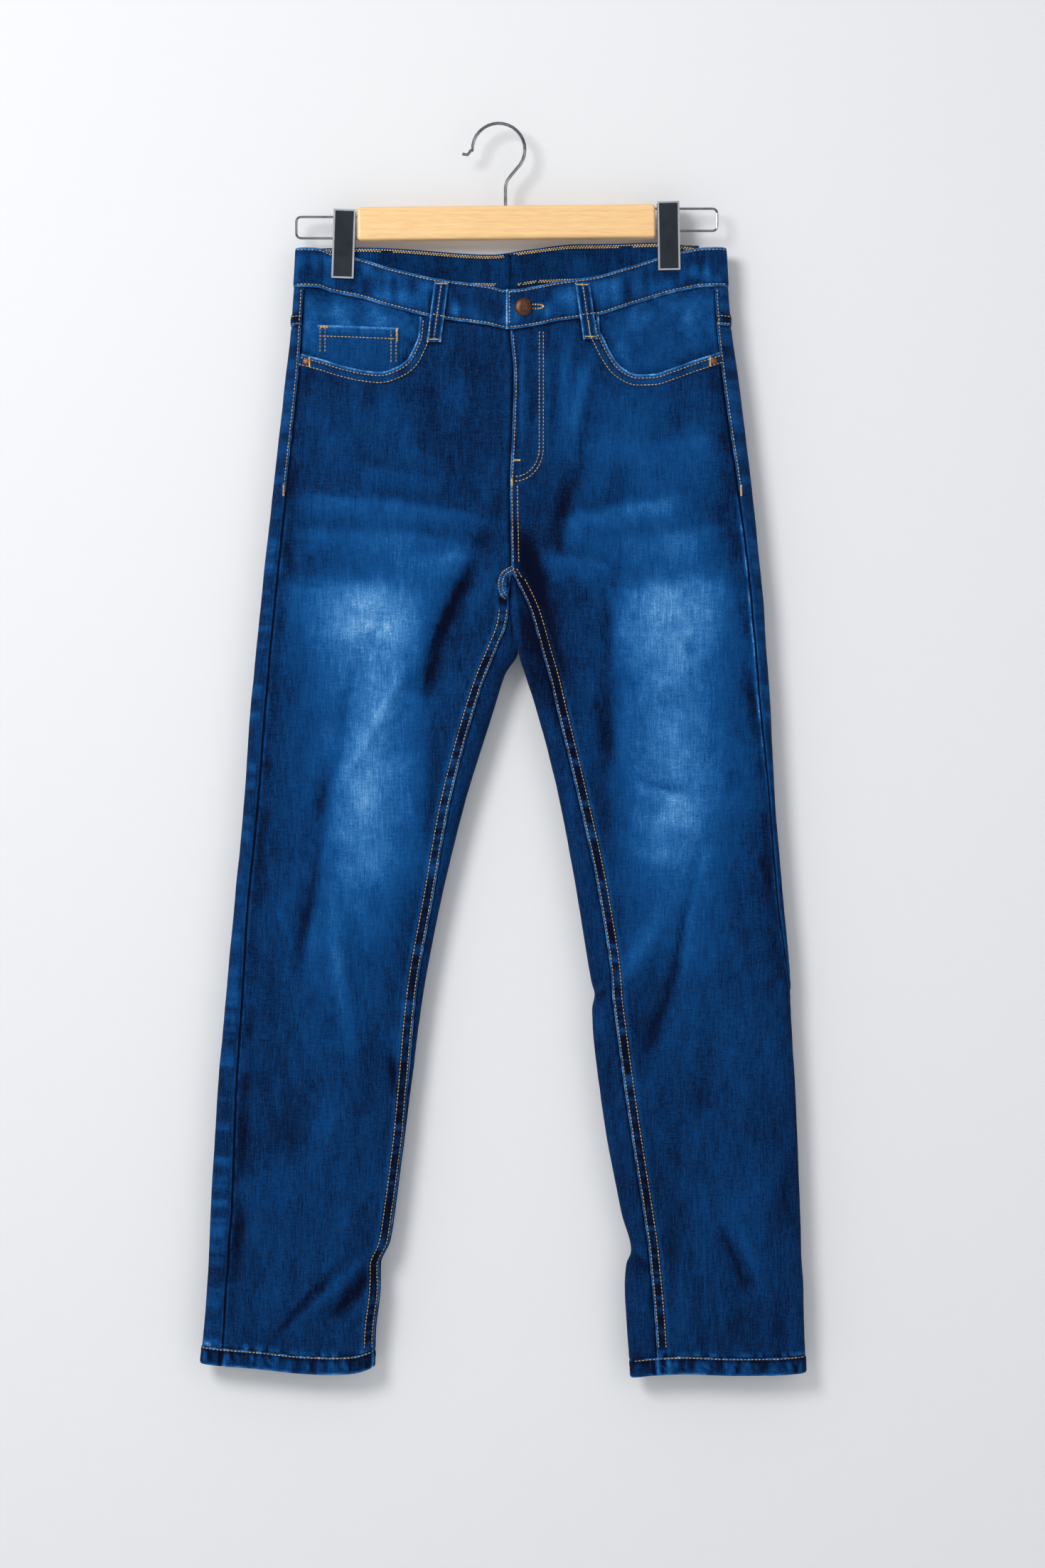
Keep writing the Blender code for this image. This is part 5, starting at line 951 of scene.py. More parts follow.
def openPocket(leg, spots, faces):
    path = mouthPath(leg)
    inward = inwardOf[leg]
    sideX, topZ = path[0, 0] - inward * mouth["coverWidth"], mouth["coverTopZ"]
    outline = np.concatenate((path, [(path[-1, 0], topZ), (sideX, topZ), (sideX, path[0, 1] + 1.0)]))
    x, z = spots["x"], spots["z"]
    inside = np.zeros(len(x), bool)
    for (x0, z0), (x1, z1) in zip(outline, np.roll(outline, -1, axis=0)):
        crosses = (z0 > z) != (z1 > z)
        with np.errstate(divide="ignore", invalid="ignore"):
            at = (x1 - x0) * (z - z0) / (z1 - z0) + x0
        inside ^= crosses & (x < at)
    inside &= spots["isFront"].astype(bool)
    # The hidden edge of the panel stays a little outside the laid edge
    cut = inside[faces].sum(axis=1) >= 2
    faces = faces[~cut]
    left = np.unique(faces[inside[faces].any(axis=1)])
    left = left[inside[left]]
    for n in left:
        gap = path - (x[n], z[n])
        near = int((gap ** 2).sum(axis=1).argmin())
        spots["x"][n], spots["z"][n] = path[near]
    away = np.array([0.0, 0.5, 1.4, 2.4, 3.4, 4.6, 7.0, mouth["edgeWidth"] - 2.2, mouth["edgeWidth"]])
    # The edge's outer side is away from the opening
    grid = np.stack([pathOffset(path, inward * reach) for reach in away], axis=1)
    gx, gz = grid[..., 0], grid[..., 1]
    reach = np.broadcast_to(away, gx.shape)
    along = np.broadcast_to(lengthsAlong(path)[:, None], gx.shape)
    rise = mouth["rise"] * (0.25 + 0.75 * smoothStep(0.0, 1.2, reach))
    rise = rise * (1.0 - 0.95 * smoothStep(9.0, 12.0, reach))
    rise = rise + 0.55 - 0.75 * smoothStep(9.5, 12.0, reach) - 0.3 * hump(reach, 3.4, 0.8)
    rise = rise + 0.28 * wobble(along, 4.5, 71) * hump(reach, 3.0, 3.0)
    worn = 0.42 * hump(reach, 0.4, 1.7) * (0.8 + 0.3 * wobble(along, 6.0, 72)) + 0.05 * hump(reach, 6.5, 2.0)
    # The sunk inner row of sewing is painted darker as shade
    dark = 0.06 * hump(reach, 3.6, 1.0)
    edge = flatSpots(gx.shape, isLeft=leg == "left", isFront=True, x=gx, z=gz, out=rise, worn=worn, dark=dark)
    edgeFaces = gridFaces(*gx.shape) + len(x)
    # Turned like the panel's own faces, whichever way the line runs
    a, b, c = (np.array((gx.ravel()[i - len(x)], gz.ravel()[i - len(x)])) for i in edgeFaces[0, :3])
    turn = np.cross(b - a, c - b)
    p, q, r = (np.array((x[i], z[i])) for i in faces[len(faces) // 2, :3])
    if turn * np.cross(q - p, r - q) < 0:
        edgeFaces = edgeFaces[:, ::-1]
    return faces, spots, edge, edgeFaces

def backColumns():
    columns = [("outer", share) for share in (0.0, 0.05, 0.11, 0.19, 0.28, 0.38, 0.5, 0.62, 0.74, 0.87)]
    columns += [("across", part / panels["backMiddle"]) for part in range(panels["backMiddle"])]
    return columns + [("inner", part / 9) for part in range(10)]

def backX(leg, z, columns, grow=0.0):
    fold, inward = depthAt("fold", z), inwardOf[leg]
    quarter = fold * math.pi / 2.0
    start = arcOf(legAt(leg, "turn", z), fold) - skin["seamGap"] / 2.0
    centre = readLine(centreBack, z) - inward * skin["seamGap"] / 2.0
    line = np.where(z >= skin["apexZ"], centre, legAt(leg, "inner", z) + inward * grow)
    isFront, x = np.zeros(z.shape, bool), np.zeros(z.shape)
    for n, (stretch, share) in enumerate(columns):
        if stretch == "outer":
            reach = start[:, n] + (-quarter[:, n] - 1.0 - start[:, n]) * share
            isFront[:, n], x[:, n] = fromOuter(leg, z[:, n], reach, grow)
        elif stretch == "across":
            first = fromOuter(leg, z[:, n], -quarter[:, n] - 1.0, grow)[1]
            x[:, n] = first + (line[:, n] - inward * fold[:, n] - first) * share
        else:
            x[:, n] = line[:, n] - inward * fold[:, n] * (1.0 - math.cos(math.pi / 2.0 * (1.0 - share)))
    return isFront, x

def stripX(leg, z, shares):
    fold, inward = depthAt("fold", z), inwardOf[leg]
    end = inseamLine(leg, z) + inward * skin["seamGap"] / 2.0
    start = readLine(centreFront, z) - inward * skin["seamGap"] / 2.0
    inner = legAt(leg, "inner", z)
    low = inner - inward * insetOf(arcOf((inner - end) * inward, fold) * shares, fold)
    return np.ones(z.shape, bool), np.where(z >= skin["apexZ"], start + (end - start) * shares, low)

# How the back's cloth is raised and worn beside the outseam, the seat seam and the yoke, with painted shade
# in their grooves
def backRelief(leg, isFront, z, fromOutseam, seatAway, yokeAway):
    edge = 0.5 * smoothStep(0.0, 1.0, fromOutseam) * (1.0 - smoothStep(6.0, 9.0, fromOutseam))
    edge = edge + 0.25 * wobble(z, 4.5, 81) * hump(fromOutseam, 3.0, 4.0)
    sewn = smoothStep(panels["sewnFromZ"], panels["sewnToZ"], z)
    edge = edge - 0.3 * hump(fromOutseam, 2.1, 0.8) * sewn
    worn = (0.16 + 0.18 * sewn) * hump(fromOutseam, 0.3, 1.1) * (0.7 + 0.4 * wobble(z, 5.0, 82))
    strip = np.where(isFront, smoothStep(1.0, 5.0, fromOutseam), 0.0)
    worn = worn + 0.10 * strip * np.clip(0.2 + wobble(z, 8.0, 87) + 0.5 * wobble(z, 2.6, 88), 0.0, 1.3)
    dark = 0.04 * hump(fromOutseam, 3.0, 1.2) * sewn
    seat = smoothStep(skin["apexZ"] - 1.0, skin["apexZ"] + 6.0, z) * np.where(isFront, 0.0, 1.0)
    if leg == "left":
        relief, seamWorn, seamDark = lappedSeam(seatAway, z, 91)
        edge, worn, dark = edge + relief * seat, worn + seamWorn * seat, dark + seamDark * seat
    else:
        edge = edge - 0.8 * (1.0 - smoothStep(0.5, 3.5, seatAway)) * seat
        dark = dark + 0.12 * hump(seatAway, 0.0, 1.4) * seat
    edge = edge - 0.7 * hump(yokeAway, 0.0, 1.2)
    dark = dark + 0.14 * hump(yokeAway, 0.0, 1.0)
    return edge, worn, dark

# How far each point is from the outseam and from the seat seam
def seamAways(leg, isFront, x, z):
    arc = arcOf((x - legAt(leg, "outer", z)) * inwardOf[leg], depthAt("fold", z))
    start = arcOf(legAt(leg, "turn", z), depthAt("fold", z))
    fromOutseam = np.maximum(np.where(isFront, start - arc, start + np.abs(arc)), 0.0)
    return fromOutseam, (readLine(centreBack, z) - x) * inwardOf[leg]

def backPanel(leg):
    look = panels
    columns = backColumns()
    rows = spreadRows(2, rowCount - 1, look["rowStep"])
    isFront, x, z = settle(leg, rows, len(columns), lambda z: backX(leg, z, columns))
    fromOutseam, seatAway = seamAways(leg, isFront, x, z)
    yokeAway = rowHeight(leg, isFront, 2.0 + 0.0 * x, x) - z
    out, worn, dark = backRelief(leg, isFront, z, fromOutseam, seatAway, yokeAway)
    ripple, frayed = hemEdge(z - hemTop(leg, x), x, 84)
    out, worn = out + ripple, worn + frayed
    main = flatSpots(x.shape, isLeft=leg == "left", isFront=isFront, x=x, z=z, out=out,
                     worn=np.clip(worn, 0.0, 1.0), dark=dark)
    size = cutSize(main, len(rows), len(columns))
    first = rowNumber[skin["stripTopZ"]]
    stripRows = rows[rows >= first]
    shares = np.concatenate((np.linspace(0.0, 0.8, 6), (0.9, 0.96, 1.0)))
    count = len(shares)
    _, sx, sz = settle(leg, stripRows, count, lambda z: stripX(leg, z, np.broadcast_to(shares, z.shape)))
    end = inseamLine(leg, sz)
    toSeam = np.abs(end - sx)
    relief = -0.75 * hump(toSeam, 0.0, 1.6) + 0.3 * wobble(sz, 5.0, 86) * hump(toSeam, 3.0, 4.0)
    # The groove along the inseam is painted dark as shade
    strip = flatSpots(sx.shape, isLeft=leg == "left", isFront=True, x=sx, z=sz, out=relief,
                      worn=0.0, dark=0.16 * hump(toSeam, 0.0, 1.2))
    mainFaces, stripFaces = gridFaces(len(rows), len(columns)), gridFaces(len(stripRows), count)
    offset = x.size
    stripIndex = np.arange(sx.size) + offset
    apexRow = rowNumber[skin["apexZ"]]
    for n, row in enumerate(stripRows):
        if row >= apexRow - 1e-9:
            whole = int(np.argmin(abs(rows - row)))
            stripIndex[n * count] = whole * len(columns) + len(columns) - 1
    faces = np.concatenate((mainFaces, stripIndex[stripFaces]))
    spots = joinSpots(main, strip)
    piece = makeCloth(f"{leg}_back", spots, faces, look["thick"], leg == "left",
                      [f"back_{leg}_{stretch}" for stretch in ("hip", "thigh", "shin")])
    more = look["stripWidth"]
    return piece, (size[0] + more, size[1], size[2] + more * size[1] * look["stripShare"])

def yokePiece(leg):
    columns = backColumns()
    rows = spreadRows(0, 2, panels["yokeRowStep"])
    isFront, x, z = settle(leg, rows, len(columns), lambda z: backX(leg, z, columns))
    fromOutseam, seatAway = seamAways(leg, isFront, x, z)
    out, worn, dark = backRelief(leg, isFront, z, fromOutseam, seatAway, 99.0 + 0.0 * x)
    above = z - rowHeight(leg, isFront, 2.0 + 0.0 * x, x)
    relief, seamWorn, seamDark = lappedSeam(above, x, 95)
    spots = flatSpots(x.shape, isLeft=leg == "left", isFront=isFront, x=x, z=z, out=out + relief,
                      worn=worn + seamWorn, dark=dark + seamDark)
    return gridCut(f"{leg}_yoke", spots, x.shape, panels["thick"], leg == "left",
                   [f"yoke_{leg}"])

# The waistband's two halves, the fastening lap on the right one
band = {"thick": 2.4, "tabEdgeX": 7.0, "underlapDepth": 3.4, "underlapStarts": 15.0, "underlapEnd": 37.0,
        "step": 3.4, "rowPlace": 2.2, "sideZ": -150.0, "turnSteps": 15}

def bandEdges(isFront, x):
    front = readLine(bandBottomFront, x)
    top = np.where(isFront, front + skin["bandHeight"], readLine(bandTopBack, x))
    return top, np.where(isFront, front, readLine(bandBottomBack, x))

def bandPiece(leg):
    look = band
    inward = inwardOf[leg]
    fold = float(depthAt("fold", look["sideZ"]))
    near = float(legAt(leg, "outer", look["sideZ"])) + inward * fold
    across = centreBack[0][1] - inward * skin["seamGap"] / 2.0
    frontEnd = look["tabEdgeX"] + (look["underlapEnd"] if leg == "left" else 0.0)
    backCount = int(abs(near - across) / look["step"])
    frontCount = int(abs(frontEnd - near) / look["step"])
    columns = [(False, x, None) for x in np.linspace(across, near, backCount + 1)[:-1]]
    columns += [(angle >= math.pi / 2.0, None, fold * (1.0 - math.sin(angle)))
                for angle in np.linspace(0.0, math.pi, look["turnSteps"])]
    frontShares = np.linspace(0.0, 1.0, frontCount + 1)[1:]
    if leg == "right":
        frontShares = np.concatenate((frontShares[:-1], 1.0 - np.array([0.012, 0.007, 0.003, 0.0])))
    columns += [(True, near + (frontEnd - near) * share, None) for share in frontShares]
    shares = np.array([0.0, 0.02, 0.05, 0.09, 0.14, 0.22, 0.32, 0.42, 0.52, 0.62, 0.72, 0.81, 0.87, 0.91,
                       0.95, 0.98, 1.0])
    isFront = np.broadcast_to([column[0] for column in columns], (len(shares), len(columns)))
    x = np.broadcast_to([column[1] if column[1] is not None else 0.0 for column in columns],
                        isFront.shape).copy()
    turned = np.array([column[2] is not None for column in columns])
    inset = np.array([column[2] or 0.0 for column in columns])
    z = np.full(x.shape, look["sideZ"])
    for _ in range(4):
        edge = legAt(leg, "outer", z) - inward * (skin["bandStep"] - inset)
        x = np.where(turned, edge, x)
        top, bottom = bandEdges(isFront, x)
        z = top + (bottom - top) * shares[:, None]
    fromTop, fromBottom = top - z, z - bottom
    isLeft = x < skin["legSplitX"]
    out = np.zeros(x.shape)
    if leg == "left":
        out = -look["underlapDepth"] * smoothStep(look["tabEdgeX"] - look["underlapStarts"],
                                                  look["tabEdgeX"] - 1.5, x)
        out = np.where(isFront, out, 0.0)
    place = look["rowPlace"]
    relief = -0.8 * hump(fromTop, 0.0, 0.8) - 0.8 * hump(fromBottom, 0.0, 0.8)
    relief = relief - 0.35 * (hump(fromTop, place, 0.8) + hump(fromBottom, place, 0.8))
    puckers = wobble(x, 4.0, 101) + 0.5 * wobble(x, 2.2, 102)
    relief = relief + 0.22 * puckers * (hump(fromTop, 1.0, 4.0) + hump(fromBottom, 1.0, 5.0))
    relief = relief + 0.12 * mottle(x, z, 12.0, 103)
    relief = relief + 0.10 * wobble(z + 0.05 * x, 3.0, 104) * np.where(isFront, 0.0, 1.0)
    worn = 0.36 * (hump(fromTop, 0.5, 1.5) + hump(fromBottom, 0.5, 1.4)) * (0.8 + 0.35 * wobble(x, 5.0, 105))
    streaks = 0.30 + 0.75 * mottle(x, z * 1.6, 20.0, 106) + 0.85 * mottle(x * 1.6, z * 0.35, 9.0, 107)
    worn = worn + (0.17 * smoothStep(1.0, 8.0, fromTop) * smoothStep(1.0, 8.0, fromBottom)
                   * np.clip(streaks, 0.0, 1.6))
    # The sunk rows of sewing are painted darker as shade
    dark = 0.07 * (hump(fromTop, place + 0.2, 0.9) + hump(fromBottom, place + 0.2, 0.9))
    if leg == "right":
        tab = np.abs(x - look["tabEdgeX"]) + np.where(isFront, 0.0, 99.0)
        worn = worn + 0.38 * hump(tab, 0.4, 1.2)
        relief = relief - 0.6 * hump(tab, 0.0, 0.8) - 0.3 * hump(tab, 3.0, 0.9)
    spots = flatSpots(x.shape, isLeft=isLeft, isFront=isFront, x=x, z=z, out=out + relief,
                      grow=skin["bandStep"], worn=np.clip(worn, 0.0, 1.0), dark=dark)
    return gridCut(f"{leg}_waistband", spots, x.shape, look["thick"], leg == "right",
                   [f"waistband_{leg}"])

# The turned hems
hem = {"thick": 2.2, "turns": 14, "across": 44, "rowPlace": 15.0, "seamZ": -1128.0, "farAway": 999.0,
       "drops": (0.0, 0.5, 1.2, 2.2, 3.6, 5.4, 7.4, 9.4, 11.4, 13.0, 14.3, 15.3, 15.9, 16.3)}

def hemPiece(leg):
    inward = inwardOf[leg]
    nominal = float(readLine(hemBottom[leg], legAt(leg, "outer", hemBottom[leg][0][1])))
    fold = float(depthAt("fold", nominal))
    grow = skin["hemStep"]
    outer = float(legAt(leg, "outer", nominal)) - inward * grow
    inner = float(legAt(leg, "inner", nominal)) + inward * grow
    angles = np.linspace(-0.5, 0.5, hem["turns"] + 1) * math.pi
    start, stop = outer + inward * fold, inner - inward * fold
    middle = (stop - start) * np.arange(1, hem["across"]) / hem["across"]
    ring = [(angle < 0.0, outer + inward * fold * (1.0 - math.cos(angle))) for angle in angles]
    ring += [(False, start + reach) for reach in middle]
    ring += [(angle >= 0.0, inner - inward * fold * (1.0 - math.cos(angle))) for angle in angles]
    ring += [(True, stop - reach) for reach in middle]
    drops = np.array(hem["drops"])
    isFront = np.broadcast_to([spot[0] for spot in ring], (len(drops), len(ring)))
    ringX = np.broadcast_to([spot[1] for spot in ring], isFront.shape)
    z = hemTop(leg, ringX) - drops[:, None]
    share = (ringX - outer) / (inner - outer)
    low, high = legAt(leg, "outer", z) - grow * inward, legAt(leg, "inner", z) + grow * inward
    x = low + (high - low) * share
    drop = np.broadcast_to(drops[:, None], x.shape)
    along = np.where(isFront, x, 600.0 + x)
    puckers = wobble(along, 3.6, 111) + 0.6 * wobble(along + 0.5 * drop, 2.4, 112)
    relief = 0.38 * puckers * hump(drop, 6.0, 8.0) - 0.7 * hump(drop, 0.0, 0.7) - 0.8 * hump(drop, 16.3, 0.9)
    relief = relief - 0.35 * hump(drop, 1.4, 0.8)
    worn = 0.40 * hump(drop, 0.4, 1.1) * np.clip(0.5 + 0.7 * wobble(along, 3.0, 113), 0.0, 1.2)
    worn = worn + 0.34 * hump(drop, 15.8, 1.3) * (0.6 + 0.5 * wobble(along, 4.0, 114))
    worn = worn + 0.17 * np.clip(puckers, 0.0, 1.0) * hump(drop, 9.0, 7.0)
    # The pucker hollows and the sunk line under the fold are painted darker as shade
    dark = 0.12 * np.clip(-puckers, 0.0, 1.0) * hump(drop, 7.0, 7.0) + 0.12 * hump(drop, 2.6, 1.4)
    # The two seams run on through the hem, their grooves painted dark as shade
    level = np.full(x.shape, hem["seamZ"])
    outseam = fromOuter(leg, level, arcOf(legAt(leg, "turn", level), depthAt("fold", level)))[1]
    toOutseam = (x - outseam) * inward + np.where(isFront, 0.0, hem["farAway"])
    toInseam = (inseamLine(leg, level) - x) * inward + np.where(isFront, 0.0, hem["farAway"])
    dark = dark + 0.26 * hump(toOutseam, 0.0, 1.2) + 0.20 * hump(toInseam, -0.8, 1.0)
    dark = dark + 0.10 * hump(toInseam, 5.0, 3.0)
    worn = worn + 0.22 * hump(toOutseam, 2.2, 1.0) + 0.34 * hump(toInseam, 0.9, 1.0)
    worn = worn + 0.20 * hump(toInseam, 10.4, 0.9)
    relief = relief - 0.5 * hump(toOutseam, 0.0, 1.2) - 0.5 * hump(toInseam, -0.6, 1.0)
    spots = flatSpots(x.shape, isLeft=leg == "left", isFront=isFront, x=x, z=z, out=relief, grow=grow,
                      worn=np.clip(worn, 0.0, 1.0), dark=dark)
    return gridCut(f"{leg}_hem", spots, x.shape, hem["thick"], leg == "left",
                   [f"hem_{leg}"], closed=True)

# What lies behind the pocket mouths
pockets = {"facingDepth": {"left": 3.8, "right": 2.4}, "facingEndX": {"left": -60.0, "right": 80.0},
           "facingThick": 0.9, "coinDepth": 2.2, "coinLeftX": -166.5, "coinRightX": -91.5,
           "coinTop": (-185.1, -189.6), "coinBottom": -236.0, "backX": {"left": -86.0, "right": 108.0},
           "backTop": -226.0, "backHeight": 140.0, "backPoint": 24.0, "backTopHalf": 74.0,
           "backBottomHalf": 62.0, "backLift": 1.8}

def facingPiece(leg):
    rows = spreadRows(0, 4, 3.2)
    inward = inwardOf[leg]
    shares = np.linspace(0.0, 1.0, 44)

    def place(z):
        start = frontEnds(leg, z)[0]
        last = arcOf((pockets["facingEndX"][leg] - legAt(leg, "outer", z)) * inward, depthAt("fold", z))
        return fromOuter(leg, z, start + (last - start) * shares)

    isFront, x, z = settle(leg, rows, len(shares), place)
    path = mouthPath(leg)
    gap = np.sqrt(((x[..., None] - path[:, 0]) ** 2 + (z[..., None] - path[:, 1]) ** 2).min(axis=-1))
    top = readLine(bandBottomFront, x) - z
    # Painted shade where the mouth's edge and the waistband stand over the facing; the mottle is the cloth's
    # own uneven tone
    dark = 0.12 * hump(gap, 0.0, 7.0) + 0.09 * hump(top, 0.0, 6.0)
    dark = dark + 0.05 * np.clip(mottle(x, z * 0.5, 24.0, 124), 0.0, 1.0)
    out = -pockets["facingDepth"][leg] + 0.4 * mottle(x, z * 0.6, 14.0, 121)
    z = z + 4.0 * hump(top, 0.0, 5.0)  # its top edge is hidden behind the waistband
    spots = flatSpots(x.shape, isLeft=leg == "left", isFront=isFront, x=x, z=z, out=out, dark=dark,
                      worn=0.12 * np.clip(0.3 + mottle(x, z * 0.45, 16.0, 122)
                                          + 0.5 * mottle(x, z, 5.0, 123), 0.0, 1.4))
    return gridCut(f"{leg}_pocket_facing", spots, x.shape, pockets["facingThick"],
                   leg == "right", [f"pocket_facing_{leg}"],
                   materials=(pocketDenim, denimInside))

def coinPiece():
    across, down = np.linspace(0.0, 1.0, 34), np.linspace(0.0, 1.0, 20)
    down, across = np.meshgrid(down ** 1.2, across, indexing="ij")
    x = pockets["coinLeftX"] + (pockets["coinRightX"] - pockets["coinLeftX"]) * across
    top = pockets["coinTop"][0] + (pockets["coinTop"][1] - pockets["coinTop"][0]) * across
    z = top + (pockets["coinBottom"] - top) * down
    fromTop, fromSide = top - z, np.minimum(x - pockets["coinLeftX"], pockets["coinRightX"] - x)
    out = -pockets["coinDepth"] - 0.5 * hump(fromTop, 0.0, 0.7) - 0.5 * hump(fromSide, 0.0, 0.8)
    out = out - 0.25 * hump(fromTop, 7.0, 1.0) + 0.2 * wobble(x, 4.0, 131) * hump(fromTop, 3.0, 3.0)
    worn = 0.40 * hump(fromTop, 0.4, 1.5) * (0.8 + 0.3 * wobble(x, 5.0, 132))
    worn = worn + 0.14 * hump(fromSide, 0.4, 1.0)
    worn = worn + 0.10 * hump(fromTop, 5.0, 2.5) * np.clip(0.5 + wobble(x, 3.4, 133), 0.0, 1.5)
    # The sunk row below the top hem is painted darker as shade
    spots = flatSpots(x.shape, isLeft=True, isFront=True, x=x, z=z, out=out, worn=worn,
                      dark=0.05 * hump(fromTop, 8.0, 2.0))
    return gridCut("watch_pocket", spots, x.shape, 0.8, False, ["coin_pocket"],
                   materials=(pocketDenim, denimInside))

def backPocketEdge(leg, across, down):
    half = pockets["backTopHalf"] + (pockets["backBottomHalf"] - pockets["backTopHalf"]) * down
    length = pockets["backHeight"] + pockets["backPoint"] * (1.0 - abs(across)) * down
    return pockets["backX"][leg] + half * across, pockets["backTop"] - length * down

def backPocketPiece(leg):
    sideways = np.array([0.0, 0.008, 0.02, 0.04, 0.07, 0.11])
    across = np.concatenate((-1.0 + sideways, np.linspace(-0.84, 0.84, 27), 1.0 - sideways[::-1]))
    down = np.concatenate(([0.0, 0.006, 0.015, 0.03, 0.05], np.linspace(0.08, 0.9, 28),
                           [0.94, 0.97, 0.985, 0.995, 1.0]))
    down, across = np.meshgrid(down, across, indexing="ij")
    x, z = backPocketEdge(leg, across, down)
    fromTop = pockets["backTop"] - z
    fromSide = (1.0 - abs(across)) * pockets["backBottomHalf"]
    fromBottom = (1.0 - down) * pockets["backHeight"]
    edge = np.minimum(np.minimum(fromSide, fromBottom), fromTop)
    out = pockets["backLift"] - 0.6 * hump(edge, 0.0, 0.8) - 0.25 * hump(edge, 2.2, 0.8)
    out = out + 0.2 * wobble(x + z, 4.0, 141) * hump(edge, 3.0, 4.0) + 0.25 * mottle(x, z, 14.0, 142)
    worn = 0.22 * hump(edge, 0.3, 1.1) * (0.7 + 0.4 * wobble(x + z, 6.0, 143)) + 0.1 * hump(fromTop, 0.3, 1.2)
    # The sunk row of sewing by the edge is painted darker as shade
    spots = flatSpots(x.shape, isLeft=leg == "left", isFront=False, x=x, z=z, out=out, worn=worn,
                      dark=0.05 * hump(edge, 2.4, 1.0))
    return gridCut(f"{leg}_back_pocket", spots, x.shape, 1.0, True, [f"back_pocket_{leg}"],
                   materials=(pocketDenim, denimInside))

# Belt loops: node, side, X and height of the top and of the bottom
loops = {
    "rows": (
        ("belt_loop_front_left", True, -51.5, -148.5, -59.0, -203.7),
        ("belt_loop_front_right", True, 76.4, -149.5, 84.0, -201.1),
        ("belt_loop_back_left", False, -104.0, -115.5, -105.0, -166.0),
        ("belt_loop_back_middle", False, 11.0, -117.5, 11.0, -170.0),
        ("belt_loop_back_right", False, 118.0, -111.0, 120.0, -163.0),
    ),
    "width": 13.0, "thick": 1.4, "shade": 0.15, "shadeFrom": 5.5, "shadeReach": 3.2,
    "profile": ((0.0, 0.5), (0.25, 2.7), (0.5, 2.7), (0.78, 1.8), (1.05, 1.7)), "endOut": 0.9,
}

def loopPiece(node, isFront, topX, topZ, bottomX, bottomZ):
    bottomEdge = float(bandEdges(isFront, np.array(bottomX))[1])
    crossing = (bottomEdge - topZ) / (bottomZ - topZ)
    profile = [(share * crossing, out) for share, out in loops["profile"]] + [(1.0, loops["endOut"])]
    down, across = np.meshgrid(np.linspace(0.0, 1.0, 34), np.linspace(-1.0, 1.0, 15), indexing="ij")
    half = loops["width"] / 2.0
    x = topX + (bottomX - topX) * down + half * across
    z = topZ + (bottomZ - topZ) * down
    length = math.hypot(bottomX - topX, bottomZ - topZ)
    fromSide, fromEnd = half * (1.0 - abs(across)), length * np.minimum(down, 1.0 - down)
    out = readLine(profile, down) + loops["thick"]
    grow = skin["bandStep"] * (1.0 - smoothStep(crossing - 0.02, crossing + 0.02, down))
    out = out - 0.6 * hump(fromSide, 0.0, 0.8) - 0.5 * hump(fromEnd, 0.0, 1.0)
    out = out + 0.35 * hump(across, 0.0, 0.16) - 0.2 * hump(abs(across), 0.36, 0.12)
    out = out + 0.18 * wobble(z, 3.0, 151) - 0.3 * hump(fromEnd, 2.4, 1.2)
    worn = 0.48 * hump(fromSide, 0.3, 1.1) * (0.8 + 0.3 * wobble(z, 4.0, 152))
    worn = worn + 0.12 * hump(across, 0.0, 0.18)
    worn = worn + 0.2 * hump(fromEnd, 0.3, 1.2)
    # The two sunk lines beside the middle are painted darker as shade
    spots = flatSpots(x.shape, isLeft=x < skin["legSplitX"], isFront=isFront, x=x, z=z, out=out, grow=grow,
                      worn=worn, dark=0.05 * hump(abs(across), 0.36, 0.14))
    return gridCut(node.replace("belt_loop", "loop"), spots, x.shape, loops["thick"],
                   not isFront, [node])

# The fly's underlay and the blank label inside the waistband
fly = {"shieldHalf": 19.0, "topZ": -196.0, "bottomZ": -334.0, "depth": 5.6, "fromEdge": 6.0}

def shieldPiece():
    down, across = np.meshgrid(np.linspace(0.0, 1.0, 40), np.linspace(-1.0, 1.0, 14), indexing="ij")
    z = fly["topZ"] + (fly["bottomZ"] - fly["topZ"]) * down
    x = readLine(centreFront, z) + fly["fromEdge"] + fly["shieldHalf"] * across
    spots = flatSpots(x.shape, isLeft=x < skin["legSplitX"], isFront=True, x=x, z=z, out=-fly["depth"])
    return gridCut("fly_underlay", spots, x.shape, 1.0, False, ["fly_shield"],
                   (denimInside,))

label = {"topZ": -111.0, "bottomZ": -128.0, "leftX": 163.0, "rightX": 184.0, "thick": 0.5, "depth": 3.15}

def labelPiece():
    down, across = np.meshgrid(np.linspace(label["topZ"], label["bottomZ"], 12),
                               np.linspace(label["leftX"], label["rightX"], 16), indexing="ij")
    spots = flatSpots(across.shape, isLeft=False, isFront=False, x=across, z=down, grow=skin["bandStep"],
                      out=0.1 * wobble(down, 4.0, 161) - label["depth"])
    return gridCut("blank_label", spots, across.shape, label["thick"], True, ["inner_label"],
                   (labelCloth,))

# The thick end of the inseam, which curls forwards where the legs meet
curl = {"line": ((14.0, -410.0), (8.5, -412.6), (4.2, -416.8), (2.6, -423.0), (3.4, -430.0),
                 (6.6, -434.6), (9.0, -435.4)),
        "half": 4.9, "high": 2.7, "sink": 0.4, "around": 14, "steps": 40, "startTaper": 0.12,
        "endTaper": 0.16, "ridgeLength": 60.0}

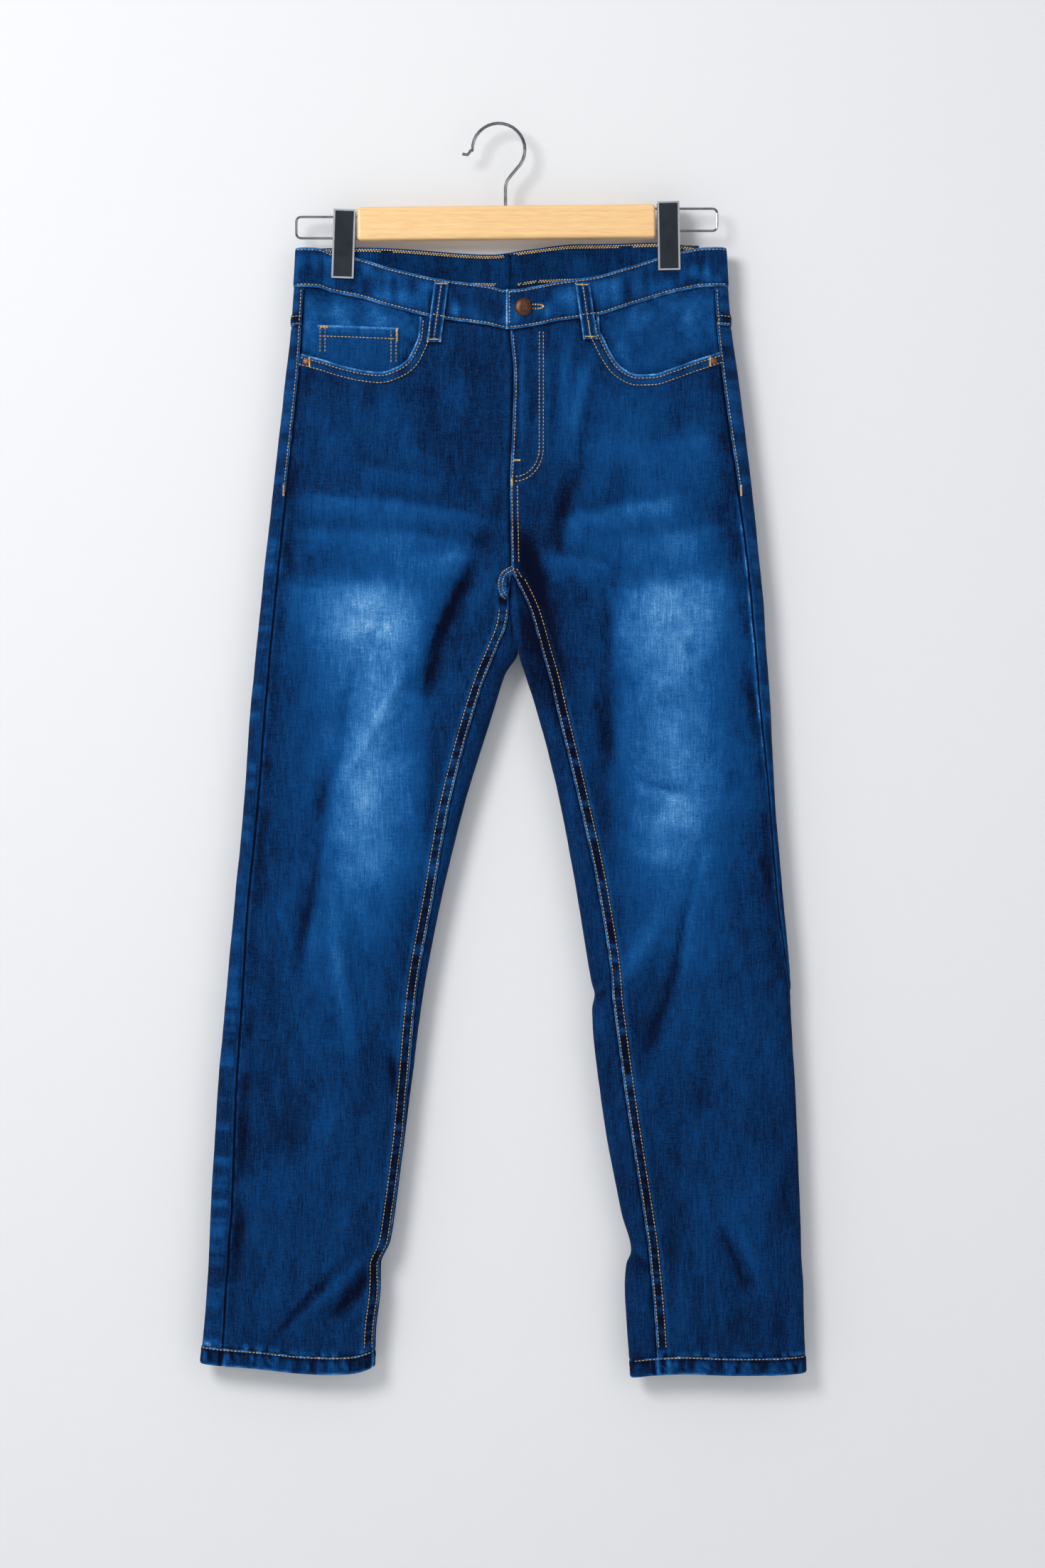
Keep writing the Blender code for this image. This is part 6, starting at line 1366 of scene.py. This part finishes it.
def curlPiece():
    path = smoothPath(curl["line"], curl["steps"])
    along = np.gradient(path, axis=0)
    along /= np.linalg.norm(along, axis=1, keepdims=True)
    point, normal = skinAt(path[:, 0] < skin["legSplitX"], True, path[:, 0], path[:, 1])
    point = point + normal * (creaseAt(True, path[:, 0], path[:, 1]) - curl["sink"])[:, None]
    forwards = np.stack((along[:, 0], 0.0 * along[:, 0], along[:, 1]), axis=1)
    sideways = np.cross(forwards, normal)
    sideways /= np.linalg.norm(sideways, axis=1, keepdims=True)
    place = np.linspace(0.0, 1.0, len(path))
    tapered = np.minimum(place / curl["startTaper"], (1.0 - place) / curl["endTaper"])
    swell = np.sqrt(np.clip(tapered, 0.02, 1.0))
    verts, worn, dark = [], [], []
    for n in range(curl["around"]):
        turn = math.tau * n / curl["around"]
        wide, high = math.cos(turn), math.sin(turn)
        ridge = 1.0 + 0.10 * wobble(place * curl["ridgeLength"], 2.2, 171) + 0.06 * (abs(wide) > 0.3)
        verts.append(point + sideways * (curl["half"] * wide * swell * ridge)[:, None]
                     + normal * (curl["high"] * high * swell * ridge)[:, None])
        # Worn pale along its top and one edge; its underside and its other side are painted darker as shade
        patchy = np.clip(0.6 + 0.6 * wobble(place * curl["ridgeLength"], 1.7, 172 + n), 0.0, 1.4)
        worn.append(patchy * (0.22 * max(high, 0.0) ** 2 + 0.16 * (wide < -0.6)))
        dark.append(np.full(len(path), 0.14 * max(-high, 0.0) + 0.10 * (wide > 0.7)))
    verts = np.stack(verts, axis=1).reshape(-1, 3)
    count, around = len(path), curl["around"]
    faces = [(r * around + c, r * around + (c + 1) % around,
              (r + 1) * around + (c + 1) % around, (r + 1) * around + c)
             for r in range(count - 1) for c in range(around)]
    faces += [tuple(range(around - 1, -1, -1)), tuple((count - 1) * around + c for c in range(around))]
    piece = addPiece("seam_curl", (verts * mm).tolist(), faces, (denim,))
    paintPoints(piece, {"worn": np.stack(worn, axis=1).ravel(), "dark": np.stack(dark, axis=1).ravel()})
    outerFaces.append((verts * mm, np.array(faces[:-2])))

curlPiece()
for leg in inwardOf:
    for maker in (frontPanel, backPanel, yokePiece, bandPiece, hemPiece, facingPiece, backPocketPiece):
        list(maker(leg))
    print(f"{leg} half of the jeans is cut and hung")
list(coinPiece())
for row in loops["rows"]:
    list(loopPiece(*row))
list(shieldPiece())
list(labelPiece())
print("pockets, loops, fly underlay and label are made")

# Sewing: each stitch is a small rounded bead of thread laid on the cloth's own surface
sewing = {"pitch": 3.35, "length": 2.6, "wide": 0.44, "high": 0.34, "sink": 0.12, "backReach": 14.0,
          "inseamTop": {"left": -447.0, "right": -419.0}, "inseamEnd": -1131.0,
          "outseamTop": -153.0, "outseamEnd": -336.0, "outseamInset": 2.2, "outseamBar": (-333.0, -342.5),
          "backPocketRows": (2.2, 8.5), "chainPitch": 2.5, "chainHalf": 0.7, "chainFat": 1.7,
          "rayLength": 0.04, "shortest": 0.0005, "longest": 0.0065, "longestBar": 0.006, "barStep": 0.7,
          "barFat": 1.25}
offsets = np.cumsum([0] + [len(points) for points, _ in outerFaces])
surface = BVHTree.FromPolygons(
    [tuple(point) for points, _ in outerFaces for point in points.tolist()],
    [tuple(face) for (points, faces), start in zip(outerFaces, offsets) for face in (faces + start).tolist()])
stitchRows = {"front": [], "back": [], "inside": []}

# Points laid on the cloth from outside it, or from the cavity on the inside of the waistband
def layOn(isLeft, isFront, x, z, fromInside=False):
    point, normal = skinAt(isLeft, isFront, x, z, skin["bandStep"])
    places, facings = [], []
    for spot, way in zip(point, normal):
        way = Vector(way)
        start = (Vector(spot) + way * sewing["backReach"]) * mm
        hit, face, _, _ = surface.ray_cast(start, -way, sewing["rayLength"])
        if hit is not None:
            face = face if face.dot(way) > 0 else -face
            if fromInside:
                hit, face = hit - way * (band["thick"] + 0.5) * mm, -face
        places.append(hit)
        facings.append(face)
    return places, facings

# A row of stitches along a path of X and height; where isLeft is None, each stitch's X says
def sewRow(group, path, isLeft, isFront, pitch=sewing["pitch"], fromInside=False, start=0.0, fat=1.0):
    path = np.asarray(path, float)
    lengths = lengthsAlong(path)
    firsts = np.arange(start, lengths[-1] - sewing["length"], pitch)
    if not len(firsts):
        return
    ends = np.stack((firsts, firsts + sewing["length"] * pitch / sewing["pitch"]), axis=1).ravel()
    x, z = np.interp(ends, lengths, path[:, 0]), np.interp(ends, lengths, path[:, 1])
    if not np.isscalar(isFront):
        isFront = np.asarray(isFront)[np.minimum(np.searchsorted(lengths, ends), len(path) - 1)]
    if isLeft is None:
        isLeft = x < skin["legSplitX"]
    places, facings = layOn(isLeft, isFront, x, z, fromInside)
    for a, b, up, nextUp in zip(places[::2], places[1::2], facings[::2], facings[1::2]):
        if a is not None and b is not None and sewing["shortest"] < (b - a).length < sewing["longest"]:
            stitchRows[group].append((a, b, (up + nextUp).normalized(), fat))

# A bar of close stitches across a line from a to b
def tackBar(group, a, b, isLeft, isFront, wide=2.0):
    a, b = Vector(a), Vector(b)
    count = max(3, int((b - a).length / sewing["barStep"]))
    across = Vector((-(b - a).y, (b - a).x)).normalized() * wide / 2.0
    spots = np.array([a.lerp(b, n / count) + across * sign for n in range(count + 1) for sign in (-1, 1)])
    places, facings = layOn(isLeft, isFront, spots[:, 0], spots[:, 1])
    for a, b, up in zip(places[::2], places[1::2], facings[::2]):
        if a is not None and b is not None and (a - b).length < sewing["longestBar"]:
            stitchRows[group].append((a, b, up, sewing["barFat"]))

# One mesh of a group's beads, each through three rings of four points, with a tip at each end
def stitchMesh(name, rows, material):
    a, b, up = (np.array([row[n] for row in rows]) for n in range(3))
    fat = np.array([row[3] for row in rows])[:, None]
    span = np.linalg.norm(b - a, axis=1, keepdims=True)
    along = (b - a) / span
    sideways = np.cross(along, up)
    sideways /= np.linalg.norm(sideways, axis=1, keepdims=True)
    wide, high, sink = sewing["wide"] * mm * fat, sewing["high"] * mm * fat, sewing["sink"] * mm
    points = [a - up * sink]
    for share, size in ((0.14, 0.75), (0.5, 1.0), (0.86, 0.75)):
        middle = a + along * span * share + up * (high * size - sink + 0.1 * mm * size)
        points += [middle + sideways * wide * size, middle + up * high * size,
                   middle - sideways * wide * size, middle - up * high * size]
    points = np.stack(points + [b - up * sink], axis=1)
    quads = [(1 + 4 * ring + n, 1 + 4 * ring + (n + 1) % 4, 5 + 4 * ring + (n + 1) % 4, 5 + 4 * ring + n)
             for ring in range(2) for n in range(4)]
    tips = [(0, 1 + (n + 1) % 4, 1 + n) for n in range(4)] + [(13, 9 + n, 9 + (n + 1) % 4) for n in range(4)]
    faces = [tuple(corner + 14 * n for corner in face) for n in range(len(rows)) for face in quads + tips]
    addPiece(name, points.reshape(-1, 3).tolist(), faces, (material,))
    print(f"{name}: {len(rows)} stitches")

def downLine(low, high, place, step=6.0):
    z = np.arange(low, high, -step)
    return np.stack((place(z), z), axis=1)

def inseamRow(leg, away, z):
    return fromOuter(leg, z, frontEnds(leg, z)[1] - away)[1]

def outseamRow(leg, z):
    return fromOuter(leg, z, arcOf(legAt(leg, "turn", z), depthAt("fold", z)) - sewing["outseamInset"])[1]

chains = []
for leg in inwardOf:
    isLeft, inward = leg == "left", inwardOf[leg]
    # Inseam: two rows on the lapped band
    for away in panels["rowPlaces"]:
        line = downLine(sewing["inseamTop"][leg], sewing["inseamEnd"], lambda z: inseamRow(leg, away, z))
        sewRow("front", line, isLeft, True)
    # Outseam: one row on the back's side, down to a bar
    line = downLine(sewing["outseamTop"], sewing["outseamEnd"], lambda z: outseamRow(leg, z), 4.0)
    sewRow("front", line, isLeft, True)
    barX = float(outseamRow(leg, np.array([sewing["outseamEnd"]]))[0])
    barTop, barEnd = sewing["outseamBar"]
    tackBar("front", (barX, barTop), (barX, barEnd), isLeft, True)
    # Yoke: on the strips beside the outseams and across the back
    columns = backColumns()
    isFront, x, z = settle(leg, np.array([2.0]), len(columns), lambda z: backX(leg, z, columns))
    for drop in panels["rowPlaces"]:
        sewRow("back", np.stack((x[0], z[0] + drop), axis=1), isLeft, isFront[0])
    # Hem
    outer, inner = (float(legAt(leg, edge, -1135.0)) for edge in ("outer", "inner"))
    x = np.linspace(outer + 1.5 * inward, inner - 1.5 * inward, 60)
    path = np.stack((x, readLine(hemBottom[leg], x) + hem["rowPlace"]), axis=1)
    for group, isFront in (("front", True), ("back", False)):
        sewRow(group, path, isLeft, isFront)
    # Pocket mouth
    path = mouthPath(leg)
    for away in mouth["rowPlaces"]:
        line = pathOffset(path, inward * away)
        sewRow("front", line[line[:, 1] < readLine(bandBottomFront, line[:, 0]) - 1.0], isLeft, True)
    # Back pockets: two rows round three sides and two across the top
    for inset in sewing["backPocketRows"]:
        side, low = 1.0 - inset / pockets["backBottomHalf"], 1.0 - inset / pockets["backHeight"]
        corners = [(-side, low * n / 12) for n in range(13)]
        corners += [(side * (n / 8.0 - 1.0), low) for n in range(1, 16)]
        corners += [(side, low * n / 12) for n in range(12, -1, -1)]
        sewRow("back", [backPocketEdge(leg, across, down) for across, down in corners], isLeft, False)
        down = (inset + 6.0) / pockets["backHeight"]
        sewRow("back", [backPocketEdge(leg, across, down) for across in np.linspace(-0.96, 0.96, 30)],
               isLeft, False)
    # Waistband: a row beside each edge, all round, and chain stitch on the inside of the back
    outer = float(legAt(leg, "outer", band["sideZ"])) + 3.0 * inward
    frontEnd = band["tabEdgeX"] + (-1.0 if isLeft else 2.5)
    for group, isFront, end in (("front", True, frontEnd), ("back", False, centreBack[0][1])):
        x = np.linspace(outer, end, 90)
        top, low = bandEdges(isFront, x)
        for z in (top - band["rowPlace"], low + band["rowPlace"]):
            sewRow(group, np.stack((x, z), axis=1), isLeft, isFront)
    chains.append(np.stack((x, top - 2.6), axis=1))
    # Seat seam
    if isLeft:
        for away in panels["rowPlaces"]:
            line = downLine(-160.0, -484.0, lambda z: readLine(centreBack, z) - away)
            sewRow("back", line, True, False)

# Chain stitch on the inside of the waistband's back, its lower row in four stretches
chainStretches = (((-33.0, -145.2), (-0.9, -145.6)), ((10.5, -146.4), (22.0, -144.8)),
                  ((22.0, -144.8), (36.4, -142.6)), ((36.4, -142.6), (84.0, -141.0)))
chains += [np.linspace(start, end, 8) for start, end in chainStretches]
for line in chains:
    for shift in (-sewing["chainHalf"], sewing["chainHalf"]):
        sewRow("inside", line + (0.0, shift), None, False, sewing["chainPitch"], True,
               sewing["chainHalf"] + shift, sewing["chainFat"])

# Fly: the lap's edge and the curved double row
flyRows = {"lapInset": 2.4, "x": 41.0, "top": -194.0, "gap": 3.6, "curveZ": -300.0, "radius": 26.0,
           "deep": 1.16, "lastTurn": 1.45, "endX": 13.6}
line = downLine(-197.0, -330.0, lambda z: readLine(centreFront, z) + flyRows["lapInset"])
sewRow("front", line, False, True)
for inset in (0.0, flyRows["gap"]):
    radius = flyRows["radius"] - inset
    middleX, deep = flyRows["x"] - flyRows["radius"], flyRows["deep"] * radius
    curve = [(flyRows["x"] - inset, z) for z in np.arange(flyRows["top"], flyRows["curveZ"] + 4.0, -6.0)]
    curve += [(middleX + radius * math.cos(turn), flyRows["curveZ"] - deep * math.sin(turn))
              for turn in np.linspace(0.0, flyRows["lastTurn"], 16)]
    sewRow("front", curve + [(flyRows["endX"], flyRows["curveZ"] - deep)], False, True)
# Where the right inseam's rows start, the centre seam below the fly, and the curl at its foot
for line in (((16.6, -409.8), (19.4, -414.4), (22.2, -419.0), (23.0, -420.6)),
             ((13.4, -408.6), (15.2, -413.6), (18.0, -419.0))):
    sewRow("front", line, False, True)
for away in (1.9, 7.0):
    sewRow("front", downLine(-334.0, -409.0, lambda z: readLine(centreFront, z) + away), False, True)
for shift in (2.6, -0.6):
    sewRow("front", pathOffset(smoothPath(curl["line"], 30), shift), None, True, pitch=2.6)
# The lap's end and its buttonhole
lapX = band["tabEdgeX"] + 3.0
sewRow("front", [(lapX, -154.0), (lapX, -187.0)], False, True)
buttonhole = {"x": 30.0, "z": -171.4, "halfLength": 11.0, "halfHeight": 1.7, "stitches": 26}
for n in range(buttonhole["stitches"]):
    turn = math.tau * n / buttonhole["stitches"]
    x = buttonhole["x"] + buttonhole["halfLength"] * math.cos(turn)
    z = buttonhole["z"] + buttonhole["halfHeight"] * math.sin(turn) * (1.0 + 0.5 * math.cos(turn))
    tackBar("front", (x - 0.2, z), (x + 0.2, z), False, True, 1.7)
# The coin pocket
coinLeft, coinRight = pockets["coinLeftX"], pockets["coinRightX"]
coinRows = [((coinLeft + 1.5, -196.0), (coinRight - 1.5, -200.0))]
for inset in (2.4, 7.0):
    coinRows += [((coinLeft + inset, -188.0), (coinLeft + inset, -212.5)),
                 ((coinRight - inset, -192.0), (coinRight - inset, -222.5))]
for line in coinRows:
    sewRow("front", line, True, True)
# Bars at the fly, the coin pocket and the rivets: start, end, whether on the left, and width
bars = (
    ((14.4, -311.0), (19.6, -311.0), False, 2.0),
    ((12.4, -327.5), (12.4, -334.5), False, 2.4),
    ((coinRight - 1.6, -190.5), (coinRight - 1.6, -202.0), True, 2.0),
    ((coinLeft + 3.0, -187.0), (coinLeft + 9.0, -187.4), True, 3.0),
    ((-173.2, -216.4), (-173.2, -224.6), True, 2.0),
    ((194.0, -216.0), (194.0, -224.0), False, 2.0),
)
for start, end, isLeft, wide in bars:
    tackBar("front", start, end, isLeft, True, wide)
# Belt loops: a row down each and a bar at each end
for _, isFront, topX, topZ, bottomX, bottomZ in loops["rows"]:
    group = "front" if isFront else "back"
    isLeft = topX < skin["legSplitX"]
    sewRow(group, [(topX, topZ - 1.0), (bottomX, bottomZ + 1.0)], isLeft, isFront)
    for x, z in ((topX, topZ - 2.2), (bottomX, bottomZ + 2.4)):
        tackBar(group, (x - 4.6, z), (x + 4.6, z), isLeft, isFront, 1.3)
for group, colour in (("front", thread), ("back", thread), ("inside", brightThread)):
    stitchMesh(f"{group}_sewing", stitchRows[group], colour)
print("the sewing is laid")

# Metal, wood and trim that keep their solids
finishes = (
    (wood, ("hanger_bar",)),
    (shadedChrome, ("hook", "rail_left", "rail_right", "clip_left_body", "clip_right_body", "clip_left_back",
            "clip_right_back")),
    (litChrome, ("clip_left_front", "clip_right_front")),
    (blackGloss, ("clip_left_insert", "clip_right_insert")),
    (darkCopper, ("button",)),
    (copper, ("rivet_left", "rivet_right")),
    (zipBrass, ("zip_tape", "zip_slider")),
)
for material, nodes in finishes:
    for node in nodes:
        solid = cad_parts[node]
        for socket in solid.material_slots:
            socket.material = material
        solid.data.shade_smooth()
        solid.data.set_sharp_from_angle(angle=math.radians(35.0))
print("the hanger and the trim have their finishes")

# Camera, wall, floor and lights
studio = {"cameraY": -2.9, "cameraX": 0.022, "cameraZ": -0.607, "lens": 72.3, "wallY": 0.0222,
          "floorZ": -1.40, "reach": 4, "wallTopZ": 3, "wallColour": (0.64, 0.645, 0.648),
          "floorColour": (0.72, 0.725, 0.73), "keyPower": 56.0, "keyPlace": (-1.3, -2.25, 0.62),
          "keySize": 1.1, "fillPower": 9.5, "backPower": 34.0, "world": 0.84}
lens = bpy.data.cameras.new("studio_camera")
lens.sensor_fit, lens.sensor_height, lens.sensor_width = "VERTICAL", 36.0, 36.0
lens.lens = studio["lens"]
lens.dof.use_dof = False
view = bpy.data.objects.new("studio_camera", lens)
view.location = (studio["cameraX"], studio["cameraY"], studio["cameraZ"])
view.rotation_euler = (math.pi / 2.0, 0.0, 0.0)
bpy.context.collection.objects.link(view)
bpy.context.scene.camera = view

def stageSheet(name, corners, colour, oneSided):
    mesh = bpy.data.meshes.new(name)
    mesh.from_pydata(corners, [], [(0, 1, 2, 3)])
    mesh.update()
    material, tree, shader = freshMaterial(name)
    setInputs(shader, {"Base Color": (*colour, 1.0), "Roughness": 0.9, "Specular IOR Level": 0.0})
    if oneSided:
        # Nothing of the wall is seen from behind it
        geometry = addNode(tree, "ShaderNodeNewGeometry")
        clear = addNode(tree, "ShaderNodeBsdfTransparent")
        mix = addNode(tree, "ShaderNodeMixShader")
        tree.links.new(geometry.outputs["Backfacing"], mix.inputs["Fac"])
        tree.links.new(shader.outputs[0], mix.inputs[1])
        tree.links.new(clear.outputs[0], mix.inputs[2])
        tree.links.new(mix.outputs[0], tree.nodes["Material Output"].inputs["Surface"])
    mesh.materials.append(material)
    sheet = bpy.data.objects.new(name, mesh)
    bpy.context.collection.objects.link(sheet)
    return sheet

wallY, floorZ, topZ, reach = (studio[key] for key in ("wallY", "floorZ", "wallTopZ", "reach"))
wall = stageSheet("pale_wall", [(-reach, wallY, floorZ), (reach, wallY, floorZ), (reach, wallY, topZ),
                                (-reach, wallY, topZ)], studio["wallColour"], True)
wall.visible_shadow = False
stageSheet("pale_floor", [(-reach, -reach, floorZ), (reach, -reach, floorZ), (reach, reach, floorZ),
                          (-reach, reach, floorZ)], studio["floorColour"], False)

def softLight(name, place, target, size, power):
    lamp = bpy.data.lights.new(name, "AREA")
    lamp.shape, lamp.size, lamp.energy = "DISK", size, power
    light = bpy.data.objects.new(name, lamp)
    light.location = place
    light.rotation_euler = (Vector(target) - Vector(place)).to_track_quat("-Z", "Y").to_euler()
    bpy.context.collection.objects.link(light)

softLight("key_light", studio["keyPlace"], (0.0, 0.0, -0.55), studio["keySize"], studio["keyPower"])
softLight("fill_light", (1.6, -2.2, -0.2), (0.0, 0.0, -0.7), 1.6, studio["fillPower"])
softLight("back_light", (0.4, 2.9, -0.3), (0.0, 0.0, -0.5), 2.0, studio["backPower"])
# The air is bright above and to the front left, and dim low down and to the right
world = bpy.data.worlds.new("studio_air")
world.use_nodes = True
air = world.node_tree
spread = addNode(air, "ShaderNodeSeparateXYZ")
air.links.new(addNode(air, "ShaderNodeTexCoord").outputs["Generated"], spread.inputs[0])
slope = maths(air, "ADD", maths(air, "MULTIPLY", spread.outputs["X"], -0.35),
              maths(air, "MULTIPLY", spread.outputs["Z"], 0.55))
strength = maths(air, "MULTIPLY", maths(air, "ADD", slope, 0.62, clamp=True), studio["world"])
air.nodes["Background"].inputs["Color"].default_value = (0.93, 0.95, 1.0, 1.0)
air.links.new(strength, air.nodes["Background"].inputs["Strength"])
bpy.context.scene.world = world
bpy.context.scene.view_settings.view_transform = "Standard"
bpy.context.scene.view_settings.look = "None"
print("camera, wall, floor and lights are set")
